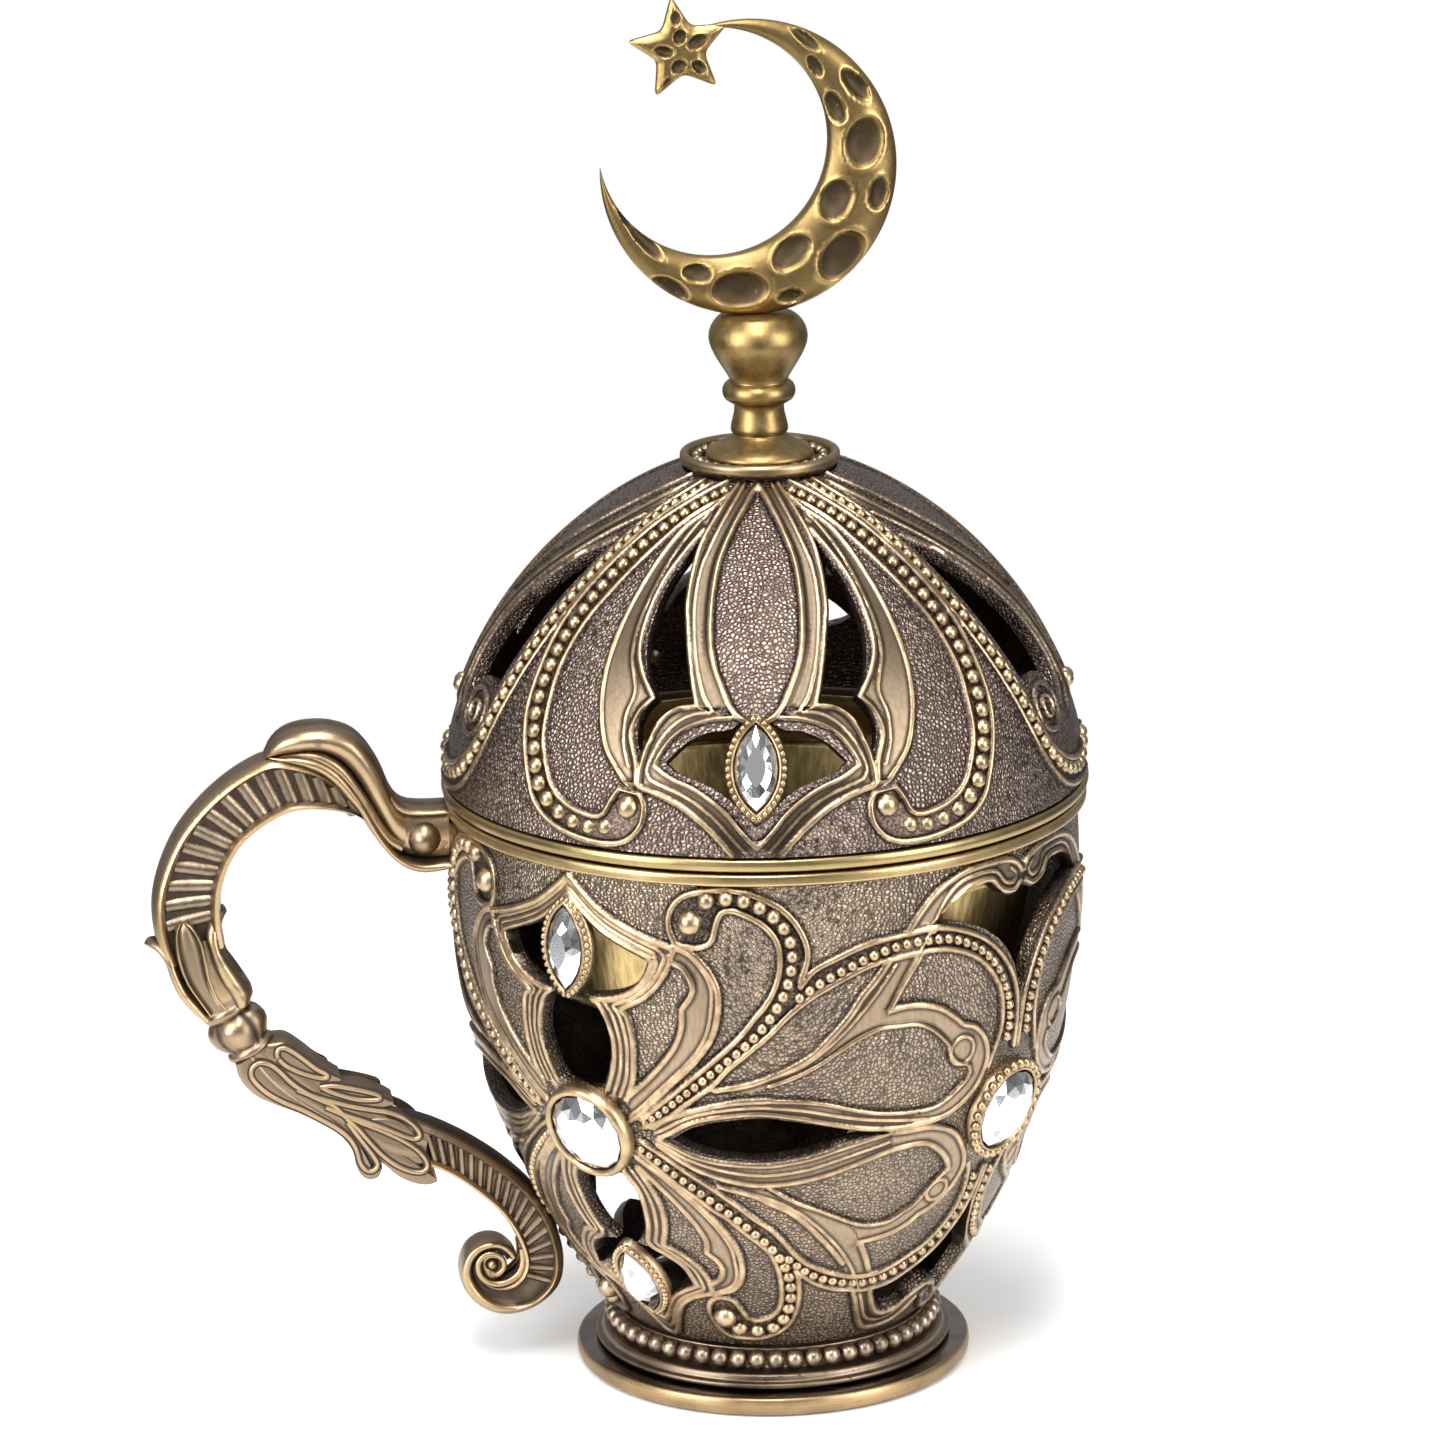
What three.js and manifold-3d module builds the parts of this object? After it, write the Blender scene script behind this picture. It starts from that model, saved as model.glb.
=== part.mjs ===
// A mabkhara: a footed burner in which incense smokes on charcoal.
// The lower cup and the domed lid are openwork castings, set with clear stones. The charcoal lies in a
// brass bowl inside the cup. The lid lifts off by its finial, and a scrolled handle stands on the left.
// Units are millimetres, with +Z up. The origin is under the foot, on the burner's axis.
// A turn is measured about Z from the front (-Y) towards the right (+X).
import * as THREE from "three";
import { mergeVertices } from "three/addons/utils/BufferGeometryUtils.js";
import Module from "manifold-3d";

// Driving dimensions
const seatGap = 0.3; // where a piece rests on another, or passes through it
const wall = 1.8; // of both castings
const overrun = 8; // by which a cutter passes through what it cuts

const footRadius = 30;
const footThickness = 3.2;
const footEdgeRound = 0.7;
const footBossRadius = 6.5;
const footBossHeight = 4.6;

const collarHeight = 5.5;
const collarFootRadius = 27;
const collarStep = 1.2; // height of each moulding under the beads
const collarBeadRadius = 1.7;
const collarBeadCircle = 24.4;
const collarBeads = 54;

const cupFootRadius = 23.4;
const cupHeight = 78.4;
const cupFloor = 2.4;
const bellyRadius = 46.9;
const bellyHeightShare = 0.86;
const bellyCurve = 2.12;
const mouthDraw = 0.3; // by which the mouth is drawn in above the belly

const bandHeight = 1.9; // of the plain rings at the seam
const bandProud = 1.1; // past the castings' field
const seam = 0.4; // between the two rings
const sleeveWall = 1;
const sleeveDepth = 5.4; // of the cup ring's sleeve inside the cup
const ledgeWidth = 1.7;
const ledgeThickness = 0.9;
const spigotWall = 1.2;
const spigotDepth = 3.6; // of the lid ring inside the cup ring

const bowlDepth = 22;
const bowlWall = 1;
const bowlTaper = 4.4; // by which the bowl's floor is smaller than its mouth
const bowlCorner = 2.4;
const bowlLip = 1.9;

const domeHeight = 50.5;
const domeCurve = 1.8;
const crownRadius = 11.4; // of the flat on which the finial stands

const crownRingRadius = 12;
const crownRingHeight = 2.3;
const crownRingLip = 1.4;
const crownRingFloor = 0.8;
const crownBeadRadius = 0.8;
const crownBeads = 28;

const bellRadius = 8.1;
const neckRadius = 3.6;
const stemRingRadius = 5.4;
const bulbRadius = 7.3;
const bulbSeatRadius = 5.2;
const stemHeight = 21.6;
const studRadius = 2.2;
const studLength = 7.4;
const nutWidth = 8;
const nutHeight = 2.4;
const washerThickness = 0.8;
const washerReach = 1.7; // past the nut's sides at the finial, and half of it past the foot screw's head

const crescentRadius = 21.8;
const crescentPegRadius = 1.7;
const crescentPegLength = 4.6;
// Shares of the crescent's radius. The hollow and the star are placed from the outer circle's centre.
const crescentShares = {
  side: -0.05, // of the outer circle's centre, from the burner's axis
  depth: 0.284,
  hollow: 0.775,
  hollowSide: -0.234,
  hollowRise: 0.179,
  star: 0.344,
  starSide: -0.45,
  starRise: 0.8165,
};
// Shares of the star's radius
const starShares = { notch: 0.44, thickness: 0.32, bevel: 0.064 };

const screwRadius = 1.7;
const screwHeadRadius = 3.1;
const screwHeadHeight = 1.9;
const sunkHeadRadius = 2.9;
const sunkHeadDepth = 1.2;
const sunkHeadRecess = 0.2; // below the cup's inner face
const handleScrewShares = [0.69, 0.47]; // of the arm's width, past the cup's field: upper, then lower
const footScrewLength = 5.6; // past the cup's floor

const handleReach = 46.9; // beyond the belly, to the tip of the calyx
const armWidthShare = 0.2; // of the handle's reach
const armDepthShare = 0.92; // of the arm's width
const voluteRadiusShare = 0.79; // of the arm's width
const volutePlaceShares = [1.54, 0.09]; // as a station of the handle's tail
const channelDepthShare = 0.12; // of the arm's depth
const channelRim = 1.5;

const ribWidth = 3.6;
const ribHeight = 1.1;
const ribStep = 10; // between the bends of a rib

const stoneWidthShare = 0.134; // of the belly's radius: the leaf stones' width, the round stones' radius
const roundBezelShare = 1.22; // of the round stone's radius
const cupLeafStoneShare = 0.161; // of the cup's height
const domeLeafStoneShare = 0.197; // of the dome's meridian
const bezelWall = 1.35;
const bezelTipShare = 1.25; // of the rim's growth, at the leaf bezels' points
const bezelProud = 1.4;
const stoneSeat = 1.1; // depth of the pocket that holds a stone
const stoneHeight = 2.3;

const lidTurn = -9; // degrees by which the lid stands turned on the cup
const ROUND = 40; // sides of the large turned pieces
const SMALL_ROUND = 20;
const TINY_ROUND = 12;
const BAR_SIDES = 8;
const TIP_SIDES = 6;
const ROUND_STONE_SIDES = 14;
const LEAF_STONE_SIDES = 12;
const NUT_SIDES = 6;
const SHELL_ROWS = 6;
const SHELL_SIDES = 32;
const quarter = 90;
const outlineStepShare = 0.055; // between the points of a window's edge

// Heights that follow from the stack
const collarBottom = footThickness + seatGap;
const cupBottom = collarBottom + collarHeight + seatGap;
const cupTop = cupBottom + cupHeight;
const cupRingBottom = cupTop + seatGap;
const cupRingTop = cupRingBottom + bandHeight;
const lidRingBottom = cupRingTop + seam;
const lidRingTop = lidRingBottom + bandHeight;
const domeBottom = lidRingTop + seatGap;

// Sizes that follow from what carries them
const armWidth = handleReach * armWidthShare;
const armDepth = armWidth * armDepthShare;
const channelDepth = armDepth * channelDepthShare;
const voluteRadius = armWidth * voluteRadiusShare;
const leafStoneWidth = bellyRadius * stoneWidthShare;
const roundStoneRadius = bellyRadius * stoneWidthShare;
const roundBezelRadius = roundStoneRadius * roundBezelShare;
const cupLeafStoneLength = cupHeight * cupLeafStoneShare;

const wasm = await Module();
wasm.setup();
const radians = THREE.MathUtils.degToRad;

// A closed three.js shape as a solid that can be joined and cut
function solid(geometry) {
  const bare = geometry.clone();
  for (const name of Object.keys(bare.attributes)) {
    if (name !== "position") bare.deleteAttribute(name);
  }
  const joined = mergeVertices(bare);
  const triVerts = Uint32Array.from(joined.index.array);
  const vertProperties = joined.attributes.position.array;
  const made = new wasm.Manifold(new wasm.Mesh({ numProp: 3, vertProperties, triVerts }));
  if (made.volume() > 0) return made;
  triVerts.reverse();
  return new wasm.Manifold(new wasm.Mesh({ numProp: 3, vertProperties, triVerts }));
}

// A joined or cut solid as three.js geometry
function geometryOf(body) {
  const { vertProperties, triVerts } = body.getMesh();
  const geometry = new THREE.BufferGeometry();
  geometry.setAttribute("position", new THREE.BufferAttribute(vertProperties, 3));
  geometry.setIndex(new THREE.BufferAttribute(triVerts, 1));
  const flat = geometry.toNonIndexed();
  flat.computeVertexNormals();
  return flat;
}

// A turned solid: the profile is a list of [radius, height], closed on itself
function turned(profile, sides) {
  const points = [...profile, profile[0]].map(([radius, height]) => new THREE.Vector2(radius, height));
  return solid(new THREE.LatheGeometry(points, sides).rotateX(Math.PI / 2));
}

// A solid through rings of points, one ring after another, with flat ends
function lofted(rings) {
  const sides = rings[0].length;
  const positions = rings.flat().flatMap((point) => point.toArray());
  const index = [];
  for (let row = 0; row + 1 < rings.length; row += 1) {
    for (let side = 0; side < sides; side += 1) {
      const next = (side + 1) % sides;
      const here = row * sides;
      const there = here + sides;
      index.push(here + side, here + next, there + next);
      index.push(here + side, there + next, there + side);
    }
  }
  const last = (rings.length - 1) * sides;
  for (let side = 1; side + 1 < sides; side += 1) {
    index.push(0, side + 1, side);
    index.push(last, last + side, last + side + 1);
  }
  const geometry = new THREE.BufferGeometry();
  geometry.setAttribute("position", new THREE.Float32BufferAttribute(positions, 3));
  geometry.setIndex(index);
  return solid(geometry);
}

function moved(body, x, y, z) {
  return body.translate([x, y, z]);
}

function post(radius, bottom, top, sides = TINY_ROUND) {
  return turned([[0, bottom], [radius, bottom], [radius, top], [0, top]], sides);
}

// Finishes of the pieces
const castBronze = { color: 0x6e5f50, roughness: 0.5, metalness: 0.85 };
const antiqueBrass = { color: 0x9a7b3c, roughness: 0.35, metalness: 0.9 };
const darkGloss = { color: 0x3a332c, roughness: 0.2, metalness: 0.9 };
const bowlBrass = { color: 0x8c7238, roughness: 0.4, metalness: 0.9 };
const paleBronze = { color: 0x97805f, roughness: 0.45, metalness: 0.85 };
const steel = { color: 0x8d8f91, roughness: 0.4, metalness: 0.9 };
const stone = { color: 0xe4e8ee, roughness: 0.05, metalness: 0.1 };

function piece(name, body, finish) {
  const mesh = new THREE.Mesh(geometryOf(body), new THREE.MeshStandardMaterial(finish));
  mesh.name = name;
  return mesh;
}

// The two castings: each is known by the radius and height at a share of its meridian
const cup = {
  at(share) {
    const above = Math.max(0, share - bellyHeightShare) / (1 - bellyHeightShare);
    const below = Math.max(0, bellyHeightShare - share) / bellyHeightShare;
    const drawnIn = (bellyRadius - cupFootRadius) * below ** bellyCurve + mouthDraw * above ** 2;
    return new THREE.Vector2(bellyRadius - drawnIn, cupBottom + cupHeight * share);
  },
};

// The dome's meridian, walked in small steps from the seam to the crown's flat, so that a share of it
// is a share of its length
const domeWalk = (() => {
  const steps = 240;
  const crownAngle = Math.acos((crownRadius / bellyRadius) ** (domeCurve / 2));
  const points = [];
  for (let step = 0; step <= steps; step += 1) {
    const angle = (crownAngle * step) / steps;
    const radius = bellyRadius * Math.cos(angle) ** (2 / domeCurve);
    const height = domeHeight * Math.sin(angle) ** (2 / domeCurve);
    points.push(new THREE.Vector2(radius, lidRingBottom + height));
  }
  const lengths = [0];
  points.slice(1).forEach((point, step) => lengths.push(lengths[step] + point.distanceTo(points[step])));
  return { points, lengths };
})();

const domeLength = domeWalk.lengths[domeWalk.lengths.length - 1];
const domeLeafStoneLength = domeLength * domeLeafStoneShare;

const dome = {
  at(share) {
    const { points, lengths } = domeWalk;
    const wanted = Math.min(share, 1) * domeLength;
    const after = Math.max(1, lengths.findIndex((length) => length + Number.EPSILON >= wanted));
    const part = (wanted - lengths[after - 1]) / (lengths[after] - lengths[after - 1]);
    return points[after - 1].clone().lerp(points[after], part);
  },
};

// Outward direction of a meridian, as [radius, height]
function outward(shell, share) {
  const step = 0.004;
  const low = shell.at(Math.max(0, share - step));
  const high = shell.at(Math.min(1, share + step));
  const along = high.sub(low).normalize();
  return new THREE.Vector2(along.y, -along.x);
}

// A point of a casting, at a turn in degrees and a share of the meridian, raised by a height
function surfacePoint(shell, turn, share, raised) {
  const at = shell.at(share).addScaledVector(outward(shell, share), raised);
  const angle = radians(turn);
  return new THREE.Vector3(at.x * Math.sin(angle), -at.x * Math.cos(angle), at.y);
}

// The frame in which a bezel or stone is set: x runs round, y up the wall, and z out of it
function seatFrame(shell, turn, share) {
  const angle = radians(turn);
  const out2 = outward(shell, share);
  const round = new THREE.Vector3(Math.cos(angle), Math.sin(angle), 0);
  const out = new THREE.Vector3(out2.x * Math.sin(angle), -out2.x * Math.cos(angle), out2.y);
  const up = new THREE.Vector3().crossVectors(out, round);
  const frame = new THREE.Matrix4().makeBasis(round, up, out);
  return frame.setPosition(surfacePoint(shell, turn, share, 0));
}

// An outline on a casting: smooth runs that meet in corners. Each point is a share of a quarter turn
// from the motif's middle, and a share of the meridian.
function runsToOutline(runs) {
  const points = [];
  for (const run of runs) {
    const curve = new THREE.SplineCurve(run.map(([round, up]) => new THREE.Vector2(round, up)));
    const steps = Math.max(2, Math.ceil(curve.getLength() / outlineStepShare));
    points.push(...curve.getSpacedPoints(steps).slice(0, -1));
  }
  return points;
}

// The second half of a motif that is the same on both sides of its middle
function bothSides(runs) {
  const mirrored = runs.map((run) => run.map(([round, up]) => [-round, up]).reverse()).reverse();
  return [...runs, ...mirrored];
}

// A cutter through a casting's wall, from an outline on it
function windowCutter(shell, middleTurn, outline, side = 1) {
  const shape = new THREE.Shape(outline);
  const flat = new THREE.ExtrudeGeometry(shape, { depth: 1, bevelEnabled: false, steps: 1 });
  const places = flat.attributes.position;
  for (let n = 0; n < places.count; n += 1) {
    const turn = middleTurn + side * places.getX(n) * quarter;
    const depth = places.getZ(n) > 0 ? overrun : -overrun;
    const at = surfacePoint(shell, turn, places.getY(n), depth);
    places.setXYZ(n, at.x, at.y, at.z);
  }
  return solid(flat);
}

// Outlines of the windows, as [share of a quarter turn, share of the meridian]
const keyholeShares = bothSides([
  [[0, 0.955], [0.03, 0.925], [0.08, 0.89], [0.13, 0.87], [0.18, 0.852]],
  [[0.18, 0.852], [0.165, 0.82], [0.135, 0.795], [0.09, 0.778], [0.026, 0.772]],
  [[0.026, 0.772], [0.064, 0.745], [0.084, 0.69], [0.08, 0.64], [0.056, 0.588], [0, 0.57]],
]);
const lowerKeyholeShares = bothSides([
  [[0, 0.39], [0.06, 0.4], [0.088, 0.36], [0.088, 0.315], [0.07, 0.27], [0.03, 0.243]],
  [[0.03, 0.243], [0.08, 0.232], [0.13, 0.216], [0.165, 0.19], [0.182, 0.158]],
  [[0.182, 0.158], [0.125, 0.142], [0.08, 0.118], [0.04, 0.084], [0, 0.058]],
]);
const vesicaShares = [
  [[0.2, 0.497], [0.26, 0.527], [0.36, 0.546], [0.47, 0.542], [0.58, 0.52], [0.69, 0.5]],
  [[0.69, 0.5], [0.58, 0.475], [0.47, 0.46], [0.36, 0.457], [0.26, 0.47], [0.2, 0.497]],
];
const ogeeShares = bothSides([
  [[0, 0.704], [-0.028, 0.765], [-0.07, 0.815], [-0.13, 0.85], [-0.19, 0.876], [-0.25, 0.892]],
  [[-0.25, 0.892], [-0.2, 0.935], [-0.14, 0.963], [-0.1, 0.963]],
  [[-0.1, 0.963], [-0.07, 0.937], [-0.035, 0.926], [0, 0.94]],
]);
const lowerOgeeShares = bothSides([
  [[0, 0.1], [-0.05, 0.1], [-0.1, 0.076], [-0.15, 0.062], [-0.19, 0.076], [-0.23, 0.105], [-0.255, 0.13]],
  [[-0.255, 0.13], [-0.18, 0.143], [-0.1, 0.177], [-0.035, 0.235], [0, 0.29]],
]);
const leafShares = [
  [[0.222, 0.802], [0.215, 0.7], [0.204, 0.615], [0.182, 0.535], [0.156, 0.44], [0.136, 0.376]],
  [[0.136, 0.376], [0.18, 0.362], [0.212, 0.34], [0.24, 0.29], [0.25, 0.26]],
  [[0.25, 0.26], [0.262, 0.315], [0.248, 0.36], [0.225, 0.386]],
  [[0.225, 0.386], [0.272, 0.46], [0.288, 0.555], [0.282, 0.66], [0.25, 0.755], [0.222, 0.802]],
];
const lobeShares = bothSides([
  [[0, 0.352], [0.035, 0.334], [0.1, 0.324], [0.155, 0.298], [0.187, 0.262], [0.197, 0.236]],
  [[0.197, 0.236], [0.14, 0.21], [0.085, 0.176], [0.04, 0.14], [0, 0.098]],
]);
const sideLeafShares = [
  [[0.612, 0.745], [0.632, 0.65], [0.652, 0.56], [0.672, 0.46], [0.695, 0.37], [0.706, 0.338]],
  [[0.706, 0.338], [0.76, 0.335], [0.8, 0.305], [0.85, 0.292], [0.888, 0.338]],
  [[0.888, 0.338], [0.882, 0.42], [0.85, 0.5], [0.79, 0.58], [0.72, 0.66], [0.66, 0.715], [0.612, 0.745]],
];

// Where each motif has its middle, in degrees, and where its stones are set
const cupStoneTurns = [-45, 135]; // the motif with three stones
const cupSideTurns = [45, -135]; // the motif with one beaded stone
const domeStoneTurns = [0, 180]; // on the lid, before it is turned
const upperLeafStoneShare = 0.857;
const roundStoneShare = 0.487;
const lowerLeafStoneShare = 0.153;
const domeStoneShare = 0.232;
const sideStoneShare = 0.487;

// A pointed oval, as a loop of points with its long axis up
function leafOutline(length, width, raised, sides) {
  const halfLength = length / 2;
  const halfWidth = width / 2;
  const arcRadius = (halfLength ** 2 + halfWidth ** 2) / (2 * halfWidth);
  const halfAngle = Math.asin(halfLength / arcRadius);
  const points = [];
  for (const side of [1, -1]) {
    for (let n = 0; n < sides / 2; n += 1) {
      const angle = halfAngle * (1 - (4 * n) / sides);
      const across = arcRadius * Math.cos(angle) - (arcRadius - halfWidth);
      points.push(new THREE.Vector3(side * across, side * arcRadius * Math.sin(angle), raised));
    }
  }
  return points;
}

function roundOutline(radius, raised, sides) {
  const points = [];
  for (let n = 0; n < sides; n += 1) {
    const angle = (-2 * Math.PI * n) / sides;
    points.push(new THREE.Vector3(radius * Math.cos(angle), radius * Math.sin(angle), raised));
  }
  return points;
}


// A bezel: a raised rim through the wall, with a pocket for the stone
function roundBezel() {
  const outer = [-wall - seatGap, bezelProud].map((raised) =>
    roundOutline(roundBezelRadius, raised, ROUND_STONE_SIDES),
  );
  const pocket = [bezelProud - stoneSeat, overrun].map((raised) =>
    roundOutline(roundStoneRadius + seatGap, raised, ROUND_STONE_SIDES),
  );
  return { rim: lofted(outer), pocket: lofted(pocket) };
}

function leafBezel(length) {
  const growth = 2 * bezelWall;
  const tipGrowth = growth * bezelTipShare;
  const clearance = 2 * seatGap;
  const outer = [-wall - seatGap, bezelProud].map((raised) =>
    leafOutline(length + tipGrowth, leafStoneWidth + growth, raised, LEAF_STONE_SIDES),
  );
  const pocket = [bezelProud - stoneSeat, overrun].map((raised) =>
    leafOutline(length + clearance * 2, leafStoneWidth + clearance, raised, LEAF_STONE_SIDES),
  );
  return { rim: lofted(outer), pocket: lofted(pocket) };
}

// A stone: flat behind, widest at its girdle, with a sloped crown and a small table
const stoneHeightShares = [0, 0.24, 0.7, 1];
const stoneSpreadShares = [0.93, 1, 0.74, 0.44];

function roundStone() {
  const floor = bezelProud - stoneSeat + seatGap;
  return lofted(
    stoneHeightShares.map((height, n) =>
      roundOutline(roundStoneRadius * stoneSpreadShares[n], floor + stoneHeight * height, ROUND_STONE_SIDES),
    ),
  );
}

function leafStone(length) {
  const floor = bezelProud - stoneSeat + seatGap;
  return lofted(
    stoneHeightShares.map((height, n) => {
      const spread = stoneSpreadShares[n];
      const raised = floor + stoneHeight * height;
      return leafOutline(length * spread, leafStoneWidth * spread, raised, LEAF_STONE_SIDES);
    }),
  );
}

function placed(body, frame) {
  return body.transform(frame.elements);
}

// Foot: a thin turned disc with a tapped boss, which the cup's screw pulls up against the collar
function footDisc() {
  const top = footThickness;
  const low = footRadius - footEdgeRound;
  const tapped = screwRadius + seatGap;
  const bossTop = top + footBossHeight;
  return turned(
    [
      [0, 0],
      [low, 0],
      [footRadius, footEdgeRound],
      [footRadius, top - footEdgeRound],
      [low, top],
      [footBossRadius, top],
      [footBossRadius, bossTop],
      [tapped, bossTop],
      [tapped, top - footEdgeRound],
      [0, top - footEdgeRound],
    ],
    ROUND,
  );
}

// Collar: stepped mouldings under a ring of beads, each on one of the neck's flats
function footCollar() {
  const bore = footBossRadius + seatGap;
  const first = collarBottom + collarStep;
  const top = collarBottom + collarHeight;
  const neck = collarBeadCircle;
  const body = turned(
    [
      [bore, collarBottom],
      [collarFootRadius, collarBottom],
      [collarFootRadius, collarBottom + collarStep / 2],
      [collarFootRadius - collarStep, first],
      [neck, first],
      [neck, top],
      [bore, top],
    ],
    collarBeads,
  );
  const beadHeight = (first + top) / 2;
  const pitch = (2 * Math.PI) / collarBeads;
  const bead = new THREE.OctahedronGeometry(collarBeadRadius, 0).rotateX(Math.PI / 4);
  const beads = [];
  for (let n = 0; n < collarBeads; n += 1) {
    const set = bead.clone().translate(neck * Math.cos(pitch / 2), 0, beadHeight);
    beads.push(solid(set.rotateZ(pitch * (n + 1 / 2))));
  }
  return wasm.Manifold.union([body, ...beads]);
}

// The shell of a casting between its field and the same line set in by the wall
function shellProfile(shell, fromShare, steps) {
  const outer = [];
  const inner = [];
  for (let step = 0; step <= steps; step += 1) {
    const share = fromShare + ((1 - fromShare) * step) / steps;
    const at = shell.at(share);
    const set = at.clone().addScaledVector(outward(shell, share), -wall);
    outer.push([at.x, at.y]);
    inner.push([set.x, set.y]);
  }
  return { outer, inner };
}

// Raised ribs of the castings, as [share of a quarter turn, share of the meridian] from each motif's middle.
// The cup's are its two scrolls, their branches and the two great bands.
const cupRibShares = [
  [
    [0.267, 0.93], [0.339, 0.96], [0.407, 0.95], [0.462, 0.893],
    [0.457, 0.82], [0.41, 0.737], [0.23, 0.583], [0.15, 0.527],
  ],
  [
    [0.478, 0.788], [0.561, 0.834], [0.653, 0.866], [0.75, 0.872],
    [0.844, 0.848], [0.921, 0.787], [0.963, 0.703], [0.96, 0.634],
  ],
  [[0.356, 0.608], [0.467, 0.647], [0.556, 0.704], [0.678, 0.832], [0.765, 0.93]],
  [
    [0.133, 0.458], [0.31, 0.339], [0.396, 0.273], [0.453, 0.207],
    [0.472, 0.139], [0.436, 0.075], [0.347, 0.055], [0.267, 0.06],
  ],
  [
    [0.478, 0.218], [0.551, 0.177], [0.654, 0.154], [0.758, 0.156],
    [0.853, 0.185], [0.932, 0.237], [0.964, 0.318],
  ],
  [[0.378, 0.374], [0.478, 0.338], [0.556, 0.277], [0.622, 0.21], [0.683, 0.143], [0.735, 0.078]],
];
// The dome's are its two bead rows, the crescent band and the sweep beside the window.
const domeRibShares = [
  [
    [0.267, 0.944], [0.387, 0.855], [0.463, 0.737], [0.512, 0.594],
    [0.536, 0.43], [0.522, 0.273], [0.475, 0.162], [0.403, 0.095], [0.311, 0.085],
  ],
  [
    [0.444, 0.937], [0.528, 0.82], [0.57, 0.672], [0.607, 0.516],
    [0.644, 0.362], [0.687, 0.22], [0.749, 0.125], [0.854, 0.085], [0.942, 0.085],
  ],
  [[0.222, 0.914], [0.309, 0.781], [0.333, 0.625], [0.333, 0.484], [0.306, 0.344], [0.283, 0.219]],
  [[0.578, 0.898], [0.689, 0.773], [0.8, 0.648], [0.889, 0.523], [0.94, 0.39], [0.933, 0.25]],
];

// A rib on a casting: a low bar of three sides along the smooth line through its points, with its root in
// the wall
function rib(shell, middleTurn, run, side) {
  const curve = new THREE.SplineCurve(run.map(([round, up]) => new THREE.Vector2(round, up)));
  const frameAt = (share) => {
    const at = curve.getPointAt(share);
    return seatFrame(shell, middleTurn + side * at.x * quarter, at.y);
  };
  const placeAt = (share) => new THREE.Vector3().setFromMatrixPosition(frameAt(share));
  let length = 0;
  for (let n = 1; n <= run.length; n += 1) {
    length += placeAt(n / run.length).distanceTo(placeAt((n - 1) / run.length));
  }
  const steps = Math.round(length / ribStep);
  const rings = [];
  for (let n = 0; n <= steps; n += 1) {
    const frame = frameAt(n / steps);
    const middle = new THREE.Vector3().setFromMatrixPosition(frame);
    const out = new THREE.Vector3().setFromMatrixColumn(frame, 2);
    const behind = placeAt(Math.max(0, (n - 1 / 2) / steps));
    const ahead = placeAt(Math.min(1, (n + 1 / 2) / steps));
    const across = ahead.sub(behind).normalize().cross(out).multiplyScalar(ribWidth / 2);
    const root = middle.clone().addScaledVector(out, -wall / 2);
    rings.push([root.clone().sub(across), middle.addScaledVector(out, ribHeight), root.add(across)]);
  }
  return lofted(rings);
}

function ribs(shell, turns, runs) {
  const made = [];
  for (const turn of turns) {
    for (const run of runs) made.push(rib(shell, turn, run, 1), rib(shell, turn, run, -1));
  }
  return wasm.Manifold.union(made);
}

// The upright strip where the handle lies against the cup, which the ribs leave free
function handleSpace() {
  const strip = new THREE.BoxGeometry(2 * bellyRadius, armDepth + 2 * seatGap, 2 * cupTop);
  return solid(strip.translate(-bellyRadius - cupFootRadius / 2, 0, 0));
}

function cupShell() {
  const { outer, inner } = shellProfile(cup, 0, SHELL_ROWS);
  const floorTop = cupBottom + cupFloor;
  const above = inner.filter(([, height]) => height > floorTop + wall && height < cupTop - wall);
  const topInner = cup.at(1).x - wall;
  const bore = screwRadius + seatGap;
  const profile = [
    [bore, cupBottom],
    ...outer,
    [topInner, cupTop],
    ...above.reverse(),
    [cupFootRadius - wall, floorTop],
    [bore, floorTop],
  ];
  let shell = turned(profile, SHELL_SIDES);
  const cutters = [];
  for (const turn of cupStoneTurns) {
    cutters.push(windowCutter(cup, turn, runsToOutline(keyholeShares)));
    cutters.push(windowCutter(cup, turn, runsToOutline(lowerKeyholeShares)));
    for (const side of [1, -1]) {
      cutters.push(windowCutter(cup, turn, runsToOutline(vesicaShares), side));
    }
  }
  for (const turn of cupSideTurns) {
    cutters.push(windowCutter(cup, turn, runsToOutline(ogeeShares)));
    cutters.push(windowCutter(cup, turn, runsToOutline(lowerOgeeShares)));
  }
  shell = shell.subtract(wasm.Manifold.union(cutters));
  shell = shell.add(ribs(cup, cupStoneTurns, cupRibShares).subtract(handleSpace()));

  const rims = [];
  const pockets = [];
  const set = (bezel, turn, share) => {
    const frame = seatFrame(cup, turn, share);
    rims.push(placed(bezel.rim, frame));
    pockets.push(placed(bezel.pocket, frame));
  };
  for (const turn of cupStoneTurns) {
    set(leafBezel(cupLeafStoneLength), turn, upperLeafStoneShare);
    set(roundBezel(), turn, roundStoneShare);
    set(leafBezel(cupLeafStoneLength), turn, lowerLeafStoneShare);
  }
  for (const turn of cupSideTurns) set(roundBezel(), turn, sideStoneShare);
  shell = shell.add(wasm.Manifold.union(rims)).subtract(wasm.Manifold.union(pockets));
  const insideProfile = [
    [0, floorTop],
    [cupFootRadius - wall, floorTop],
    ...above.slice().reverse(),
    [topInner, cupTop],
    [0, cupTop],
  ];
  shell = shell.subtract(turned(insideProfile, SHELL_SIDES));
  const bores = screwShares.map((share) => placed(sunkBore(), screwFrame(share)));
  return shell.subtract(wasm.Manifold.union(bores));
}

// Where the two sunk screws pass from the cup into the handle, as shares of the cup's meridian
const screwShares = [0.957, 0.225];
const handleScrewLengths = handleScrewShares.map((share) => share * armWidth);

function screwFrame(share) {
  return seatFrame(cup, -quarter, share);
}

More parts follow.
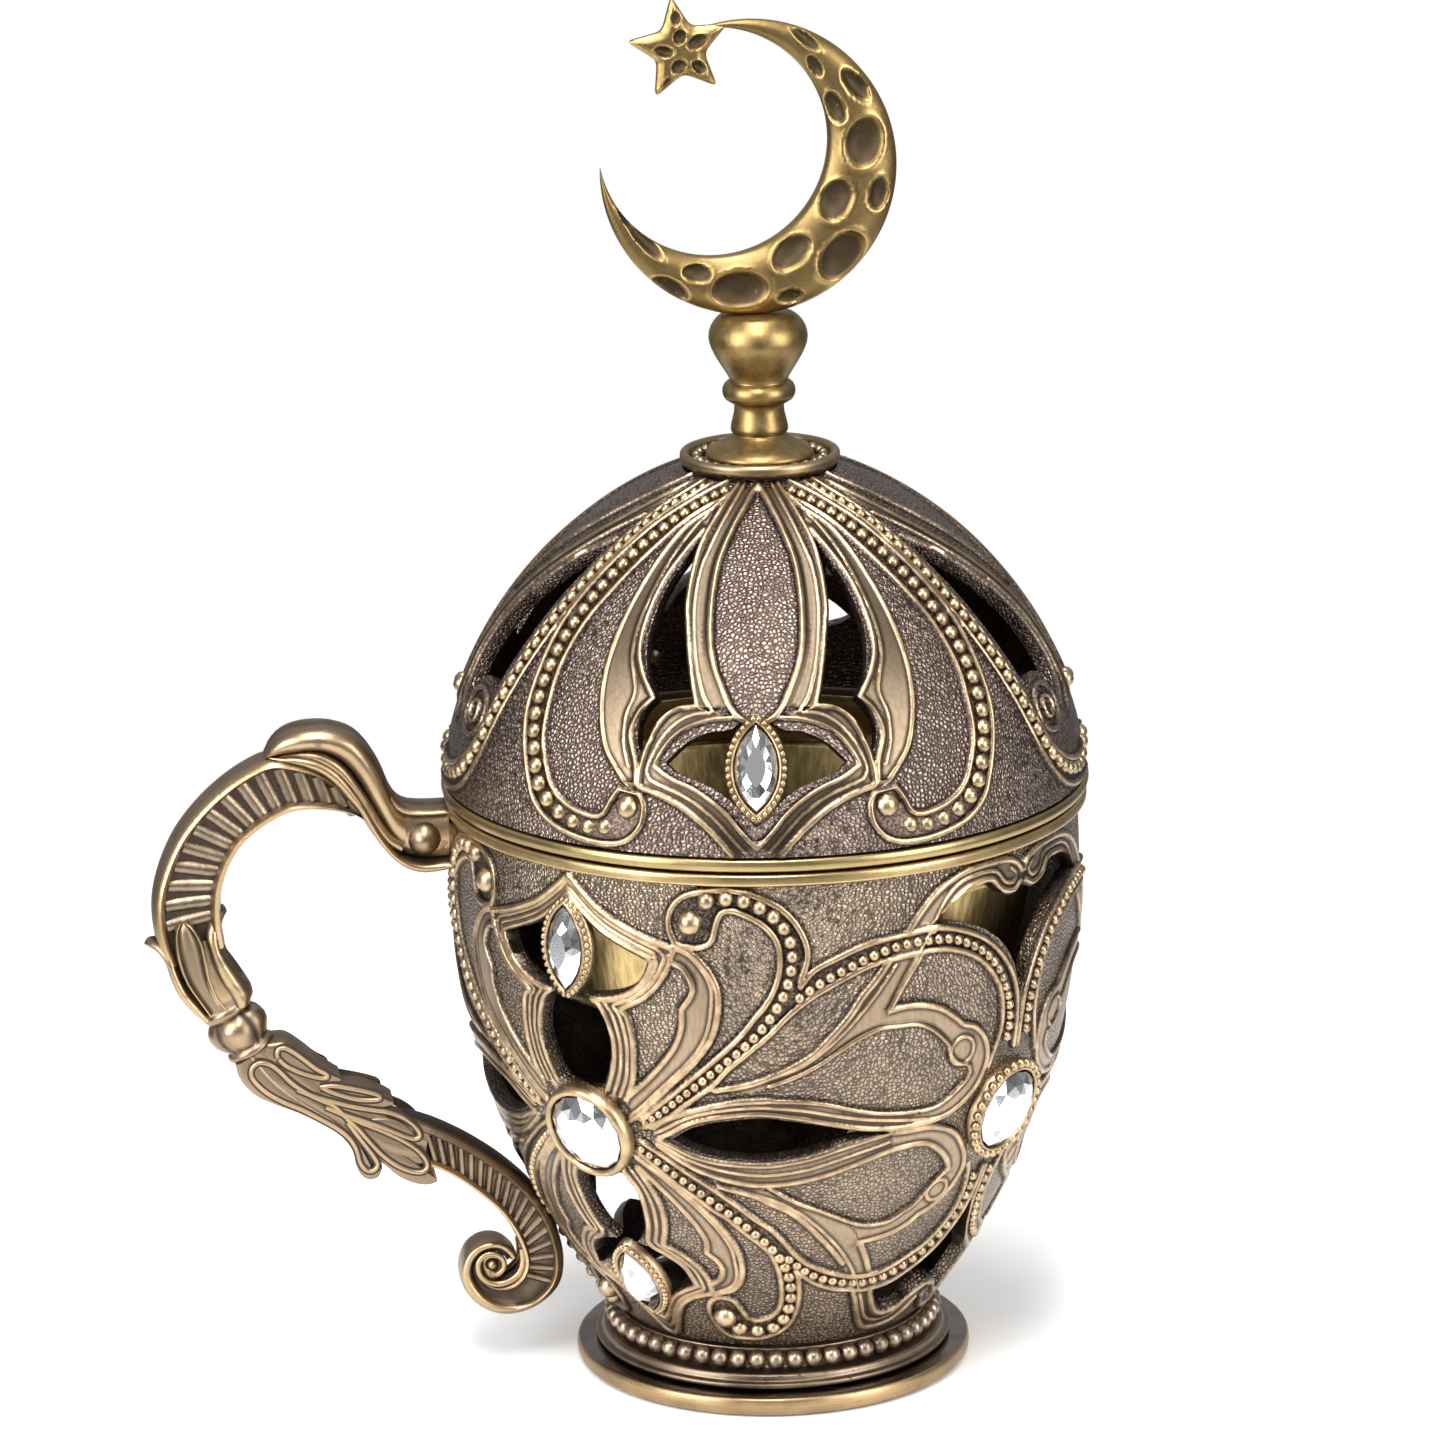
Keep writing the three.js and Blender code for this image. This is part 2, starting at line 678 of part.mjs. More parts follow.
function sunkBore() {
  const inner = -wall;
  return turned(
    [
      [0, -overrun],
      [sunkHeadRadius + seatGap, -overrun],
      [sunkHeadRadius + seatGap, inner + sunkHeadRecess],
      [screwRadius + seatGap, inner + sunkHeadRecess + sunkHeadDepth],
      [screwRadius + seatGap, overrun],
      [0, overrun],
    ],
    TINY_ROUND,
  );
}

// A sunk screw, in the frame of its hole, with a slot across its flat head
function sunkScrew(length) {
  const face = sunkHeadRecess - wall;
  const body = turned(
    [
      [0, face],
      [sunkHeadRadius, face],
      [screwRadius, face + sunkHeadDepth],
      [screwRadius, length],
      [0, length],
    ],
    TINY_ROUND,
  );
  const slot = new THREE.BoxGeometry(sunkHeadRadius * 3, sunkHeadRadius * slotShare, sunkHeadDepth);
  return body.subtract(moved(solid(slot), 0, 0, face));
}

// Ring at the cup's mouth: a plain band, and a sleeve inside the cup with a ledge for the bowl
function cupRing() {
  const bandOuter = bellyRadius + bandProud;
  const sleeveOuter = cup.at(1).x - wall - seatGap;
  const sleeveInner = sleeveOuter - sleeveWall;
  const bottom = cupRingBottom - sleeveDepth;
  return turned(
    [
      [sleeveOuter, bottom],
      [sleeveOuter, cupRingBottom],
      [bandOuter - bandProud / 3, cupRingBottom],
      [bandOuter, cupRingBottom + bandHeight / 3],
      [bandOuter, cupRingTop - bandHeight / 4],
      [bandOuter - bandProud / 3, cupRingTop],
      [sleeveInner, cupRingTop],
      [sleeveInner, bottom + ledgeThickness],
      [sleeveInner - ledgeWidth, bottom + ledgeThickness],
      [sleeveInner - ledgeWidth, bottom],
    ],
    ROUND,
  );
}

const sleeveInnerRadius = cup.at(1).x - wall - seatGap - sleeveWall;
const ledgeTop = cupRingBottom - sleeveDepth + ledgeThickness;

// Bowl: a spun pan whose lip rests on the ring's ledge
function innerBowl() {
  const lipBottom = ledgeTop + seatGap;
  const lipTop = lipBottom + bowlWall;
  const lipRadius = sleeveInnerRadius - seatGap;
  const mouth = lipRadius - bowlLip;
  const floorRadius = mouth - bowlTaper;
  const bottom = lipTop - bowlDepth;
  const corner = bowlCorner / 2;
  return turned(
    [
      [0, bottom],
      [floorRadius - bowlCorner, bottom],
      [floorRadius - corner / 2, bottom + corner / 2],
      [floorRadius, bottom + bowlCorner],
      [mouth, lipBottom],
      [lipRadius, lipBottom],
      [lipRadius, lipTop],
      [mouth - bowlWall, lipTop],
      [floorRadius - bowlWall, bottom + bowlCorner],
      [floorRadius - bowlWall - corner / 2, bottom + bowlWall + corner / 2],
      [floorRadius - bowlCorner - bowlWall / 2, bottom + bowlWall],
      [0, bottom + bowlWall],
    ],
    ROUND,
  );
}

// Ring at the lid's mouth: a plain band, with a spigot that centres the lid in the cup's ring
function lidRing() {
  const bandOuter = bellyRadius + bandProud;
  const spigotOuter = sleeveInnerRadius - seatGap;
  const spigotInner = spigotOuter - spigotWall;
  const bottom = cupRingTop - spigotDepth;
  return turned(
    [
      [spigotOuter, bottom],
      [spigotOuter, lidRingBottom],
      [bandOuter - bandProud / 3, lidRingBottom],
      [bandOuter + bandProud / 3, lidRingBottom + bandHeight / 4],
      [bandOuter + bandProud / 3, lidRingTop - bandHeight / 3],
      [bandOuter - bandProud / 3, lidRingTop],
      [spigotInner, lidRingTop],
      [spigotInner, bottom],
    ],
    ROUND,
  );
}

function domeShell() {
  const fromShare = (domeBottom - lidRingBottom) / domeLength;
  const { outer, inner } = shellProfile(dome, fromShare, SHELL_ROWS);
  outer[0][1] = domeBottom;
  inner[0] = [outer[0][0] - wall, domeBottom];
  const crownTop = dome.at(1).y;
  const bore = studRadius + seatGap;
  const crownInner = crownTop - wall;
  const below = inner.filter(([radius, height]) => height < crownInner - wall / 2 && radius > crownRadius);
  const profile = [...outer, [bore, crownTop], [bore, crownInner], [crownRadius - wall / 2, crownInner]];
  profile.push(...below.slice().reverse());
  let shell = turned(profile, SHELL_SIDES);
  const cutters = [];
  for (const turn of domeStoneTurns) {
    cutters.push(windowCutter(dome, turn, runsToOutline(lobeShares)));
    for (const side of [1, -1]) {
      cutters.push(windowCutter(dome, turn, runsToOutline(leafShares), side));
      cutters.push(windowCutter(dome, turn, runsToOutline(sideLeafShares), side));
    }
  }
  shell = shell.subtract(wasm.Manifold.union(cutters));
  shell = shell.add(ribs(dome, domeStoneTurns, domeRibShares));
  const bezel = leafBezel(domeLeafStoneLength);
  const frames = domeStoneTurns.map((turn) => seatFrame(dome, turn, domeStoneShare));
  for (const frame of frames) shell = shell.add(placed(bezel.rim, frame));
  const inside = [[0, domeBottom], [outer[0][0] - wall, domeBottom], ...below.slice(1)];
  inside.push([crownRadius - wall / 2, crownInner], [0, crownInner]);
  shell = shell.subtract(turned(inside, SHELL_SIDES));
  for (const frame of frames) shell = shell.subtract(placed(bezel.pocket, frame));
  return shell;
}

const crownRingBottom = dome.at(1).y + seatGap;

// Crown ring: a flanged saucer on the dome's flat, with beads round the finial's bell
function crownRing() {
  const top = crownRingBottom + crownRingHeight;
  const floor = crownRingBottom + crownRingFloor;
  const inner = crownRingRadius - crownRingLip;
  const bore = studRadius + seatGap;
  const body = turned(
    [
      [bore, crownRingBottom],
      [crownRingRadius - crownRingLip / 2, crownRingBottom],
      [crownRingRadius, crownRingBottom + crownRingHeight / 3],
      [crownRingRadius, top - crownRingLip / 4],
      [crownRingRadius - crownRingLip / 3, top],
      [inner, top - crownRingLip / 4],
      [inner, floor],
      [bore, floor],
    ],
    SMALL_ROUND,
  );
  const bead = solid(new THREE.OctahedronGeometry(crownBeadRadius, 0));
  const beads = [];
  const circle = (inner + bellRadius + seatGap) / 2;
  for (let n = 0; n < crownBeads; n += 1) {
    const angle = (2 * Math.PI * n) / crownBeads;
    beads.push(moved(bead, circle * Math.cos(angle), circle * Math.sin(angle), floor));
  }
  return wasm.Manifold.union([body, ...beads]);
}

const stemBottom = crownRingBottom + crownRingFloor + seatGap;
const stemTop = stemBottom + stemHeight;

// Finial stem: one turning, with a bell foot, a waist, a ring and a bulb, and a stud below. Each line is
// a radius and shares of it, with the shares of the stem's height above its foot.
const stemShares = [
  { radius: bellRadius, at: [[0.95, 0], [1, 0.03], [0.86, 0.08], [0.66, 0.115]] },
  { radius: neckRadius, at: [[1.24, 0.16], [1.14, 0.19], [1.18, 0.24], [1.1, 0.3], [1, 0.37], [1.04, 0.4]] },
  { radius: stemRingRadius, at: [[0.9, 0.425], [1, 0.47], [0.94, 0.52]] },
  { radius: neckRadius, at: [[1.16, 0.545], [1.3, 0.6]] },
  { radius: bulbRadius, at: [[0.84, 0.7], [0.98, 0.79], [1, 0.84], [0.93, 0.91]] },
  { radius: bulbSeatRadius, at: [[1, 0.96], [1, 1]] },
];

function finialStem() {
  const outline = stemShares.flatMap(({ radius, at }) =>
    at.map(([wide, high]) => [radius * wide, stemBottom + stemHeight * high]),
  );
  const bore = crescentPegRadius + seatGap;
  const boreBottom = stemTop - crescentPegLength - seatGap;
  return turned(
    [
      [0, stemBottom - studLength],
      [studRadius, stemBottom - studLength],
      [studRadius, stemBottom],
      ...outline,
      [bore, stemTop],
      [bore, boreBottom],
      [0, boreBottom],
    ],
    SMALL_ROUND,
  );
}

const crownInside = dome.at(1).y - wall;

function washer(inner, outer, bottom) {
  const top = bottom + washerThickness;
  return turned([[inner, bottom], [outer, bottom], [outer, top], [inner, top]], TINY_ROUND);
}

function finialWasher() {
  return washer(studRadius + seatGap, nutWidth / 2 + washerReach, crownInside - seatGap - washerThickness);
}

function finialNut() {
  const top = crownInside - seatGap - washerThickness - seatGap;
  const corner = nutWidth / Math.sqrt(3);
  const hexagon = post(corner, top - nutHeight, top, NUT_SIDES);
  return hexagon.subtract(post(studRadius + seatGap, top - overrun, top + overrun));
}

// Crescent: its outer and inner edges are two circles, and its section is thickest along a ridge
// between them. Each half section is listed as [across, deep] shares.
const crescentSections = 30;
const hornShare = 0.985; // of the way to the circles' crossing, where each horn is blunted
const ridgeFadeShare = 0.6; // power by which the depth falls with the width
const crescentSectionShares = [[1, 0.3], [0.55, 0.85], [0, 1], [-0.55, 0.85], [-1, 0.3]];

function crescentBody() {
  const hollowRadius = crescentRadius * crescentShares.hollow;
  const { hollowSide, hollowRise } = crescentShares;
  const hollow = new THREE.Vector2(hollowSide, hollowRise).multiplyScalar(crescentRadius);
  const apart = hollow.length();
  const away = Math.atan2(-hollow.y, -hollow.x);
  const reach = (crescentRadius ** 2 - hollowRadius ** 2 + apart ** 2) / (2 * apart);
  const tipAngle = hornShare * (Math.PI - Math.acos(reach / crescentRadius));
  const fullWidth = crescentRadius - hollowRadius + apart;
  const deepest = crescentRadius * crescentShares.depth;
  const rings = [];
  for (let n = 0; n <= crescentSections; n += 1) {
    const angle = away + tipAngle * ((2 * n) / crescentSections - 1);
    const ray = new THREE.Vector2(Math.cos(angle), Math.sin(angle));
    const toward = ray.dot(hollow);
    const inner = toward + Math.sqrt(hollowRadius ** 2 - apart ** 2 + toward ** 2);
    const middle = (crescentRadius + inner) / 2;
    const halfWidth = (crescentRadius - inner) / 2;
    const halfDepth = (deepest / 2) * ((2 * halfWidth) / fullWidth) ** ridgeFadeShare;
    const at = ([across, deep], face) => {
      const radius = middle + across * halfWidth;
      return new THREE.Vector3(ray.x * radius, face * deep * halfDepth, ray.y * radius);
    };
    const back = crescentSectionShares.map((share) => at(share, 1));
    const front = crescentSectionShares.map((share) => at(share, -1)).reverse();
    rings.push([...back, ...front]);
  }
  return lofted(rings);
}

// Star: five bevelled points, the first of them a little left of upright
const starTips = 5;
const starTurnShare = 8 / 360; // of a full turn

function starBody() {
  const radius = crescentRadius * crescentShares.star;
  const bevel = radius * starShares.bevel;
  const thickness = radius * starShares.thickness;
  const points = [];
  for (let n = 0; n < 2 * starTips; n += 1) {
    const reach = n % 2 ? radius * starShares.notch : radius;
    const angle = 2 * Math.PI * (1 / 4 + starTurnShare) + (Math.PI * n) / starTips;
    points.push(new THREE.Vector2(reach * Math.cos(angle), reach * Math.sin(angle)));
  }
  const body = new THREE.ExtrudeGeometry(new THREE.Shape(points), {
    depth: thickness - 2 * bevel,
    bevelThickness: bevel,
    bevelSize: bevel,
    bevelOffset: -bevel,
    bevelSegments: 1,
  });
  return solid(body.translate(0, 0, bevel - thickness / 2).rotateX(Math.PI / 2));
}

// The two are one flat casting, with a peg that stands in the stem's bulb
function crescentAndStar() {
  const seat = stemTop + seatGap;
  const middleHeight = seat + crescentRadius - crescentPegRadius / 4;
  const { side, depth, starSide, starRise } = crescentShares;
  const star = moved(starBody(), crescentRadius * starSide, 0, crescentRadius * starRise);
  const whole = moved(crescentBody().add(star), crescentRadius * side, 0, middleHeight);
  const under = new THREE.BoxGeometry(bulbRadius * 2, bulbRadius * 2, overrun).translate(0, 0, -overrun / 2);
  const pegTop = seat + (crescentRadius * depth) / 2;
  const peg = post(crescentPegRadius, seat - crescentPegLength, pegTop);
  return whole.subtract(moved(solid(under), 0, 0, seat)).add(peg);
}

// Handle: its pieces are bars that follow a path in the handle's plane. A station is the place on the
// path, then the bar's width there and its depth. They are shares of the handle's reach beyond the
// belly, of the cup's height, of the arm's width and of the arm's depth.
function handlePoint([reach, height]) {
  return new THREE.Vector2(-bellyRadius - reach * handleReach, cupBottom + height * cupHeight);
}

// The tail keeps beside the cup, so its stations begin with a share of the arm's width away from it
function besideCup([away, height]) {
  return new THREE.Vector2(-cup.at(height).x - away * armWidth, cupBottom + height * cupHeight);
}

const squareSection = 0.62; // power of the section's sine and cosine: 1 is an ellipse, 0 a box
const softSection = 0.75;
const roundSection = 0.9;

function bar(stations, squareness, sides = BAR_SIDES, place = handlePoint) {
  const places = stations.map(place);
  const rings = places.map((middle, n) => {
    const before = places[Math.max(0, n - 1)];
    const after = places[Math.min(places.length - 1, n + 1)];
    const along = after.clone().sub(before).normalize();
    const halfWidth = (stations[n][2] * armWidth) / 2;
    const halfDepth = (stations[n][3] * armDepth) / 2;
    const ring = [];
    for (let side = 0; side < sides; side += 1) {
      const angle = (2 * Math.PI * (side + 1 / 2)) / sides;
      const cosine = Math.sign(Math.cos(angle)) * Math.abs(Math.cos(angle)) ** squareness;
      const sine = Math.sign(Math.sin(angle)) * Math.abs(Math.sin(angle)) ** squareness;
      const across = halfWidth * cosine;
      const set = new THREE.Vector2(-along.y, along.x).multiplyScalar(across).add(middle);
      ring.push(new THREE.Vector3(set.x, halfDepth * sine, set.y));
    }
    return ring;
  });
  return lofted(rings);
}

// More stations on the same smooth path
function smoothed(stations, steps) {
  const curve = (pick) => new THREE.CatmullRomCurve3(stations.map(pick));
  const path = curve(([reach, height]) => new THREE.Vector3(reach, height, 0));
  const sizes = curve(([, , width, depth]) => new THREE.Vector3(width, depth, 0));
  const made = [];
  for (let n = 0; n <= steps; n += 1) {
    const at = path.getPoint(n / steps);
    const size = sizes.getPoint(n / steps);
    made.push([at.x, at.y, size.x, size.y]);
  }
  return made;
}

const archShares = [
  [0.002, 0.959, 1, 0.86],
  [0.088, 0.958, 1.06, 0.86],
  [0.150, 0.965, 1.04, 0.9],
  [0.202, 0.993, 0.98, 0.95],
  [0.262, 1.038, 0.9, 1],
  [0.332, 1.071, 0.88, 1],
  [0.416, 1.086, 0.88, 1],
  [0.502, 1.083, 0.86, 1],
  [0.590, 1.064, 0.88, 1],
  [0.682, 1.027, 0.92, 1],
  [0.766, 0.981, 0.94, 1],
  [0.826, 0.927, 0.98, 1],
  [0.846, 0.864, 1.02, 1],
  [0.844, 0.813, 1.04, 1],
];
const calyxShares = [
  [0.844, 0.824, 1.06, 1.04],
  [0.832, 0.774, 1.1, 1.08],
  [0.796, 0.718, 1.08, 1.08],
  [0.760, 0.673, 0.98, 1],
  [0.734, 0.642, 0.78, 0.86],
];
const knobShares = [
  [0.742, 0.646, 0.74, 0.84],
  [0.730, 0.633, 0.86, 0.94],
  [0.720, 0.621, 0.78, 0.88],
  [0.696, 0.596, 1.02, 1.08],
  [0.670, 0.567, 0.74, 0.86],
  [0.660, 0.555, 0.82, 0.9],
  [0.646, 0.545, 0.7, 0.8],
];
const leafBandShares = [
  [0.654, 0.551, 0.72, 0.82],
  [0.608, 0.517, 0.94, 0.96],
  [0.524, 0.481, 0.94, 1],
  [0.428, 0.447, 0.84, 1],
  [0.332, 0.412, 0.84, 1],
  [0.236, 0.377, 0.84, 1],
  [0.152, 0.348, 0.8, 0.96],
  [0.072, 0.323, 0.76, 0.9],
  [0.02, 0.305, 0.72, 0.86],
];
const tailShares = [
  [1.75, 0.35, 0.74, 0.9],
  [1.4, 0.334, 0.72, 0.88],
  [1.11, 0.307, 0.7, 0.86],
  [0.83, 0.289, 0.7, 0.86],
  [0.59, 0.263, 0.7, 0.86],
  [0.45, 0.228, 0.68, 0.86],
  [0.44, 0.185, 0.64, 0.86],
  [0.53, 0.141, 0.6, 0.84],
  [0.71, 0.1, 0.58, 0.82],
];
const thumbLeafShares = [
  [0.162, 1.002, 0.3, 0.8],
  [0.210, 1.055, 0.52, 1.04],
  [0.276, 1.118, 0.6, 1.14],
  [0.362, 1.154, 0.56, 1.16],
  [0.456, 1.163, 0.5, 1.08],
  [0.532, 1.150, 0.36, 0.9],
  [0.578, 1.138, 0.12, 0.5],
];
const outerTipShares = [
  [0.872, 0.725, 0.3, 0.66],
  [0.912, 0.768, 0.26, 0.56],
  [0.952, 0.789, 0.18, 0.44],
  [0.992, 0.780, 0.06, 0.2],
];
const innerTipShares = [
  [0.742, 0.752, 0.34, 0.66],
  [0.734, 0.798, 0.3, 0.56],
  [0.738, 0.826, 0.2, 0.44],
  [0.722, 0.836, 0.06, 0.2],
];
const upperLeafShares = [
  [0.582, 0.561, 0.3, 0.7],
  [0.506, 0.536, 0.44, 0.8],
  [0.442, 0.512, 0.4, 0.66],
  [0.386, 0.496, 0.14, 0.3],
];
const middleLeafShares = [
  [0.402, 0.472, 0.3, 0.7],
  [0.322, 0.466, 0.38, 0.76],
  [0.262, 0.454, 0.34, 0.6],
  [0.222, 0.448, 0.12, 0.3],
];
const lowerLeafTipShares = [
  [0.382, 0.402, 0.3, 0.7],
  [0.342, 0.356, 0.3, 0.7],
  [0.326, 0.317, 0.34, 0.6],
  [0.298, 0.298, 0.24, 0.4],
  [0.286, 0.311, 0.1, 0.24],
];
const tailLeafTipShares = [
  [0.262, 0.356, 0.3, 0.7],
  [0.202, 0.314, 0.36, 0.74],
  [0.138, 0.286, 0.34, 0.6],
  [0.086, 0.284, 0.12, 0.3],
];

// The volute: the tail winds on in a spiral whose radius, width and depth shrink with the turn
const voluteTurns = 1.35;
const voluteLeadShare = 1 / 12; // of a turn, by which the coil begins up the tail
const voluteSteps = 18;
const voluteEndShares = { radius: 0.2, width: 0.22, depth: 0.72 };
const voluteStartShares = { radius: 1, width: 0.58, depth: 0.82 };
const voluteTightening = 0.65; // power of the turn done, by which the radius and width shrink

function volute() {
  const between = (name, done) => THREE.MathUtils.lerp(voluteStartShares[name], voluteEndShares[name], done);
  const centre = besideCup(volutePlaceShares);
  const wind = ([angle, radius]) =>
    new THREE.Vector2(centre.x + radius * Math.cos(angle), centre.y + radius * Math.sin(angle));
  const stations = [];
  for (let n = 0; n <= voluteSteps; n += 1) {
    const done = n / voluteSteps;
    const wound = done ** voluteTightening;
    const angle = 2 * Math.PI * (voluteLeadShare - voluteTurns * done);
    const radius = voluteRadius * between("radius", wound);
    stations.push([angle, radius, between("width", wound), between("depth", done)]);
  }
  const web = new THREE.CylinderGeometry(voluteRadius / 2, voluteRadius / 2, armDepth / 2, TINY_ROUND);
  return bar(stations, softSection, BAR_SIDES, wind).add(moved(solid(web), centre.x, 0, centre.y));
}

// A channel with raised rims, cut into both faces of a bar along part of its path
function facingChannels(stations, steps, place = handlePoint) {
  const path = smoothed(stations, steps);
  const places = path.map(place);
  const made = [];
  for (const face of [1, -1]) {
    const rings = places.map((middle, n) => {
      const before = places[Math.max(0, n - 1)];
      const after = places[Math.min(places.length - 1, n + 1)];
      const along = after.clone().sub(before).normalize();
      const half = (path[n][2] * armWidth) / 2 - channelRim;
      const surface = (path[n][3] * armDepth) / 2;
      const floor = surface - channelDepth;
      const corner = (across, deep) => {
        const set = new THREE.Vector2(-along.y, along.x).multiplyScalar(across).add(middle);
        return new THREE.Vector3(set.x, face * deep, set.y);
      };
      return [corner(half, floor), corner(half, overrun), corner(-half, overrun), corner(-half, floor)];
    });
    made.push(lofted(rings));
  }
  return wasm.Manifold.union(made);
}

// The space that the handle keeps clear of: the cup's field, and the two rings at the seam
function handleClearance() {
  const steps = 12;
  const standOff = [];
  for (let step = 0; step <= steps; step += 1) {
    const share = step / steps;
    const at = cup.at(share).addScaledVector(outward(cup, share), seatGap);
    standOff.push([at.x, at.y]);
  }
  const field = turned([[0, cupBottom], ...standOff, [0, cupTop]], ROUND);
  const ringReach = bellyRadius + bandProud + 2 * seatGap;
  return [field, post(ringReach, cupTop - seatGap, lidRingTop + overrun, ROUND)];
}

const attachBossShares = [0.096, 0.965]; // where the round boss stands, as a station
const archSteps = 16;
const leafSteps = 8;
const tailSteps = 10;

function handle() {
  const bars = [
    bar(smoothed(archShares, archSteps), squareSection),
    bar(calyxShares, roundSection),
    bar(knobShares, roundSection),
    bar(smoothed(leafBandShares, leafSteps), softSection),
    bar(smoothed(tailShares, tailSteps), squareSection, BAR_SIDES, besideCup),
    bar(smoothed(thumbLeafShares, leafSteps), softSection),
    volute(),
  ];
  const tips = [outerTipShares, innerTipShares, upperLeafShares, middleLeafShares];
  tips.push(lowerLeafTipShares, tailLeafTipShares);
  for (const tip of tips) bars.push(bar(tip, roundSection, TIP_SIDES));
  const bossPlace = handlePoint(attachBossShares);
  const boss = new THREE.SphereGeometry((armDepth + channelDepth) / 2, TINY_ROUND, TIP_SIDES);
  bars.push(moved(solid(boss), bossPlace.x, 0, bossPlace.y));
  let body = wasm.Manifold.union(bars);
  body = body.subtract(facingChannels(archShares.slice(5), archSteps - leafSteps));
  body = body.subtract(facingChannels(tailShares.slice(2, -1), tailSteps, besideCup));
  for (const kept of handleClearance()) body = body.subtract(kept);
  const threads = screwShares.map((share, n) =>
    placed(post(screwRadius + seatGap, -overrun, handleScrewLengths[n] + seatGap), screwFrame(share)),
  );
  return body.subtract(wasm.Manifold.union(threads));
}

// A screw and its washer, in the frame of the hole, with the head inside the cup
const screwCrownShare = 0.7; // of the head's radius, where its rounded edge meets the top
const slotShare = 0.25; // of the head's radius

function screwBody(length, depthInside) {
  const under = -depthInside - seatGap - washerThickness - seatGap;
  const head = turned(
    [
      [0, under - screwHeadHeight],
      [screwHeadRadius * screwCrownShare, under - screwHeadHeight],
      [screwHeadRadius, under - screwHeadHeight / 2],
      [screwHeadRadius, under],
      [screwRadius, under],
      [screwRadius, length],
      [0, length],
    ],
    TINY_ROUND,
  );
  const slot = new THREE.BoxGeometry(screwHeadRadius * 3, screwHeadRadius * slotShare, screwHeadHeight);
  return head.subtract(moved(solid(slot), 0, 0, under - screwHeadHeight));
}

function washerBody(depthInside) {
  const bottom = -depthInside - seatGap - washerThickness;
  return washer(screwRadius + seatGap, screwHeadRadius + washerReach / 2, bottom);
}

// The lid, in its own frame before it is turned
function lid() {
  const group = new THREE.Group();
  group.rotation.z = radians(lidTurn);
  group.add(piece("dome_ring", lidRing(), antiqueBrass));
  group.add(piece("dome_shell", domeShell(), castBronze));
  group.add(piece("crown_ring", crownRing(), antiqueBrass));
  group.add(piece("finial_stem", finialStem(), antiqueBrass));
  group.add(piece("finial_washer", finialWasher(), steel));
  group.add(piece("finial_nut", finialNut(), steel));
  group.add(piece("crescent_and_star", crescentAndStar(), antiqueBrass));
  ["front", "back"].forEach((side, n) => {
    const frame = seatFrame(dome, domeStoneTurns[n], domeStoneShare);
    group.add(piece(`stone_dome_${side}`, placed(leafStone(domeLeafStoneLength), frame), stone));
  });
  return group;
}

function cupStones() {
  const stones = [];
  ["front", "back"].forEach((side, n) => {
    const turn = cupStoneTurns[n];
    const upper = seatFrame(cup, turn, upperLeafStoneShare);
    const middle = seatFrame(cup, turn, roundStoneShare);
    const lower = seatFrame(cup, turn, lowerLeafStoneShare);
    stones.push(piece(`stone_cup_${side}_upper`, placed(leafStone(cupLeafStoneLength), upper), stone));
    stones.push(piece(`stone_cup_${side}_round`, placed(roundStone(), middle), stone));
    stones.push(piece(`stone_cup_${side}_lower`, placed(leafStone(cupLeafStoneLength), lower), stone));
  });
  ["right", "left"].forEach((side, n) => {
    const frame = seatFrame(cup, cupSideTurns[n], sideStoneShare);
    stones.push(piece(`stone_cup_${side}_round`, placed(roundStone(), frame), stone));
  });
  return stones;
}

function fasteners() {
  const made = ["upper", "lower"].map((side, n) => {
    const screw = sunkScrew(handleScrewLengths[n]);
    return piece(`handle_screw_${side}`, placed(screw, screwFrame(screwShares[n])), steel);
  });
  const floorFrame = new THREE.Matrix4().makeRotationX(Math.PI).setPosition(0, 0, cupBottom);
  made.push(piece("foot_screw", placed(screwBody(footScrewLength, cupFloor), floorFrame), steel));
  made.push(piece("foot_washer", placed(washerBody(cupFloor), floorFrame), steel));
  return made;
}

const burner = new THREE.Group();
burner.add(piece("foot_disc", footDisc(), darkGloss));
burner.add(piece("foot_collar", footCollar(), castBronze));
burner.add(piece("cup_shell", cupShell(), castBronze));
burner.add(piece("cup_ring", cupRing(), antiqueBrass));
burner.add(piece("inner_bowl", innerBowl(), bowlBrass));
burner.add(piece("handle", handle(), paleBronze));
burner.add(...cupStones(), ...fasteners(), lid());

export default burner;
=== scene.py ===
import math
import bmesh
import bpy
import numpy as np
from mathutils import Matrix, Vector, geometry


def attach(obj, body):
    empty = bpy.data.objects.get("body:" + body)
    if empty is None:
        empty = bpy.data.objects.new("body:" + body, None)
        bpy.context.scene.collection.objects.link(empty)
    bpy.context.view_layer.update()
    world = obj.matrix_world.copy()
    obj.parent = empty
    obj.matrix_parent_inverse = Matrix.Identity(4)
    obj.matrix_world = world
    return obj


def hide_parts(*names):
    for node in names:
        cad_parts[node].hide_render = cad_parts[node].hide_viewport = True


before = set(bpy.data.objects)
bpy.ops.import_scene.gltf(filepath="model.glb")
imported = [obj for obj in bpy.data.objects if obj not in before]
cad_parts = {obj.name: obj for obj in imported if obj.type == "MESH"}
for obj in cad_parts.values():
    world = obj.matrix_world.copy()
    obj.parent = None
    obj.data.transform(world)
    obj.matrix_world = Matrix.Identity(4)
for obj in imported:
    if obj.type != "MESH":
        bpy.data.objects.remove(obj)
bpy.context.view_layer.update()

# Foot disc: a thin brass disc, turned and polished, with a dark gloss plate on its top. A tapped boss in the
# middle of its top takes the screw that holds the collar and the cup to it.
MM = 0.001


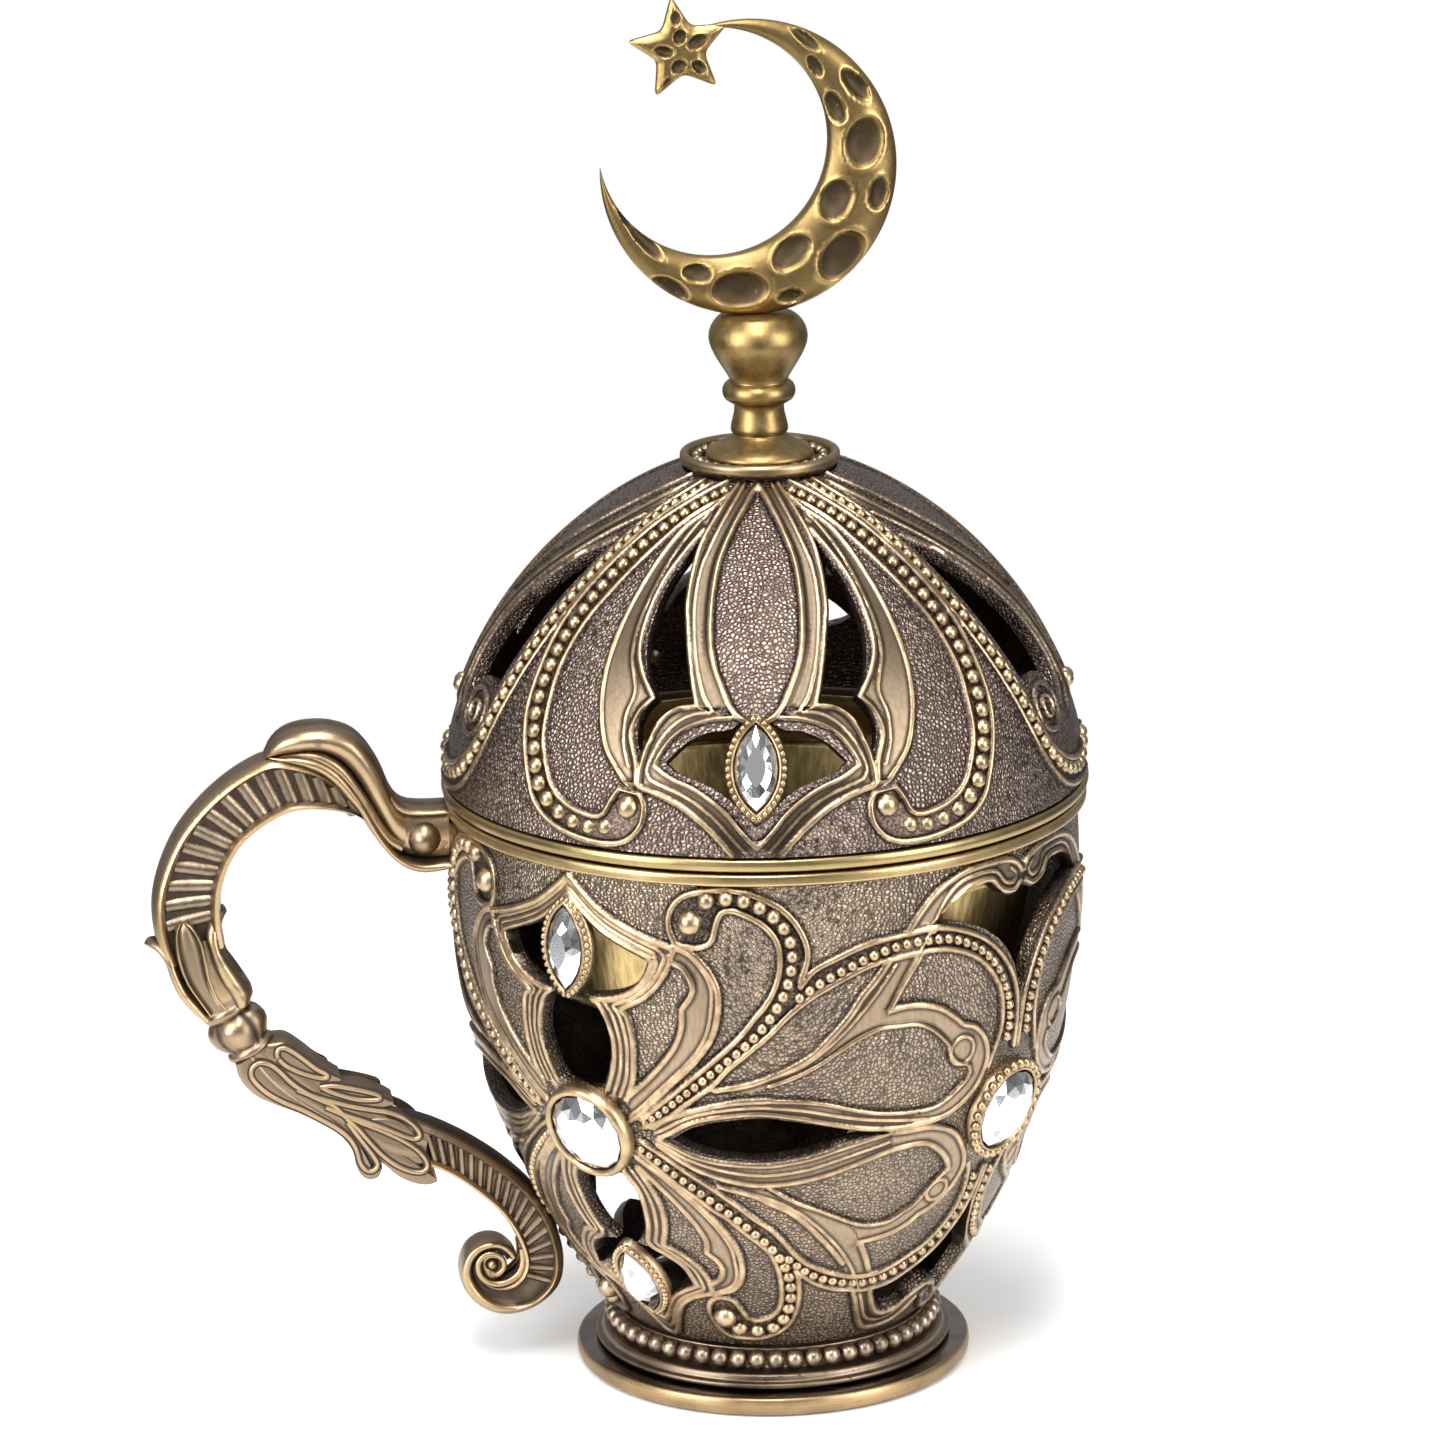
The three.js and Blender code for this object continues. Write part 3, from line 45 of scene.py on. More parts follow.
def spin(profile, sides):
    """A closed turned body, from [radius, height] in millimetres. The profile starts and ends on the axis, or is
    closed."""
    points = []
    faces = []
    rows = []
    for radius, height in profile:
        if radius < 1e-6:
            rows.append([len(points)])
            points.append((0, 0, height * MM))
            continue
        rows.append(list(range(len(points), len(points) + sides)))
        for n in range(sides):
            turn = 2 * math.pi * n / sides
            points.append((radius * math.cos(turn) * MM, radius * math.sin(turn) * MM, height * MM))
    pairs = list(zip(rows, rows[1:]))
    if len(rows[0]) > 1 or len(rows[-1]) > 1:
        pairs.append((rows[-1], rows[0]))
    for low, high in pairs:
        if len(low) == 1 and len(high) == 1:
            continue
        for n in range(sides):
            m = (n + 1) % sides
            if len(low) == 1:
                faces.append((low[0], high[m], high[n]))
            elif len(high) == 1:
                faces.append((low[n], low[m], high[0]))
            else:
                faces.append((low[n], low[m], high[m], high[n]))
    return points, faces


def rounded(profile, radii, steps=4):
    """The same profile with each corner given a radius; 0 keeps it sharp."""
    made = []
    count = len(profile)
    for n, (point, radius) in enumerate(zip(profile, radii)):
        if not radius or n in (0, count - 1) and profile[0][0] < 1e-6:
            made.append(point)
            continue
        here = Vector(point)
        back = Vector(profile[n - 1]) - here
        ahead = Vector(profile[(n + 1) % count]) - here
        first = here + back.normalized() * min(radius, back.length / 2)
        last = here + ahead.normalized() * min(radius, ahead.length / 2)
        for step in range(steps + 1):
            share = step / steps
            made.append(tuple(first * (1 - share) ** 2 + here * (2 * share * (1 - share)) + last * share ** 2))
    return made


def soften(mesh, sharp):
    """Smooth faces, with a sharp edge wherever two of them meet at more than an angle in degrees."""
    mesh.shade_smooth()
    mesh.set_sharp_from_angle(angle=math.radians(sharp))


def set_out(name, mesh, body, replaces=()):
    """A finished mesh becomes a piece that rides on a body."""
    piece = bpy.data.objects.new(name, mesh)
    bpy.context.scene.collection.objects.link(piece)
    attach(piece, body)
    for node in replaces:
        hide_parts(node)
    return piece


def add_piece(name, points, faces, material, body, slot, replaces=(), sharp=35):
    """One piece from points and faces, which are turned outward and softened."""
    mesh = bpy.data.meshes.new(name)
    mesh.from_pydata([tuple(p) for p in points], [], [tuple(int(v) for v in f) for f in faces])
    work = bmesh.new()
    work.from_mesh(mesh)
    bmesh.ops.remove_doubles(work, verts=work.verts, dist=2e-7)
    bmesh.ops.recalc_face_normals(work, faces=work.faces)
    work.to_mesh(mesh)
    work.free()
    soften(mesh, sharp)
    mesh.materials.append(material)
    return set_out(name, mesh, body, replaces)


class Shader:
    """A node material under construction, with short calls for the nodes that the burner's finishes use."""

    def __init__(self, name, metallic, roughness):
        self.material = bpy.data.materials.new(name)
        self.material.use_nodes = True
        self.nodes = self.material.node_tree.nodes
        self.links = self.material.node_tree.links
        self.surface = self.nodes["Principled BSDF"]
        self.surface.inputs["Metallic"].default_value = metallic
        self.surface.inputs["Roughness"].default_value = roughness
        self.place = self.nodes.new("ShaderNodeTexCoord").outputs["Object"]

    def put(self, value, socket):
        if isinstance(value, bpy.types.NodeSocket):
            self.links.new(value, socket)
        elif socket.type == "RGBA":
            socket.default_value = (*value[:3], 1)
        else:
            socket.default_value = value

    def attribute(self, name):
        node = self.nodes.new("ShaderNodeAttribute")
        node.attribute_name = name
        return node.outputs["Fac"]

    def noise(self, size_mm, detail=3.0, roughness=0.55, stretch=None):
        node = self.nodes.new("ShaderNodeTexNoise")
        node.inputs["Scale"].default_value = 1 / (size_mm * MM)
        node.inputs["Detail"].default_value = detail
        node.inputs["Roughness"].default_value = roughness
        place = self.place
        if stretch:
            mapping = self.nodes.new("ShaderNodeMapping")
            mapping.inputs["Scale"].default_value = stretch
            self.links.new(self.place, mapping.inputs["Vector"])
            place = mapping.outputs["Vector"]
        self.links.new(place, node.inputs["Vector"])
        return node.outputs["Fac"]

    def pebbles(self, size_mm, feature):
        node = self.nodes.new("ShaderNodeTexVoronoi")
        node.feature = feature
        node.inputs["Scale"].default_value = 1 / (size_mm * MM)
        node.inputs["Randomness"].default_value = 0.85
        self.links.new(self.place, node.inputs["Vector"])
        return node.outputs["Distance"]

    def math(self, kind, a, b, c=0.0):
        node = self.nodes.new("ShaderNodeMath")
        node.operation = kind
        for value, socket in zip((a, b, c), node.inputs):
            self.put(value, socket)
        return node.outputs["Value"]

    def times(self, a, b):
        return self.math("MULTIPLY", a, b)

    def scaled(self, value, by, plus):
        return self.math("MULTIPLY_ADD", value, by, plus)

    def ramp(self, value, low, high, out_low=0.0, out_high=1.0):
        node = self.nodes.new("ShaderNodeMapRange")
        node.interpolation_type = "SMOOTHSTEP"
        for key, number in zip(("From Min", "From Max", "To Min", "To Max"), (low, high, out_low, out_high)):
            node.inputs[key].default_value = number
        self.put(value, node.inputs["Value"])
        return node.outputs["Result"]

    def mix(self, share, first, second):
        node = self.nodes.new("ShaderNodeMix")
        node.data_type = "RGBA"
        for value, key in ((share, "Factor_Float"), (first, "A_Color"), (second, "B_Color")):
            self.put(value, next(socket for socket in node.inputs if socket.identifier == key))
        return next(socket for socket in node.outputs if socket.identifier == "Result_Color")

    def bump(self, height, depth_mm):
        node = self.nodes.new("ShaderNodeBump")
        node.inputs["Strength"].default_value = 1.0
        node.inputs["Distance"].default_value = depth_mm * MM
        self.put(height, node.inputs["Height"])
        return node.outputs["Normal"]

    def finish(self, colour=None, roughness=None, normal=None):
        for value, key in ((colour, "Base Color"), (roughness, "Roughness"), (normal, "Normal")):
            if value is not None:
                self.put(value, self.surface.inputs[key])
        return self.material


def turned_metal(name, bright, dark, roughness, rings=True, wear=0.5):
    """Lathe-turned or spun metal: fine rings round the axis, cloudy plate and darker, rougher patches."""
    shader = Shader(name, 1.0, roughness)
    line = shader.noise(2.2, 4, 0.6, stretch=(0.04, 0.04, 6) if rings else (1.2, 1.2, 1.2))
    cloud = shader.noise(11, 4, 0.6)
    speck = shader.noise(0.9, 2, 0.7)
    tone = shader.scaled(cloud, 0.7, shader.times(line, 0.5))
    worn = shader.ramp(tone, 0.35, 0.85)
    colour = shader.mix(worn, dark, bright)
    spots = shader.times(shader.ramp(speck, 0.62, 0.74), wear)
    colour = shader.mix(spots, colour, [value * 0.45 for value in dark])
    rough = shader.scaled(shader.math("ADD", line, cloud), 0.16, roughness - 0.14)
    height = shader.math("ADD", shader.times(line, 0.6), shader.times(speck, 0.4))
    return shader.finish(colour, rough, shader.bump(height, 0.05))


turned_sides = 160
disc_radius = 29.9
disc_thickness = 3.2
boss_radius = 6.4
boss_top = 7.7
disc_profile = rounded(
    [(0, 0.05), (disc_radius - 1.2, 0.05), (disc_radius, 0.9), (disc_radius, disc_thickness),
     (disc_radius - 1.3, disc_thickness), (boss_radius, disc_thickness), (boss_radius, boss_top), (0, boss_top)],
    [0, 0.8, 0.9, 1.2, 0.5, 0.3, 0.4, 0],
)
disc_metal = turned_metal("foot_edge_brass", (0.41, 0.287, 0.148), (0.18, 0.126, 0.07), 0.36)
gloss = Shader("foot_dark_gloss", 1.0, 0.16)
gloss_cloud = gloss.noise(9, 5, 0.6)
gloss_scratch = gloss.noise(3, 3, 0.6, stretch=(0.5, 3, 1))
gloss_colour = gloss.mix(gloss.ramp(gloss_cloud, 0.3, 0.75), (0.11, 0.087, 0.073), (0.26, 0.215, 0.183))
foot_gloss = gloss.finish(
    gloss_colour,
    gloss.ramp(gloss_scratch, 0.3, 0.8, 0.14, 0.3),
    gloss.bump(gloss_scratch, 0.02),
)
disc = add_piece(
    "foot_disc_turned", *spin(disc_profile, turned_sides), disc_metal, "base", "dark_gloss",
    ["foot_disc"])
disc.data.materials.append(foot_gloss)
for face in disc.data.polygons:
    flat_up = face.normal.z > 0.9 and face.center.z > (disc_thickness - 0.4) * MM
    face.material_index = 1 if flat_up else 0

# Collar: a cast ring of stepped mouldings under a row of 54 round beads, dark between them and
# rubbed bright on top. It is cast with its beads and is clamped between the disc and the cup.
collar_profile = rounded(
    [(7, 3.5), (26.6, 3.5), (26.95, 3.75), (26.95, 4.35), (26.1, 4.5), (25.9, 5.5), (24.9, 5.6), (23.7, 5.8),
     (23.3, 7.4), (23.9, 8.95), (7, 8.95)],
    [0, 0.2, 0.3, 0.3, 0.2, 0.4, 0.2, 0.5, 0.8, 0.3, 0],
)


def cast_bead_metal(name, bright, mid, dark):
    """Antiqued beads and crests: bright where they are rubbed, black where the patina stays in the pits."""
    shader = Shader(name, 1.0, 0.36)
    cloud = shader.noise(3.2, 4, 0.65)
    grain = shader.noise(0.5, 3, 0.7)
    colour = shader.mix(shader.ramp(cloud, 0.32, 0.68), mid, bright)
    colour = shader.mix(shader.ramp(grain, 0.66, 0.8), colour, dark)
    rough = shader.scaled(grain, 0.3, 0.2)
    return shader.finish(colour, rough, shader.bump(grain, 0.05))


collar_metal = turned_metal("collar_bronze", (0.27, 0.2, 0.14), (0.07, 0.053, 0.042), 0.36, wear=0.8)
bead_metal = cast_bead_metal("bead_bronze", (0.36, 0.28, 0.2), (0.15, 0.118, 0.09), (0.04, 0.03, 0.024))
add_piece(
    "collar_cast", *spin(collar_profile, turned_sides), collar_metal, "base", "cast_bronze",
    ["foot_collar"], sharp=50)


def tree_on_points(name, shape, fixed, counts, carried):
    """Geometry nodes: one shape on every point of a mesh, sized and turned by the values that the points carry."""
    tree = bpy.data.node_groups.new(name, "GeometryNodeTree")
    new, link = tree.nodes.new, tree.links.new
    for key, kind in [("Geometry", "Geometry"), *((key, "Int") for key in counts), ("Metal", "Material")]:
        tree.interface.new_socket(key, in_out="INPUT", socket_type="NodeSocket" + kind)
    tree.interface.new_socket("Geometry", in_out="OUTPUT", socket_type="NodeSocketGeometry")
    given = new("NodeGroupInput")
    made = new(shape)
    for socket, value in fixed.items():
        made.inputs[socket].default_value = value
    for key, socket in counts.items():
        link(given.outputs[key], made.inputs[socket])
    spread = new("GeometryNodeInstanceOnPoints")
    link(given.outputs["Geometry"], spread.inputs["Points"])
    link(made.outputs["Mesh"], spread.inputs["Instance"])
    for key, (kind, socket) in carried.items():
        held = new("GeometryNodeInputNamedAttribute")
        held.data_type = kind
        held.inputs["Name"].default_value = key
        link(held.outputs[0], spread.inputs[socket])
    passed = spread.outputs["Instances"]
    for kind in ("GeometryNodeRealizeInstances", "GeometryNodeSetShadeSmooth", "GeometryNodeSetMaterial"):
        step = new(kind)
        link(passed, step.inputs["Geometry"])
        passed = step.outputs["Geometry"]
    link(given.outputs["Metal"], step.inputs["Material"])
    link(passed, new("NodeGroupOutput").inputs["Geometry"])
    return tree


def grown_on_points(name, places, carried, tree, settings):
    """The plain mesh that a tree makes on places in metres, each of which carries its named values."""
    mesh = bpy.data.meshes.new(name)
    mesh.from_pydata([tuple(place) for place in places], [], [])
    for key, kind, field, values in carried:
        mesh.attributes.new(key, kind, "POINT").data.foreach_set(field, np.array(values, np.float32).ravel())
    holder = bpy.data.objects.new(name + "_points", mesh)
    bpy.context.scene.collection.objects.link(holder)
    modifier = holder.modifiers.new("grown", "NODES")
    modifier.node_group = tree
    given = {item.name: item.identifier for item in tree.interface.items_tree if item.in_out == "INPUT"}
    for key, value in settings.items():
        modifier[given[key]] = value
    bpy.context.view_layer.update()
    made = bpy.data.meshes.new_from_object(holder.evaluated_get(bpy.context.evaluated_depsgraph_get()))
    made.name = name
    bpy.data.objects.remove(holder)
    return made


beads_on_points = tree_on_points(
    "beads_on_points", "GeometryNodeMeshUVSphere", {"Radius": 1.0}, {"Sides": "Segments", "Rows": "Rings"},
    {"bead_size": ("FLOAT", "Scale")},
)


def bead_row(name, places, sizes, metal, body, slot, sides=10, rows=6):
    """Cast beads as one mesh: a bead at each place, in metres, with its radius."""
    carried = [("bead_size", "FLOAT", "value", sizes)]
    settings = {"Sides": sides, "Rows": rows, "Metal": metal}
    return set_out(name, grown_on_points(name, places, carried, beads_on_points, settings), body)


def ring_of_places(circle, height, count, shift):
    """Even places round a circle, in metres; the shift is a share of the pitch."""
    turns = [2 * math.pi * (n + shift) / count for n in range(count)]
    return [(circle * math.cos(t) * MM, circle * math.sin(t) * MM, height * MM) for t in turns]


bead_count = 54
bead_circle = 24.35
bead_height = 7.4
bead_radius = 1.42
bead_row(
    "collar_beads", ring_of_places(bead_circle, bead_height, bead_count, 0.5),
    [bead_radius * MM] * bead_count, bead_metal, "base", "cast_bronze")

# Cup: one bronze-plated zinc casting, pierced by windows, with raised ridges, bead rows and flat bands
# over a pebbled field. The motif is mirrored about each stone's axis, so a quarter of it is drawn, as
# [degrees from the stone axis, height in millimetres], and four copies make the cup.
cup_low, cup_high = 9.3, 87.7
belly_radius = 46.9
cup_foot_radius = 23.4
wall_thickness = 1.8
belly_share = 0.86
belly_fullness = 2.12
mouth_draw = 0.3


def cup_radius(height):
    """Radius of the cup's field at a height: full at the belly, drawn in to the foot and a little to the mouth."""
    share = (np.asarray(height, float) - cup_low) / (cup_high - cup_low)
    below = np.clip(belly_share - share, 0, None) / belly_share
    above = np.clip(share - belly_share, 0, None) / (1 - belly_share)
    return belly_radius - (belly_radius - cup_foot_radius) * below ** belly_fullness - mouth_draw * above ** 2


class CupSkin:
    """The cup's field as a surface: (degrees, height) to a point, with the outward direction."""

    low, high = cup_low, cup_high

    @staticmethod
    def across(height):
        return cup_radius(height) * math.pi / 180

    @staticmethod
    def meridian(height):
        height = np.clip(height, cup_low, cup_high)
        step = 0.2
        radius = cup_radius(height)
        ahead = np.clip(height + step, cup_low, cup_high)
        behind = np.clip(height - step, cup_low, cup_high)
        run = cup_radius(ahead) - cup_radius(behind)
        rise = ahead - behind
        length = np.hypot(run, rise)
        return radius, height, rise / length, -run / length


widest_radius = 48.3


def on_skin(skin, turn, along, raised, room=0.0):
    """Points in metres, for arrays of turns in degrees from the front, places along the wall and heights above it.
    They keep some room inside the widest radius, so that nothing stands out past the rings."""
    radius, height, out_round, out_up = skin.meridian(np.asarray(along, float))
    radius = np.minimum(radius + out_round * raised, widest_radius - room)
    height = height + out_up * raised
    angle = np.radians(turn)
    return np.stack([radius * np.sin(angle), -radius * np.cos(angle), height], -1) * MM


def cubic(a, b, c, d, t):
    """The smooth line from b to c, at a share t of the way."""
    return (2 * b + (c - a) * t + (2 * a - 5 * b + 4 * c - d) * t ** 2 + (3 * b - a - 3 * c + d) * t ** 3) / 2


def with_ends(rows):
    """The rows with one more at each end, straight on from the last two."""
    return np.vstack([2 * rows[0] - rows[1], rows, 2 * rows[-1] - rows[-2]])


def smooth(points, skin, step):
    """A smooth line through given points, as closely spaced points; a None between runs makes a corner."""
    runs = [[]]
    for point in points:
        if point is None:
            runs.append([runs[-1][-1]])
        else:
            runs[-1].append(point)
    made = []
    for run in runs:
        line = np.array(run, float)
        if len(line) < 2:
            continue
        padded = with_ends(line)
        for n in range(len(line) - 1):
            a, b, c, d = padded[n:n + 4]
            scale = skin.across((b[1] + c[1]) / 2)
            count = max(1, int(round(math.hypot((c[0] - b[0]) * scale, c[1] - b[1]) / step)))
            made.append(cubic(a, b, c, d, (np.arange(count) / count)[:, None]))
    made.append(np.array(runs[-1][-1:], float))
    return np.vstack(made)


def beside(line, skin, offset):
    """The line moved sideways by an offset in millimetres, to the left of its direction when positive."""
    scale = skin.across(line[:, 1])
    step = np.gradient(line, axis=0)
    flat = np.stack([step[:, 0] * scale, step[:, 1]], -1)
    length = np.maximum(np.hypot(flat[:, 0], flat[:, 1]), 1e-9)
    normal = np.stack([-flat[:, 1] / length, flat[:, 0] / length], -1)
    return line + np.stack([normal[:, 0] * offset / scale, normal[:, 1] * offset], -1)


def lengths_along(line):
    """Length of a line up to each of its points."""
    return np.concatenate([[0], np.cumsum(np.hypot(*np.diff(line, axis=0).T))])


def midway(first, second, share=0.5, count=60):
    """A line between two others, at a share of the way."""
    def resampled(line):
        length = lengths_along(line)
        at = np.linspace(0, length[-1], count)
        return np.stack([np.interp(at, length, line[:, 0]), np.interp(at, length, line[:, 1])], -1)
    return resampled(first) * (1 - share) + resampled(second) * share


def inside(points, outline):
    """Which points lie in a closed outline."""
    x, y = points[:, 0][:, None], points[:, 1][:, None]
    x1, y1 = outline[:, 0], outline[:, 1]
    x2, y2 = np.roll(x1, -1), np.roll(y1, -1)
    crosses = (y1 > y) != (y2 > y)
    at = x1 + (y - y1) * (x2 - x1) / np.where(np.abs(y2 - y1) < 1e-12, 1e-12, y2 - y1)
    return (np.count_nonzero(crosses & (x < at), axis=1) % 2) == 1


def in_any(points, outlines):
    """Which points lie in one or another of several outlines."""
    found = np.zeros(len(points), bool)
    for outline in outlines:
        found |= inside(points, outline)
    return found


def distance_to(points, line, skin, reach):
    """Distance in millimetres from each point to a line, or a large number beyond the reach. The points are taken
    in parts, so that no table of all distances has to be held at once."""
    points_at_once = 800
    far = np.full(len(points), 99.0)
    scale_low = skin.across(points[:, 1])
    near = (
        (points[:, 0] > line[:, 0].min() - reach / scale_low) & (points[:, 0] < line[:, 0].max() + reach / scale_low)
        & (points[:, 1] > line[:, 1].min() - reach) & (points[:, 1] < line[:, 1].max() + reach)
    )
    chosen = np.nonzero(near)[0]
    for part in np.array_split(chosen, max(1, len(chosen) // points_at_once)):
        if not len(part):
            continue
        scale = scale_low[part][:, None]
        px, py = points[part, 0][:, None] * scale, points[part, 1][:, None]
        ax, ay = line[:-1, 0] * scale, line[:-1, 1][None, :]
        bx, by = line[1:, 0] * scale, line[1:, 1][None, :]
        dx, dy = bx - ax, by - ay
        along = np.clip(((px - ax) * dx + (py - ay) * dy) / np.maximum(dx * dx + dy * dy, 1e-12), 0, 1)
        far[part] = np.hypot(px - ax - along * dx, py - ay - along * dy).min(1)
    return far


corner_reach = 0.55


class Carving:
    """What is carved on a quarter of a casting: ridges, flat bands and sunk channels, and the windows through it."""

    def __init__(self, skin, lift=0.0):
        """The lift is what a listed point's second number lacks in the wall's own measure."""
        self.skin = skin
        self.lift = lift
        self.ridges, self.bands, self.channels, self.windows = [], [], [], []

    def line(self, points, step=0.8):
        """The smooth line through listed points; one that is made already stays as it is."""
        if isinstance(points, np.ndarray):
            return points
        return smooth([point and (point[0], point[1] + self.lift) for point in points], self.skin, step)

    def ridge(self, points, width=1.25, height=0.62):
        line = self.line(points)
        self.ridges.append((line, width, height))
        return line

    def between(self, first, second):
        return np.vstack([self.line(first), self.line(second)[::-1]])

    def band(self, first, second, height=0.3):
        self.bands.append((self.between(first, second), height))

    def channel(self, first, second):
        self.channels.append(self.between(first, second))

    def window(self, points):
        self.windows.append(self.line(points, 0.6))

    def relief(self, points):
        """Height of the carving, how much of a ridge, band or channel each point is, and how near a ridge's foot,
        where the metal paints the field dark as painted shade and patina.
        """
        height, crest, flat, sunk, corner = np.zeros((5, len(points)))
        for outline, raised in self.bands:
            held = inside(points, outline)
            height[held] = np.maximum(height[held], raised)
            flat[held] = 1
        for outline in self.channels:
            sunk[inside(points, outline)] = 1
        for line, width, raised in self.ridges:
            half = width / 2
            away = distance_to(points, line, self.skin, half + corner_reach)
            share = np.clip(1 - (away / half) ** 2, 0, 1)
            height = np.maximum(height, raised * np.sqrt(share))
            crest = np.maximum(crest, share)
            corner = np.maximum(corner, np.clip(1 - (away - half) / corner_reach, 0, 1))
        return height, crest, flat, sunk, corner


def clip_window(line, span):
    """A window's outline as a closed loop within the quarter; an outline that reaches a side is closed along it."""
    loop = line.copy()
    loop[:, 0] = np.clip(loop[:, 0], 0, span)
    return loop


def relief_body(name, carving, copies, material, body, replaces):
    """The whole casting from its quarter: an outer sheet fine enough for the carving, a plain inner sheet, and
    edges between them. Copies are (axis, side) pairs, in degrees from the front."""
    skin = carving.skin
    span = 90.0
    grid, inner_step, side_step, end_step = 1.9, 3.2, 0.45, 1.2
    crease_aside, cell, window_room, end_room = 0.08, 0.13, 0.2, 0.25
    longest_crease, hair, weld, crease_angle = 1.6, 1e-3, 4e-6, 62
    mean = float(np.mean(skin.across(np.linspace(skin.low, skin.high, 20))))

    # Points scattered over the field, in staggered rows
    scatter = []
    for v in np.arange(skin.low, skin.high + 0.01, (skin.high - skin.low) / round((skin.high - skin.low) / grid)):
        count = max(4, int(round(span * float(skin.across(v)) / grid)))
        shift = 0.5 if int(round(v / grid)) % 2 else 0.0
        row = (np.arange(count) + shift) * span / count
        if not shift:
            row = row[1:]
        scatter.append(np.stack([row, np.full(len(row), v)], -1))

    # Lines along each ridge, its feet and each band's or channel's edge are creases; the rest only round it off
    ridges = carving.ridges
    creased = [beside(line, skin, width / 2 * share) for share in (1.02, -1.02) for line, width, _ in ridges]
    creased += [line for line, _, _ in ridges]
    edges = [line for line, _ in carving.bands]
    creased += [beside(line, skin, away) for away in (crease_aside, -crease_aside) for line in edges]
    creased += [beside(line, skin, away) for away in (crease_aside, -crease_aside) for line in carving.channels]
    rounding = [beside(line, skin, width / 2 * share) for share in (0.72, -0.72) for line, width, _ in ridges]
    rounding += [beside(line, skin, side * (width / 2 + corner_reach))
                 for side in (1, -1) for line, width, _ in ridges]
    placed = []
    seen = {}
    creases = []
    for line in creased + rounding:
        held = []
        for u, v in line:
            key = (round(u * mean / cell), round(v / cell))
            if key not in seen:
                seen[key] = len(placed)
                placed.append((u, v))
            held.append(seen[key])
        if len(creases) < len(creased):
            creases.append(held)
    field = np.vstack(scatter)
    for line, width, _ in ridges:
        field = field[distance_to(field, line, skin, width + 1) > width / 2 + corner_reach + 0.3]
    points = np.vstack([placed, field])

    # Points in a window, or too near to an edge, go
    margin = 0.3 / mean
    alive = (points[:, 0] > margin) & (points[:, 0] < span - margin)
    alive &= (points[:, 1] > skin.low + end_room) & (points[:, 1] < skin.high - end_room)
    loops = [clip_window(line, span) for line in carving.windows]
    closed = [np.vstack([loop, loop[:1]]) for loop in loops]
    for outline in closed:
        alive &= distance_to(points, outline, skin, 1.0) > window_room
    alive &= ~in_any(points, loops)
    steps = ((a, b) for held in creases for a, b in zip(held, held[1:]))
    pairs = {(min(a, b), max(a, b)) for a, b in steps if a != b and alive[a] and alive[b]}
    crease_chains = [points[[a, b]] for a, b in sorted(pairs) if abs(points[a, 1] - points[b, 1]) < longest_crease]
    points = points[alive]

    def triangulate(free, chains):
        coordinates = []
        edges = []
        index = {}

        def put(u, v):
            key = (round(float(u), 5), round(float(v), 5))
            if key not in index:
                index[key] = len(coordinates)
                coordinates.append(Vector((key[0] * mean, key[1])))
            return index[key]
        for chain in chains:
            held = [put(u, v) for u, v in chain]
            edges += [(a, b) for a, b in zip(held, held[1:]) if a != b]
        for u, v in free:
            put(u, v)
        made = geometry.delaunay_2d_cdt(coordinates, edges, [], 0, 1e-6, False)
        flat = np.array([(p.x / mean, p.y) for p in made[0]])
        return flat, np.array([f for f in made[2] if len(f) == 3])

    # The outer sheet, with its carving
    rise = np.linspace(skin.low, skin.high, int((skin.high - skin.low) / side_step))
    rim = np.linspace(0, span, int(span * mean / end_step))
    border = [np.stack([np.full(len(rise), side), rise], -1) for side in (0.0, span)]
    border += [np.stack([rim, np.full(len(rim), edge)], -1) for edge in (skin.low, skin.high)]
    flat, faces = triangulate(points, border + closed + crease_chains)
    faces = faces[~in_any(flat[faces].mean(1), loops)]
    height, crest, band, sunk, corner = carving.relief(flat)

    # Its open edges, apart from those on the quarter's two sides, get walls down to the inner sheet
    edge_count = {}
    for a, b, c in faces:
        for edge in ((a, b), (b, c), (c, a)):
            edge_count.setdefault((min(edge), max(edge)), []).append(edge)

    def on_side(n):
        return abs(flat[n, 0]) < hair or abs(flat[n, 0] - span) < hair

    def along_side(a, b):
        return on_side(a) and on_side(b) and abs(flat[a, 0] - flat[b, 0]) < hair
    walls = [held[0] for held in edge_count.values() if len(held) == 1 and not along_side(*held[0])]

    # The inner sheet: coarse, with the same open edges
    inner_free = []
    for v in np.arange(skin.low + inner_step, skin.high - inner_step / 2, inner_step):
        count = max(3, int(round(span * float(skin.across(v)) / inner_step)))
        inner_free += [(span * (n + 0.5) / count, v) for n in range(count)]
    inner_free = np.array(inner_free)
    for outline in closed:
        inner_free = inner_free[distance_to(inner_free, outline, skin, 3.0) > inner_step / 3]
    inner_free = inner_free[~in_any(inner_free, loops)]
    side_ends = [[], []]
    for a, b in walls:
        for n in (a, b):
            if on_side(n):
                side_ends[int(flat[n, 0] > span / 2)].append(float(flat[n, 1]))
    just_inside = (0.02, span - 0.02)
    for side, ends in enumerate(side_ends):
        marks = sorted(set(round(v, 5) for v in ends))
        for low, high in zip(marks, marks[1:]):
            if in_any(np.array([[just_inside[side], (low + high) / 2]]), loops)[0]:
                continue
            count = max(1, int(round((high - low) / inner_step)))
            added = [np.array([[span * side, low + (high - low) * k / count]]) for k in range(1, count)]
            inner_free = np.vstack([inner_free] + added)
    inner_flat, inner_faces = triangulate(inner_free, [flat[list(edge)] for edge in walls])
    inner_faces = inner_faces[~in_any(inner_flat[inner_faces].mean(1), loops)]
    inner_of = {(round(u, 3), round(v, 3)): n for n, (u, v) in enumerate(inner_flat)}

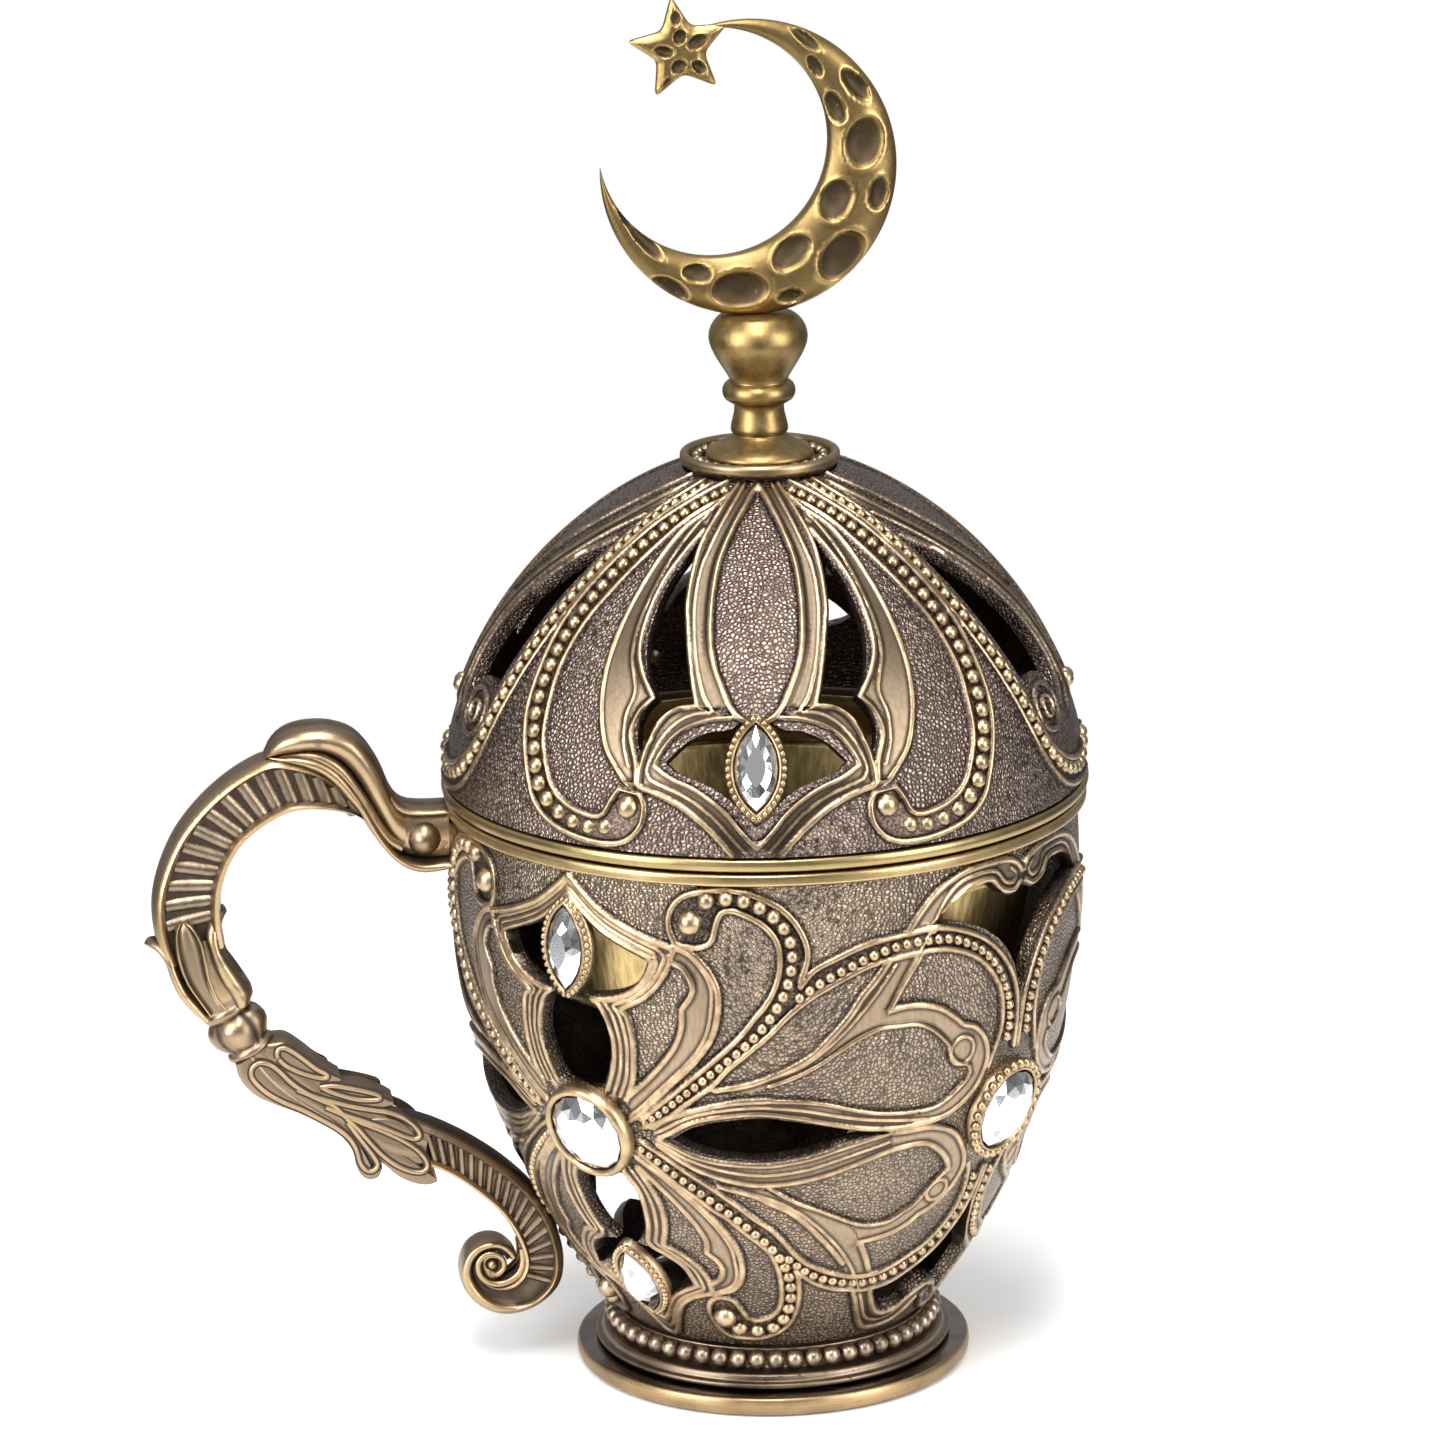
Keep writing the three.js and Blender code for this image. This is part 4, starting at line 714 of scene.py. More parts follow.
    # The copies, joined along their sides
    vertices = []
    polygons = []
    marks = []
    for axis, side in copies:
        base = sum(len(block) for block in vertices)
        vertices.append(on_skin(skin, axis + side * flat[:, 0], flat[:, 1], height))
        marks.append(np.stack([crest, band, sunk, corner, np.ones(len(flat))], -1))
        vertices.append(on_skin(skin, axis + side * inner_flat[:, 0], inner_flat[:, 1], -wall_thickness))
        marks.append(np.zeros((len(inner_flat), 5)))
        inner_base = base + len(flat)
        order = 1 if side > 0 else -1
        polygons += [tuple(base + n for n in face[::order]) for face in faces]
        polygons += [tuple(inner_base + n for n in face[::-order]) for face in inner_faces]
        for a, b in walls:
            c, d = (inner_of.get((round(flat[n, 0], 3), round(flat[n, 1], 3))) for n in (a, b))
            if c is not None and d is not None:
                polygons.append(tuple([base + b, base + a, inner_base + c, inner_base + d][::order]))
    mark = np.vstack(marks)
    mesh = bpy.data.meshes.new(name)
    mesh.from_pydata(np.vstack(vertices).tolist(), [], [tuple(int(v) for v in face) for face in polygons])
    for column, key in enumerate(("crest", "band", "sunk", "corner", "front")):
        mesh.attributes.new(key, "FLOAT", "POINT").data.foreach_set("value", mark[:, column].astype(np.float32))
    work = bmesh.new()
    work.from_mesh(mesh)
    bmesh.ops.remove_doubles(work, verts=work.verts, dist=weld)
    work.to_mesh(mesh)
    work.free()
    soften(mesh, crease_angle)
    mesh.materials.append(material)
    return set_out(name, mesh, body, [replaces])


def carved_metal(name, field_dark, field, top_highlight_and_wear, ridge, ridge_high, band, pit):
    """Plated and antiqued casting: a pebbled field whose tops are lighter, in painted highlight and rubbed wear,
    brighter ridges, satin bands, dark patina in the channels, and at the feet of the ridges a darkening that is
    painted shade as well as patina."""
    shader = Shader(name, 1.0, 0.4)
    crest = shader.attribute("crest")
    flat = shader.attribute("band")
    sunk = shader.attribute("sunk")
    corner = shader.attribute("corner")
    front = shader.attribute("front")
    pebble_size = 0.62
    stone = shader.pebbles(pebble_size, "F1")
    seam = shader.pebbles(pebble_size, "DISTANCE_TO_EDGE")
    grain = shader.noise(0.4, 3, 0.7)
    cloud = shader.noise(9, 4, 0.6)
    patch = shader.noise(2.6, 3, 0.6)
    brush = shader.noise(0.5, 2, 0.6, stretch=(1, 1, 0.12))
    # The mask of the pebble tops, which get the lighter colour: painted highlight and rubbed wear.
    rubbed = shader.ramp(stone, 0.1, 0.62, 1, 0)
    joints = shader.ramp(seam, 0.02, 0.22, 1, 0)
    tone = shader.mix(shader.ramp(cloud, 0.3, 0.7), field_dark, field)
    tone = shader.mix(shader.times(rubbed, shader.ramp(patch, 0.3, 0.7, 0.25, 0.5)), tone, top_highlight_and_wear)
    tone = shader.mix(shader.times(joints, 0.78), tone, pit)
    band_tone = shader.mix(shader.ramp(brush, 0.3, 0.7), [value * 0.8 for value in band], band)
    tone = shader.mix(flat, tone, band_tone)
    tone = shader.mix(sunk, tone, shader.mix(shader.ramp(grain, 0.4, 0.7), pit, field_dark))
    # Beside each ridge's foot the field is painted darker: painted shade where the ridges shade it, together with
    # patina.
    low = shader.ramp(crest, 0.2, 0.6, 1, 0)
    near = shader.times(corner, low)
    near = shader.times(near, shader.scaled(flat, 0.06, 0.84))
    tone = shader.mix(near, tone, pit)
    worn = shader.ramp(shader.scaled(patch, 0.3, crest), 0.55, 1.12)
    shine = shader.mix(shader.ramp(patch, 0.35, 0.75), ridge, ridge_high)
    tone = shader.mix(worn, tone, shine)
    inner = shader.mix(shader.ramp(cloud, 0.3, 0.7), pit, [value * 0.45 for value in field_dark])
    tone = shader.mix(front, inner, tone)
    in_field = shader.times(shader.ramp(crest, 0.02, 0.2, 1, 0), shader.math("SUBTRACT", 1.0, flat))
    in_field = shader.times(in_field, shader.math("SUBTRACT", 1.0, sunk))
    cobble = shader.times(shader.math("POWER", shader.ramp(seam, 0.0, 0.42), 0.6), in_field)
    strokes = shader.times(shader.times(brush, flat), 0.06)
    height = shader.math("ADD", cobble, shader.scaled(grain, 0.04, strokes))
    rough = shader.scaled(grain, 0.16, shader.ramp(crest, 0.2, 0.8, 0.3, 0.26))
    return shader.finish(tone, rough, shader.bump(height, 0.1))


# The third colour is the pebble tops' painted highlight and wear; the last is the dark of patina, of the pebbles'
# joints and of the painted shade at the ridges' feet.
cup_metal = carved_metal(
    "cup_carved_bronze", (0.2, 0.156, 0.126), (0.29, 0.226, 0.16), (0.4, 0.32, 0.23), (0.3, 0.205, 0.12),
    (0.52, 0.38, 0.23), (0.3, 0.222, 0.148), (0.026, 0.019, 0.015),
)
cup = Carving(CupSkin)


def oval(across, up, wide, high, count=25):
    """Points round an oval ridge; its first and last points are one."""
    return [(across + wide * math.cos(t), up + high * math.sin(t)) for t in np.linspace(0, 2 * math.pi, count)]


# The arched frame round the upper stone, and the column below it
cup.window([
    (-2, 83.3), (0, 84.0), (2.7, 81.8), (7.2, 79.1), (11.7, 77.5), (16.2, 76.1), None,
    (14.85, 73.6), (12.15, 71.6), (8.1, 70.3), (3.2, 69.6), None,
    (5.8, 67.7), (7.6, 63.4), (7.2, 59.5), (5.0, 55.4), (0, 54), (-2, 53),
])
arch_inner = cup.ridge([
    (0, 84.6), (2.8, 82.4), (7.2, 79.8), (11.7, 78.1), (16.9, 76.4), None, (15.3, 73.3), (12.5, 71.1), (8.6, 69.7),
    (4.6, 69.2), None, (6.6, 67.9), (8.4, 63.4), (8.0, 59.2), (6.0, 55.0)])
arch_outer = cup.ridge([
    (0, 87.3), (2.5, 85.5), (6.9, 82.7), (11.9, 80.7), (16.2, 79.4), (20.9, 78.3), None, (19.4, 74.8), (17.5, 72.4),
    (15, 70.4), (12.5, 69.2), (10.3, 68.2), None, (11.6, 67.4), (12.2, 65.4), (12.5, 63), (12.4, 60.7), (11.9, 57.7),
    (10.9, 55.4), (9.7, 53.6)])
cup.ridge(midway(arch_inner, arch_outer, 0.36), 0.8, 0.45)
cup.ridge(midway(arch_inner, arch_outer, 0.68), 0.8, 0.45)
cup.band(arch_inner, arch_outer)

# The lower column and the lower frame
cup.window([
    (-2, 40.5), (5.6, 40.5), (7.5, 38.5), (8.0, 36.3), (7.6, 32.4), (5.9, 29.5), (3.0, 27.9), None,
    (7.5, 27.2), (11.25, 26), (14.4, 24.3), (16.2, 21.6), None,
    (11.25, 20.1), (8.1, 18.9), (5.6, 17.1), (3.1, 15.1), (0, 13.8), (-2, 14.6),
])
low_inner = cup.ridge([
    (6.2, 41.2), (8.4, 38.6), (8.9, 36.3), (8.5, 32.2), (6.8, 29.0), None, (7.9, 27.9), (11.6, 26.6), (15.0, 24.8),
    (17.2, 21.3), None, (11.25, 19.5), (8.1, 18.2), (5.6, 16.5), (3.1, 14.4), (0, 13.1)])
low_outer = cup.ridge([
    (9.4, 42.4), (10.6, 40.8), (12, 38.6), (13.1, 36), (13.2, 33.8), (12.5, 31.2), (10.9, 28.6), None, (13.75, 28),
    (16.6, 26.6), (19.1, 24.8), (20.6, 23), (21.1, 20.1), None, (17.5, 19.4), (13.75, 18.5), (10, 16.8), (6.9, 14.4),
    (4.4, 12.2), (2.5, 10.8), (0, 10.2)])
cup.ridge(midway(low_inner, low_outer, 0.5), 0.8, 0.45)
cup.band(low_inner, low_outer)

# The crescent bands beside both frames
moon_outer = cup.ridge([
    (20.9, 78.9), (23.75, 78), (26.25, 76), (28.1, 73.6), (28.75, 71.3), (28.4, 67.7), (26.9, 64.2), (23.75, 60.7),
    (20, 57.7), (16.25, 54.8), (12.5, 51.9), (10, 50.4)])
moon_inner = cup.ridge([
    (20, 76.3), (22.5, 75.4), (24.1, 73), (23.75, 71.3), (22, 69.2), None, (21.9, 66.6), (20.6, 63.6), (18.1, 60.7),
    (14.4, 57.4), (10, 54.2)])
cup.ridge(midway(moon_inner, moon_outer, 0.8), 0.7, 0.45)
cup.band(moon_inner, moon_outer, 0.36)
low_moon_outer = cup.ridge([
    (10, 44.2), (15, 41.6), (20, 38.3), (24.4, 34.8), (27.5, 31.6), (29.7, 28.3), (30.1, 25.1), (29.1, 22.4),
    (26.9, 21), (23.75, 20.4), (21.1, 19.5)])
low_moon_inner = cup.ridge([
    (10, 42.4), (13.75, 39.5), (17.5, 36.3), (20.6, 33), (22.2, 30.1), (21.6, 28), None, (23.75, 26.9), (25, 25.1),
    (24.1, 23.3), (21.9, 22.1)])
cup.ridge(midway(low_moon_inner, low_moon_outer, 0.8), 0.7, 0.45)
cup.band(low_moon_inner, low_moon_outer, 0.36)

# The upper scroll: a boss in a ring, and a bead row between two ridges that runs down to the round stone
cup.ridge([
    (21.25, 78.9), (20, 81.3), (20.3, 83.9), (22.5, 86.0), (26.9, 87.1), (31.9, 87.2), (36.25, 86.2), (40, 84.5),
    (42.8, 81.9), (44.4, 78.9), (44.4, 76.6), (43.4, 74.2), (43.1, 72.7)])
scroll_inner = cup.ridge([
    (21.25, 78.9), (25, 78.6), (27.5, 79.5), (28.4, 81.9), (29.4, 83.9), (31.25, 84.3), (33.75, 83.6), (36.9, 82.1),
    (39.1, 79.8), (39.7, 76.9), (39.1, 73.6), (37.5, 70.7), (35, 68), (31.9, 64.8), (27.5, 61.3), (23.75, 58.6),
    (17.5, 54.2), (12.5, 50.7)])
cup.ridge([
    (37.5, 65.4), (33.75, 62.7), (30, 60.1), (27.5, 57.7), (24.4, 55.7), (20.6, 53.3), (17.5, 51.3), (12.5, 49.5)])
cup.channel([
    (23, 79.5), (21, 83), (26, 86.6), (34, 86.6), (41, 83), (44, 78), (43, 72), (37.5, 65.6), (24, 55.6),
    (12.5, 49.8)], scroll_inner)
upper_beads = [
    (26.9, 85.7), (30.5, 86.1), (33.75, 85.7), (36.6, 84.6), (38.9, 83.2), (40.6, 81.4), (41.6, 79.3), (41.8, 77.3),
    (41.6, 75.4), (41.1, 73.6), (40.4, 71.9), (39.4, 70.2), (38.2, 68.6), (36.9, 67.1), (35.2, 65.4), (33.3, 63.8),
    (31.2, 62.2), (29.1, 60.7), (27.0, 59.3), (24.9, 57.8), (22.8, 56.4), (20.7, 55.0), (18.6, 53.6), (16.5, 52.2),
    (14.4, 51.0), (12.6, 50.1)]

# The upper branch: a second bead row that arches over the petals to the beaded stone
branch_outer = cup.ridge([
    (43.1, 72.7), (45.6, 75.1), (49.4, 76.6), (53.75, 78), (58.1, 78.8), (63.75, 79.2), (67.5, 79.4), (72.5, 78.6),
    (77.5, 76.9), (81.25, 74.9), (84.4, 72.3), (86.9, 69.4), (88.6, 66), (89.3, 62), (89.4, 57.4)])
branch_inner = cup.ridge([
    (37.5, 65.4), (41.25, 68.6), (45, 71), (49.4, 73), (54.4, 74.8), (58.75, 75.7), (63.75, 76.1), (68.75, 76.1),
    (72.5, 75.5), (76.25, 74.2), (79.4, 72.4), (81.9, 70.1), (83.75, 67.7), (84.7, 64.8), (84.9, 61.9), (84, 58.9),
    (82.5, 55.4)])
cup.channel(branch_outer, branch_inner)
branch_beads = [
    (43, 71.1), (46.6, 73.1), (50.5, 74.7), (54.6, 76.1), (58.8, 77.2), (63.1, 77.7), (67.5, 77.7), (71.9, 77.2),
    (76.0, 75.8), (79.8, 73.7), (82.9, 71.0), (85.1, 67.8), (86.7, 64.4), (87.2, 61), (86.6, 57.9)]

# The great upper band, which forks into the petal's edge and its curl
cup.ridge([
    (27.5, 56.6), (33.75, 57.7), (37.5, 58.8), (41.25, 60.1), (45, 61.9), (48.75, 64.8), (51.9, 67.7), (54.4, 70.7),
    (56.6, 72.7), (59.4, 75.7)])
great_top = cup.ridge([
    (63.1, 79.5), (65.6, 82.1), (68.75, 84.5), (72.5, 86.1), (76.25, 86.9), (81.25, 87.1), (85.6, 86.8), (88.4, 85.9),
    (89.7, 84.5)])
cup.ridge([(59.4, 68), (61.25, 70.7), (63.1, 73), (65.3, 75.4)])
great_inner_top = cup.ridge([
    (68.1, 78.9), (70, 80.9), (72.5, 82.9), (75.6, 84.3), (79.4, 84.8), (81.9, 84.4), (83.2, 83.2), (85.0, 82.2),
    (87.3, 81.9), (89.4, 82.9)])
cup.ridge([
    (61.0, 70.9), (63.4, 74.3), (66.5, 77.8), (70, 82.5), (73.6, 85.1), (78, 85.9), (82.6, 85.6), (84.8, 83.7),
    (87.2, 83.2), (88.2, 84.3), (86.6, 85.4)], 0.8, 0.5)
petal_outer = cup.ridge([
    (59.4, 68), (62.5, 68.3), (66.25, 68), (70, 66.9), (73.1, 65.1), (75.3, 63.6), (77.5, 63), (80, 61.3),
    (81.6, 58.9), (81.9, 56.6), (80.6, 53.6), (78.1, 51.3), (74.4, 49.5), (70, 48.9), (66.25, 48.9)])
cup.ridge([
    (37.5, 57.4), (42.5, 58.9), (46.9, 60.7), (50.6, 62.7), (53.75, 64.2), (57.5, 65.3), (61.25, 65.3), (65, 65.1),
    (68.1, 63.9), (70.6, 62.1), (72.2, 60.7), None, (72.5, 59.5), (74.4, 57.7), (77.5, 56.6), (77.5, 54.8), (75, 53),
    (71.25, 51.3), (67.5, 51), (62.5, 51.3), (57.5, 51.9), (52.5, 53), (47.5, 54.2), (42.5, 54.8), (37.5, 55)], 0.9)
cup.band(petal_outer, [
    (57.5, 65.3), (61.25, 65.3), (65, 65.1), (68.1, 63.9), (70.6, 62.1), (72.2, 60.7), None, (72.5, 59.5),
    (74.4, 57.7), (77.5, 56.6), (77.5, 54.8), (75, 53), (71.25, 51.3), (67.5, 51), (66.25, 48.9)])
cup.band(great_top, great_inner_top)
cup.band([
    (27.5, 56.6), (37.5, 58.8), (45, 61.9), (51.9, 67.7), (59.4, 75.7), (63.1, 79.5)],
    [(34, 56.2), (42.5, 58.9), (50.6, 62.7), (57.5, 65.3), (59.4, 68), (63.1, 73), (68.1, 78.9)])
cup.ridge(midway(cup.line([
    (30, 57.2), (41.25, 60.1), (48.75, 64.8), (54.4, 70.7), (59.4, 75.7)]), cup.line([(36, 57.2), (46, 60.4),
    (53, 64.3), (59.4, 68.2), (63.1, 73)]), 0.32), 0.7, 0.45)
cup.ridge(oval(75.3, 59.4, 2.7, 2.2), 0.8, 0.55)

# The long lens-shaped window between the petals, in a frame of three ridges
cup.window([
    (18.1, 47.9), (22.5, 50.1), (27.5, 51.3), (33.75, 52), (37.5, 52), (42.5, 51.3), (47.5, 50.4), (52.5, 49.4),
    (56.9, 48.6), (62, 48.3), None, (55.6, 47.9), (50, 47), (45.6, 46), (41.25, 45.4), (37.5, 45), (33.75, 45),
    (27.5, 45.4), (22.5, 46.3), (18.1, 47.9)])
lens_upper = cup.ridge([
    (15.5, 48.0), (18.5, 49.2), (22, 50.9), (26.25, 52.0), (32.5, 52.8), (37.5, 52.8), (43.75, 51.9), (50, 50.6),
    (56.25, 49.4), (62.5, 48.8), (67.5, 48.8), (71.25, 48.9)], 1.1)
cup.ridge([(14.5, 49.6), (16.9, 51.1), (21.25, 52.6), (26.25, 53.9), (31.25, 54.8), (37.5, 55.1)])
lens_lower = cup.ridge([
    (15.5, 47.8), (18.5, 46.8), (22, 45.5), (27.3, 44.6), (33.75, 44.2), (37.5, 44.2), (41.25, 44.6), (45.6, 45.2),
    (50, 46.2), (55.6, 47.3), (61.25, 48.1)], 1.1)
cup.ridge([
    (15, 46.9), (17.5, 45.6), (21.25, 43.7), (26.25, 42.1), (32.5, 41), (37.5, 40.8), (43.75, 41.3), (50, 42.4),
    (56.25, 43.9), (61.25, 45), (65.6, 45.4), (70, 45.1), (73.75, 43.3), (76.6, 41), (77.5, 39.5)])
lens_upper_edge = [(14.5, 49.6), (21.25, 52.6), (31.25, 54.8), (42.5, 54.8), (52.5, 53), (62.5, 51.3), (71, 49.4)]
cup.band(lens_upper, lens_upper_edge)
lens_lower_edge = [(15, 46.9), (21.25, 43.7), (32.5, 41), (43.75, 41.3), (56.25, 43.9), (61.25, 45)]
cup.band(lens_lower, lens_lower_edge)
cup.ridge(midway(lens_lower, cup.line(lens_lower_edge), 0.5), 0.7, 0.45)
cup.ridge(midway(lens_upper, cup.line(lens_upper_edge), 0.5), 0.7, 0.45)

# The lower petal and the lower great band
cup.ridge([
    (37.5, 40.1), (42.5, 37.7), (47.5, 36), (52.5, 34.2), (56.9, 32.7), (61.25, 32.1), (65, 32.4), (68.1, 33.6),
    (70.6, 34.5), (72.5, 36.3), (75, 38.3), (77.5, 39.5)], 0.9)
low_petal_outer = cup.ridge([
    (58.1, 29.2), (62.5, 29.5), (66.9, 30.1), (70.6, 31.3), (72.5, 32.4), (75, 33), (78.1, 34.5), (80.6, 36.6),
    (81.9, 38.9), (81.25, 41.3), (79.4, 43.6), (76.9, 45.7), (73.75, 47.1), (70, 47.9), (65.6, 48), (62.5, 48.1)])
cup.band(low_petal_outer, [
    (56.9, 32.7), (61.25, 32.1), (68.1, 33.6), (72.5, 36.3), (77.5, 39.5), (76.6, 41), (73.75, 43.3), (70, 45.1),
    (65.6, 45.4), (61.25, 45)])
cup.ridge([
    (26.9, 40.4), (33.75, 39), (37.5, 37.4), (41.25, 36), (45, 33.6), (48.75, 30.7), (52.5, 27.7), (55.2, 25.4)])
cup.ridge([
    (58.75, 21.2), (61.25, 18.3), (63.75, 15.2), (66.25, 12.9), (69.4, 11.4), (75, 11.0), (80, 11.2), (83.75, 12.0),
    (86.5, 13.4), (88.4, 14.8)])
cup.ridge([(58.6, 29.2), (61.25, 26), (63.1, 23.6)])
cup.ridge([
    (65.4, 19.8), (67.2, 17.4), (69.8, 15.0), (73.0, 13.8), (77.5, 13.5), (80.8, 14.2), (83.6, 15.6), (86.6, 16.4),
    (89.4, 16.8)])
cup.band([
    (26.9, 40.4), (37.5, 37.4), (45, 33.6), (52.5, 27.7), (58.75, 21.2), (63.75, 15.2), (69.4, 11.4), (75, 11),
    (83.75, 12), (88.4, 14.8)],
    [(34, 40.4), (42.5, 37.7), (52.5, 34.2), (58.1, 29.6), (63.1, 23.6), (67.2, 17.4), (73, 13.8), (80.8, 14.2),
    (86.6, 16.4)])
cup.ridge([
    (30, 40.2), (38, 38.1), (44, 35.4), (50, 31.3), (55, 27.2), (59.6, 22.6), (63.6, 18.0), (67.8, 13.8), (73, 12.4),
    (78.8, 12.5), (83, 13.8)], 0.7, 0.45)
cup.ridge(oval(75.9, 36.2, 2.7, 1.7), 0.8, 0.55)

# The lower scroll and the lower branch, with their bead rows
cup.ridge([
    (27.5, 35.0), (31.5, 32.2), (35.4, 29.8), (37.4, 28), (38.9, 25.4), (39.8, 22.6), (40.0, 19.8), (39.4, 17.4),
    (37.2, 15.8), (33.1, 15.0), (29.8, 15.4), (28.2, 17.2), (26.2, 19.1), (22.5, 19.4), (19.4, 18.2), (18.3, 15.8),
    (19.4, 13.2), (22.5, 11.6), (27.8, 11.2), (33.8, 11.3), (38.6, 12.2), (42.4, 13.9), (44.4, 16.4), (44.8, 19.6),
    (44.2, 23), (43.4, 24.9)])
low_row_inner = cup.ridge([(11, 45.0), (14.4, 42.9), (18.1, 40.4), (21.9, 38.2), (25, 36.2), (27.5, 35.0)])
low_row_outer = cup.ridge([
    (12, 46.9), (15.6, 45.2), (20, 42.8), (25, 40.2), (29.4, 37.6), (33.8, 34.8), (37.5, 32.7)])
cup.channel(low_row_inner, low_row_outer)
cup.channel([
    (25, 37.8), (31.5, 32.2), (37.4, 28), (39.8, 22.6), (39.4, 17.4), (33.1, 15), (28.2, 17.2), (22.5, 19.4),
    (18.3, 15.8)],
    [(33, 34.6), (37.5, 32.7), (43.4, 24.9), (44.8, 19.6), (42.4, 13.9), (33.8, 11.3), (27.8, 11.2), (22.5, 11.6),
    (18.3, 15.8)])
low_beads = [
    (10.6, 46), (13.6, 44.4), (16.5, 42.7), (19.4, 41.0), (22.3, 39.3), (25.1, 37.6), (27.9, 35.9), (30.6, 34.2),
    (33.2, 32.4), (35.6, 30.7), (37.8, 28.9), (39.5, 27.2), (40.8, 25.5), (41.7, 23.8), (42.3, 22.0), (42.5, 20.2),
    (42.3, 18.2), (41.4, 16.1), (39.2, 14.2), (35.6, 13.1), (31.2, 12.9), (26.8, 13.3)]
low_branch_lower = cup.ridge([
    (43.4, 24.9), (45.6, 23.6), (48.75, 22.1), (53.75, 20.7), (58.75, 20.1), (63.75, 19.6), (68.75, 19.8),
    (72.5, 20.4), (76.25, 21.6), (80, 23), (83.75, 25.1), (86.6, 27.7), (88.4, 30.2), (89.2, 33.2), (89.4, 37.7)])
low_branch_upper = cup.ridge([
    (37.5, 32.7), (40, 30.7), (42.5, 28.3), (45.6, 26.3), (49.4, 24.8), (53.75, 23.6), (58.1, 22.7), (62.5, 22.4),
    (66.25, 22.6), (70, 23.3), (73.75, 24.5), (77.5, 25.7), (80.6, 27.4), (83.1, 29.5), (84.7, 31.9), (85.1, 34.8),
    (84.4, 37.7), (83.4, 39.5)])
cup.channel(low_branch_lower, low_branch_upper)
low_branch_beads = [
    (41.6, 27.1), (45.3, 24.9), (49.6, 23.2), (54.2, 22.1), (58.9, 21.4), (63.6, 21.1), (68.2, 21.5), (72.6, 22.5),
    (76.8, 23.8), (80.6, 25.6), (83.9, 27.9), (86.2, 30.9), (87.1, 34.2), (86.7, 37.6)]

# The ogee windows above and below the beaded stone
cup.window([
    (67.5, 79.9), (70, 81.5), (72.5, 83.0), (76.25, 84.2), (80.6, 84.2), (82.5, 83.2), (85, 81.6), (87.5, 81.3),
    (90, 82.3), (92, 81.6), None, (92, 64), (90, 65.2), (88.0, 70.2), (84.6, 74.2), (80.8, 76.7), (77.0, 78.4),
    (72.5, 79.6), (67.5, 79.9)])
cup.window([
    (66.8, 19.2), (68.75, 17.4), (71.25, 15.4), (74.4, 14.3), (77.5, 14.1), (80.6, 14.9), (83.6, 16.3), (87, 17.1),
    (90, 17.6), (92, 17.6), None, (92, 33), (90, 32.2), (88.4, 29.4), (86.25, 26.7), (82.5, 23.9), (78.75, 21.5),
    (75, 20.1), (71.25, 19.2), (66.8, 19.2)])
cup_copies = [(-45, 1), (-45, -1), (135, 1), (135, -1)]
relief_body("cup_casting", cup, cup_copies, cup_metal, "base", "cup_shell")


def strung(carving, row, first, last, power=0.6, spacing=1.04):
    """Beads strung one against the next along a smooth line, as (degrees, along, radius) with a changing radius."""
    line = carving.line(row, 0.25)
    scale = carving.skin.across(line[:, 1])
    walked = np.concatenate([[0], np.cumsum(np.hypot(np.diff(line[:, 0]) * scale[1:], np.diff(line[:, 1])))])
    beads = []
    at = 0.0
    while at <= walked[-1]:
        radius = first + (last - first) * (at / walked[-1]) ** power
        beads.append((float(np.interp(at, walked, line[:, 0])), float(np.interp(at, walked, line[:, 1])), radius))
        at += 2 * radius * spacing
    return beads


def mirrored_row(skin, beads, copies, raised_share=0.15):
    """Places and sizes of one bead row on every copy of the motif."""
    places = []
    radii = []
    for axis, side in copies:
        for u, v, size in beads:
            raised = np.array([size * raised_share])
            places.append(on_skin(skin, np.array([axis + side * u]), np.array([v]), raised, size)[0])
            radii.append(size * MM)
    return places, radii


cup_bead_metal = cast_bead_metal("cup_bead_brass", (0.46, 0.34, 0.21), (0.27, 0.2, 0.13), (0.07, 0.05, 0.036))
cup_beads = strung(cup, upper_beads, 1.36, 0.68)
cup_beads += strung(cup, branch_beads, 0.86, 0.82)
cup_beads += strung(cup, low_beads[::-1], 1.28, 0.68)
cup_beads += strung(cup, low_branch_beads, 0.82, 0.8)
cup_beads += [(23.75, 82.15, 2.05), (23.1, 15.7, 1.8)]
bead_row("cup_beads", *mirrored_row(CupSkin, cup_beads, cup_copies), cup_bead_metal, "base", "cast_bronze")

# Stones on the cup: clear cut glass with foil behind, each cemented into a raised bezel. The bezels belong to the
# casting: leaf-shaped rims under fine beads above and below, a plain round rim between them, and a round rim of
# beads on the cup's sides.


def leaf_outline(half_width, half_length, count):
    """A pointed oval made of two arcs, from the top point round clockwise, as (across, up) in millimetres."""
    lean = (half_length ** 2 - half_width ** 2) / (2 * half_width)
    arc_radius = half_width + lean
    reach = math.asin(half_length / arc_radius)
    angles = np.linspace(reach, -reach, count // 2, endpoint=False)
    right = np.stack([arc_radius * np.cos(angles) - lean, arc_radius * np.sin(angles)], -1)
    return np.vstack([right, -right])


def round_outline(radius, count):
    """A circle, from the top round clockwise."""
    angles = np.linspace(math.pi / 2, -1.5 * math.pi, count, endpoint=False)
    return np.stack([radius * np.cos(angles), radius * np.sin(angles)], -1)


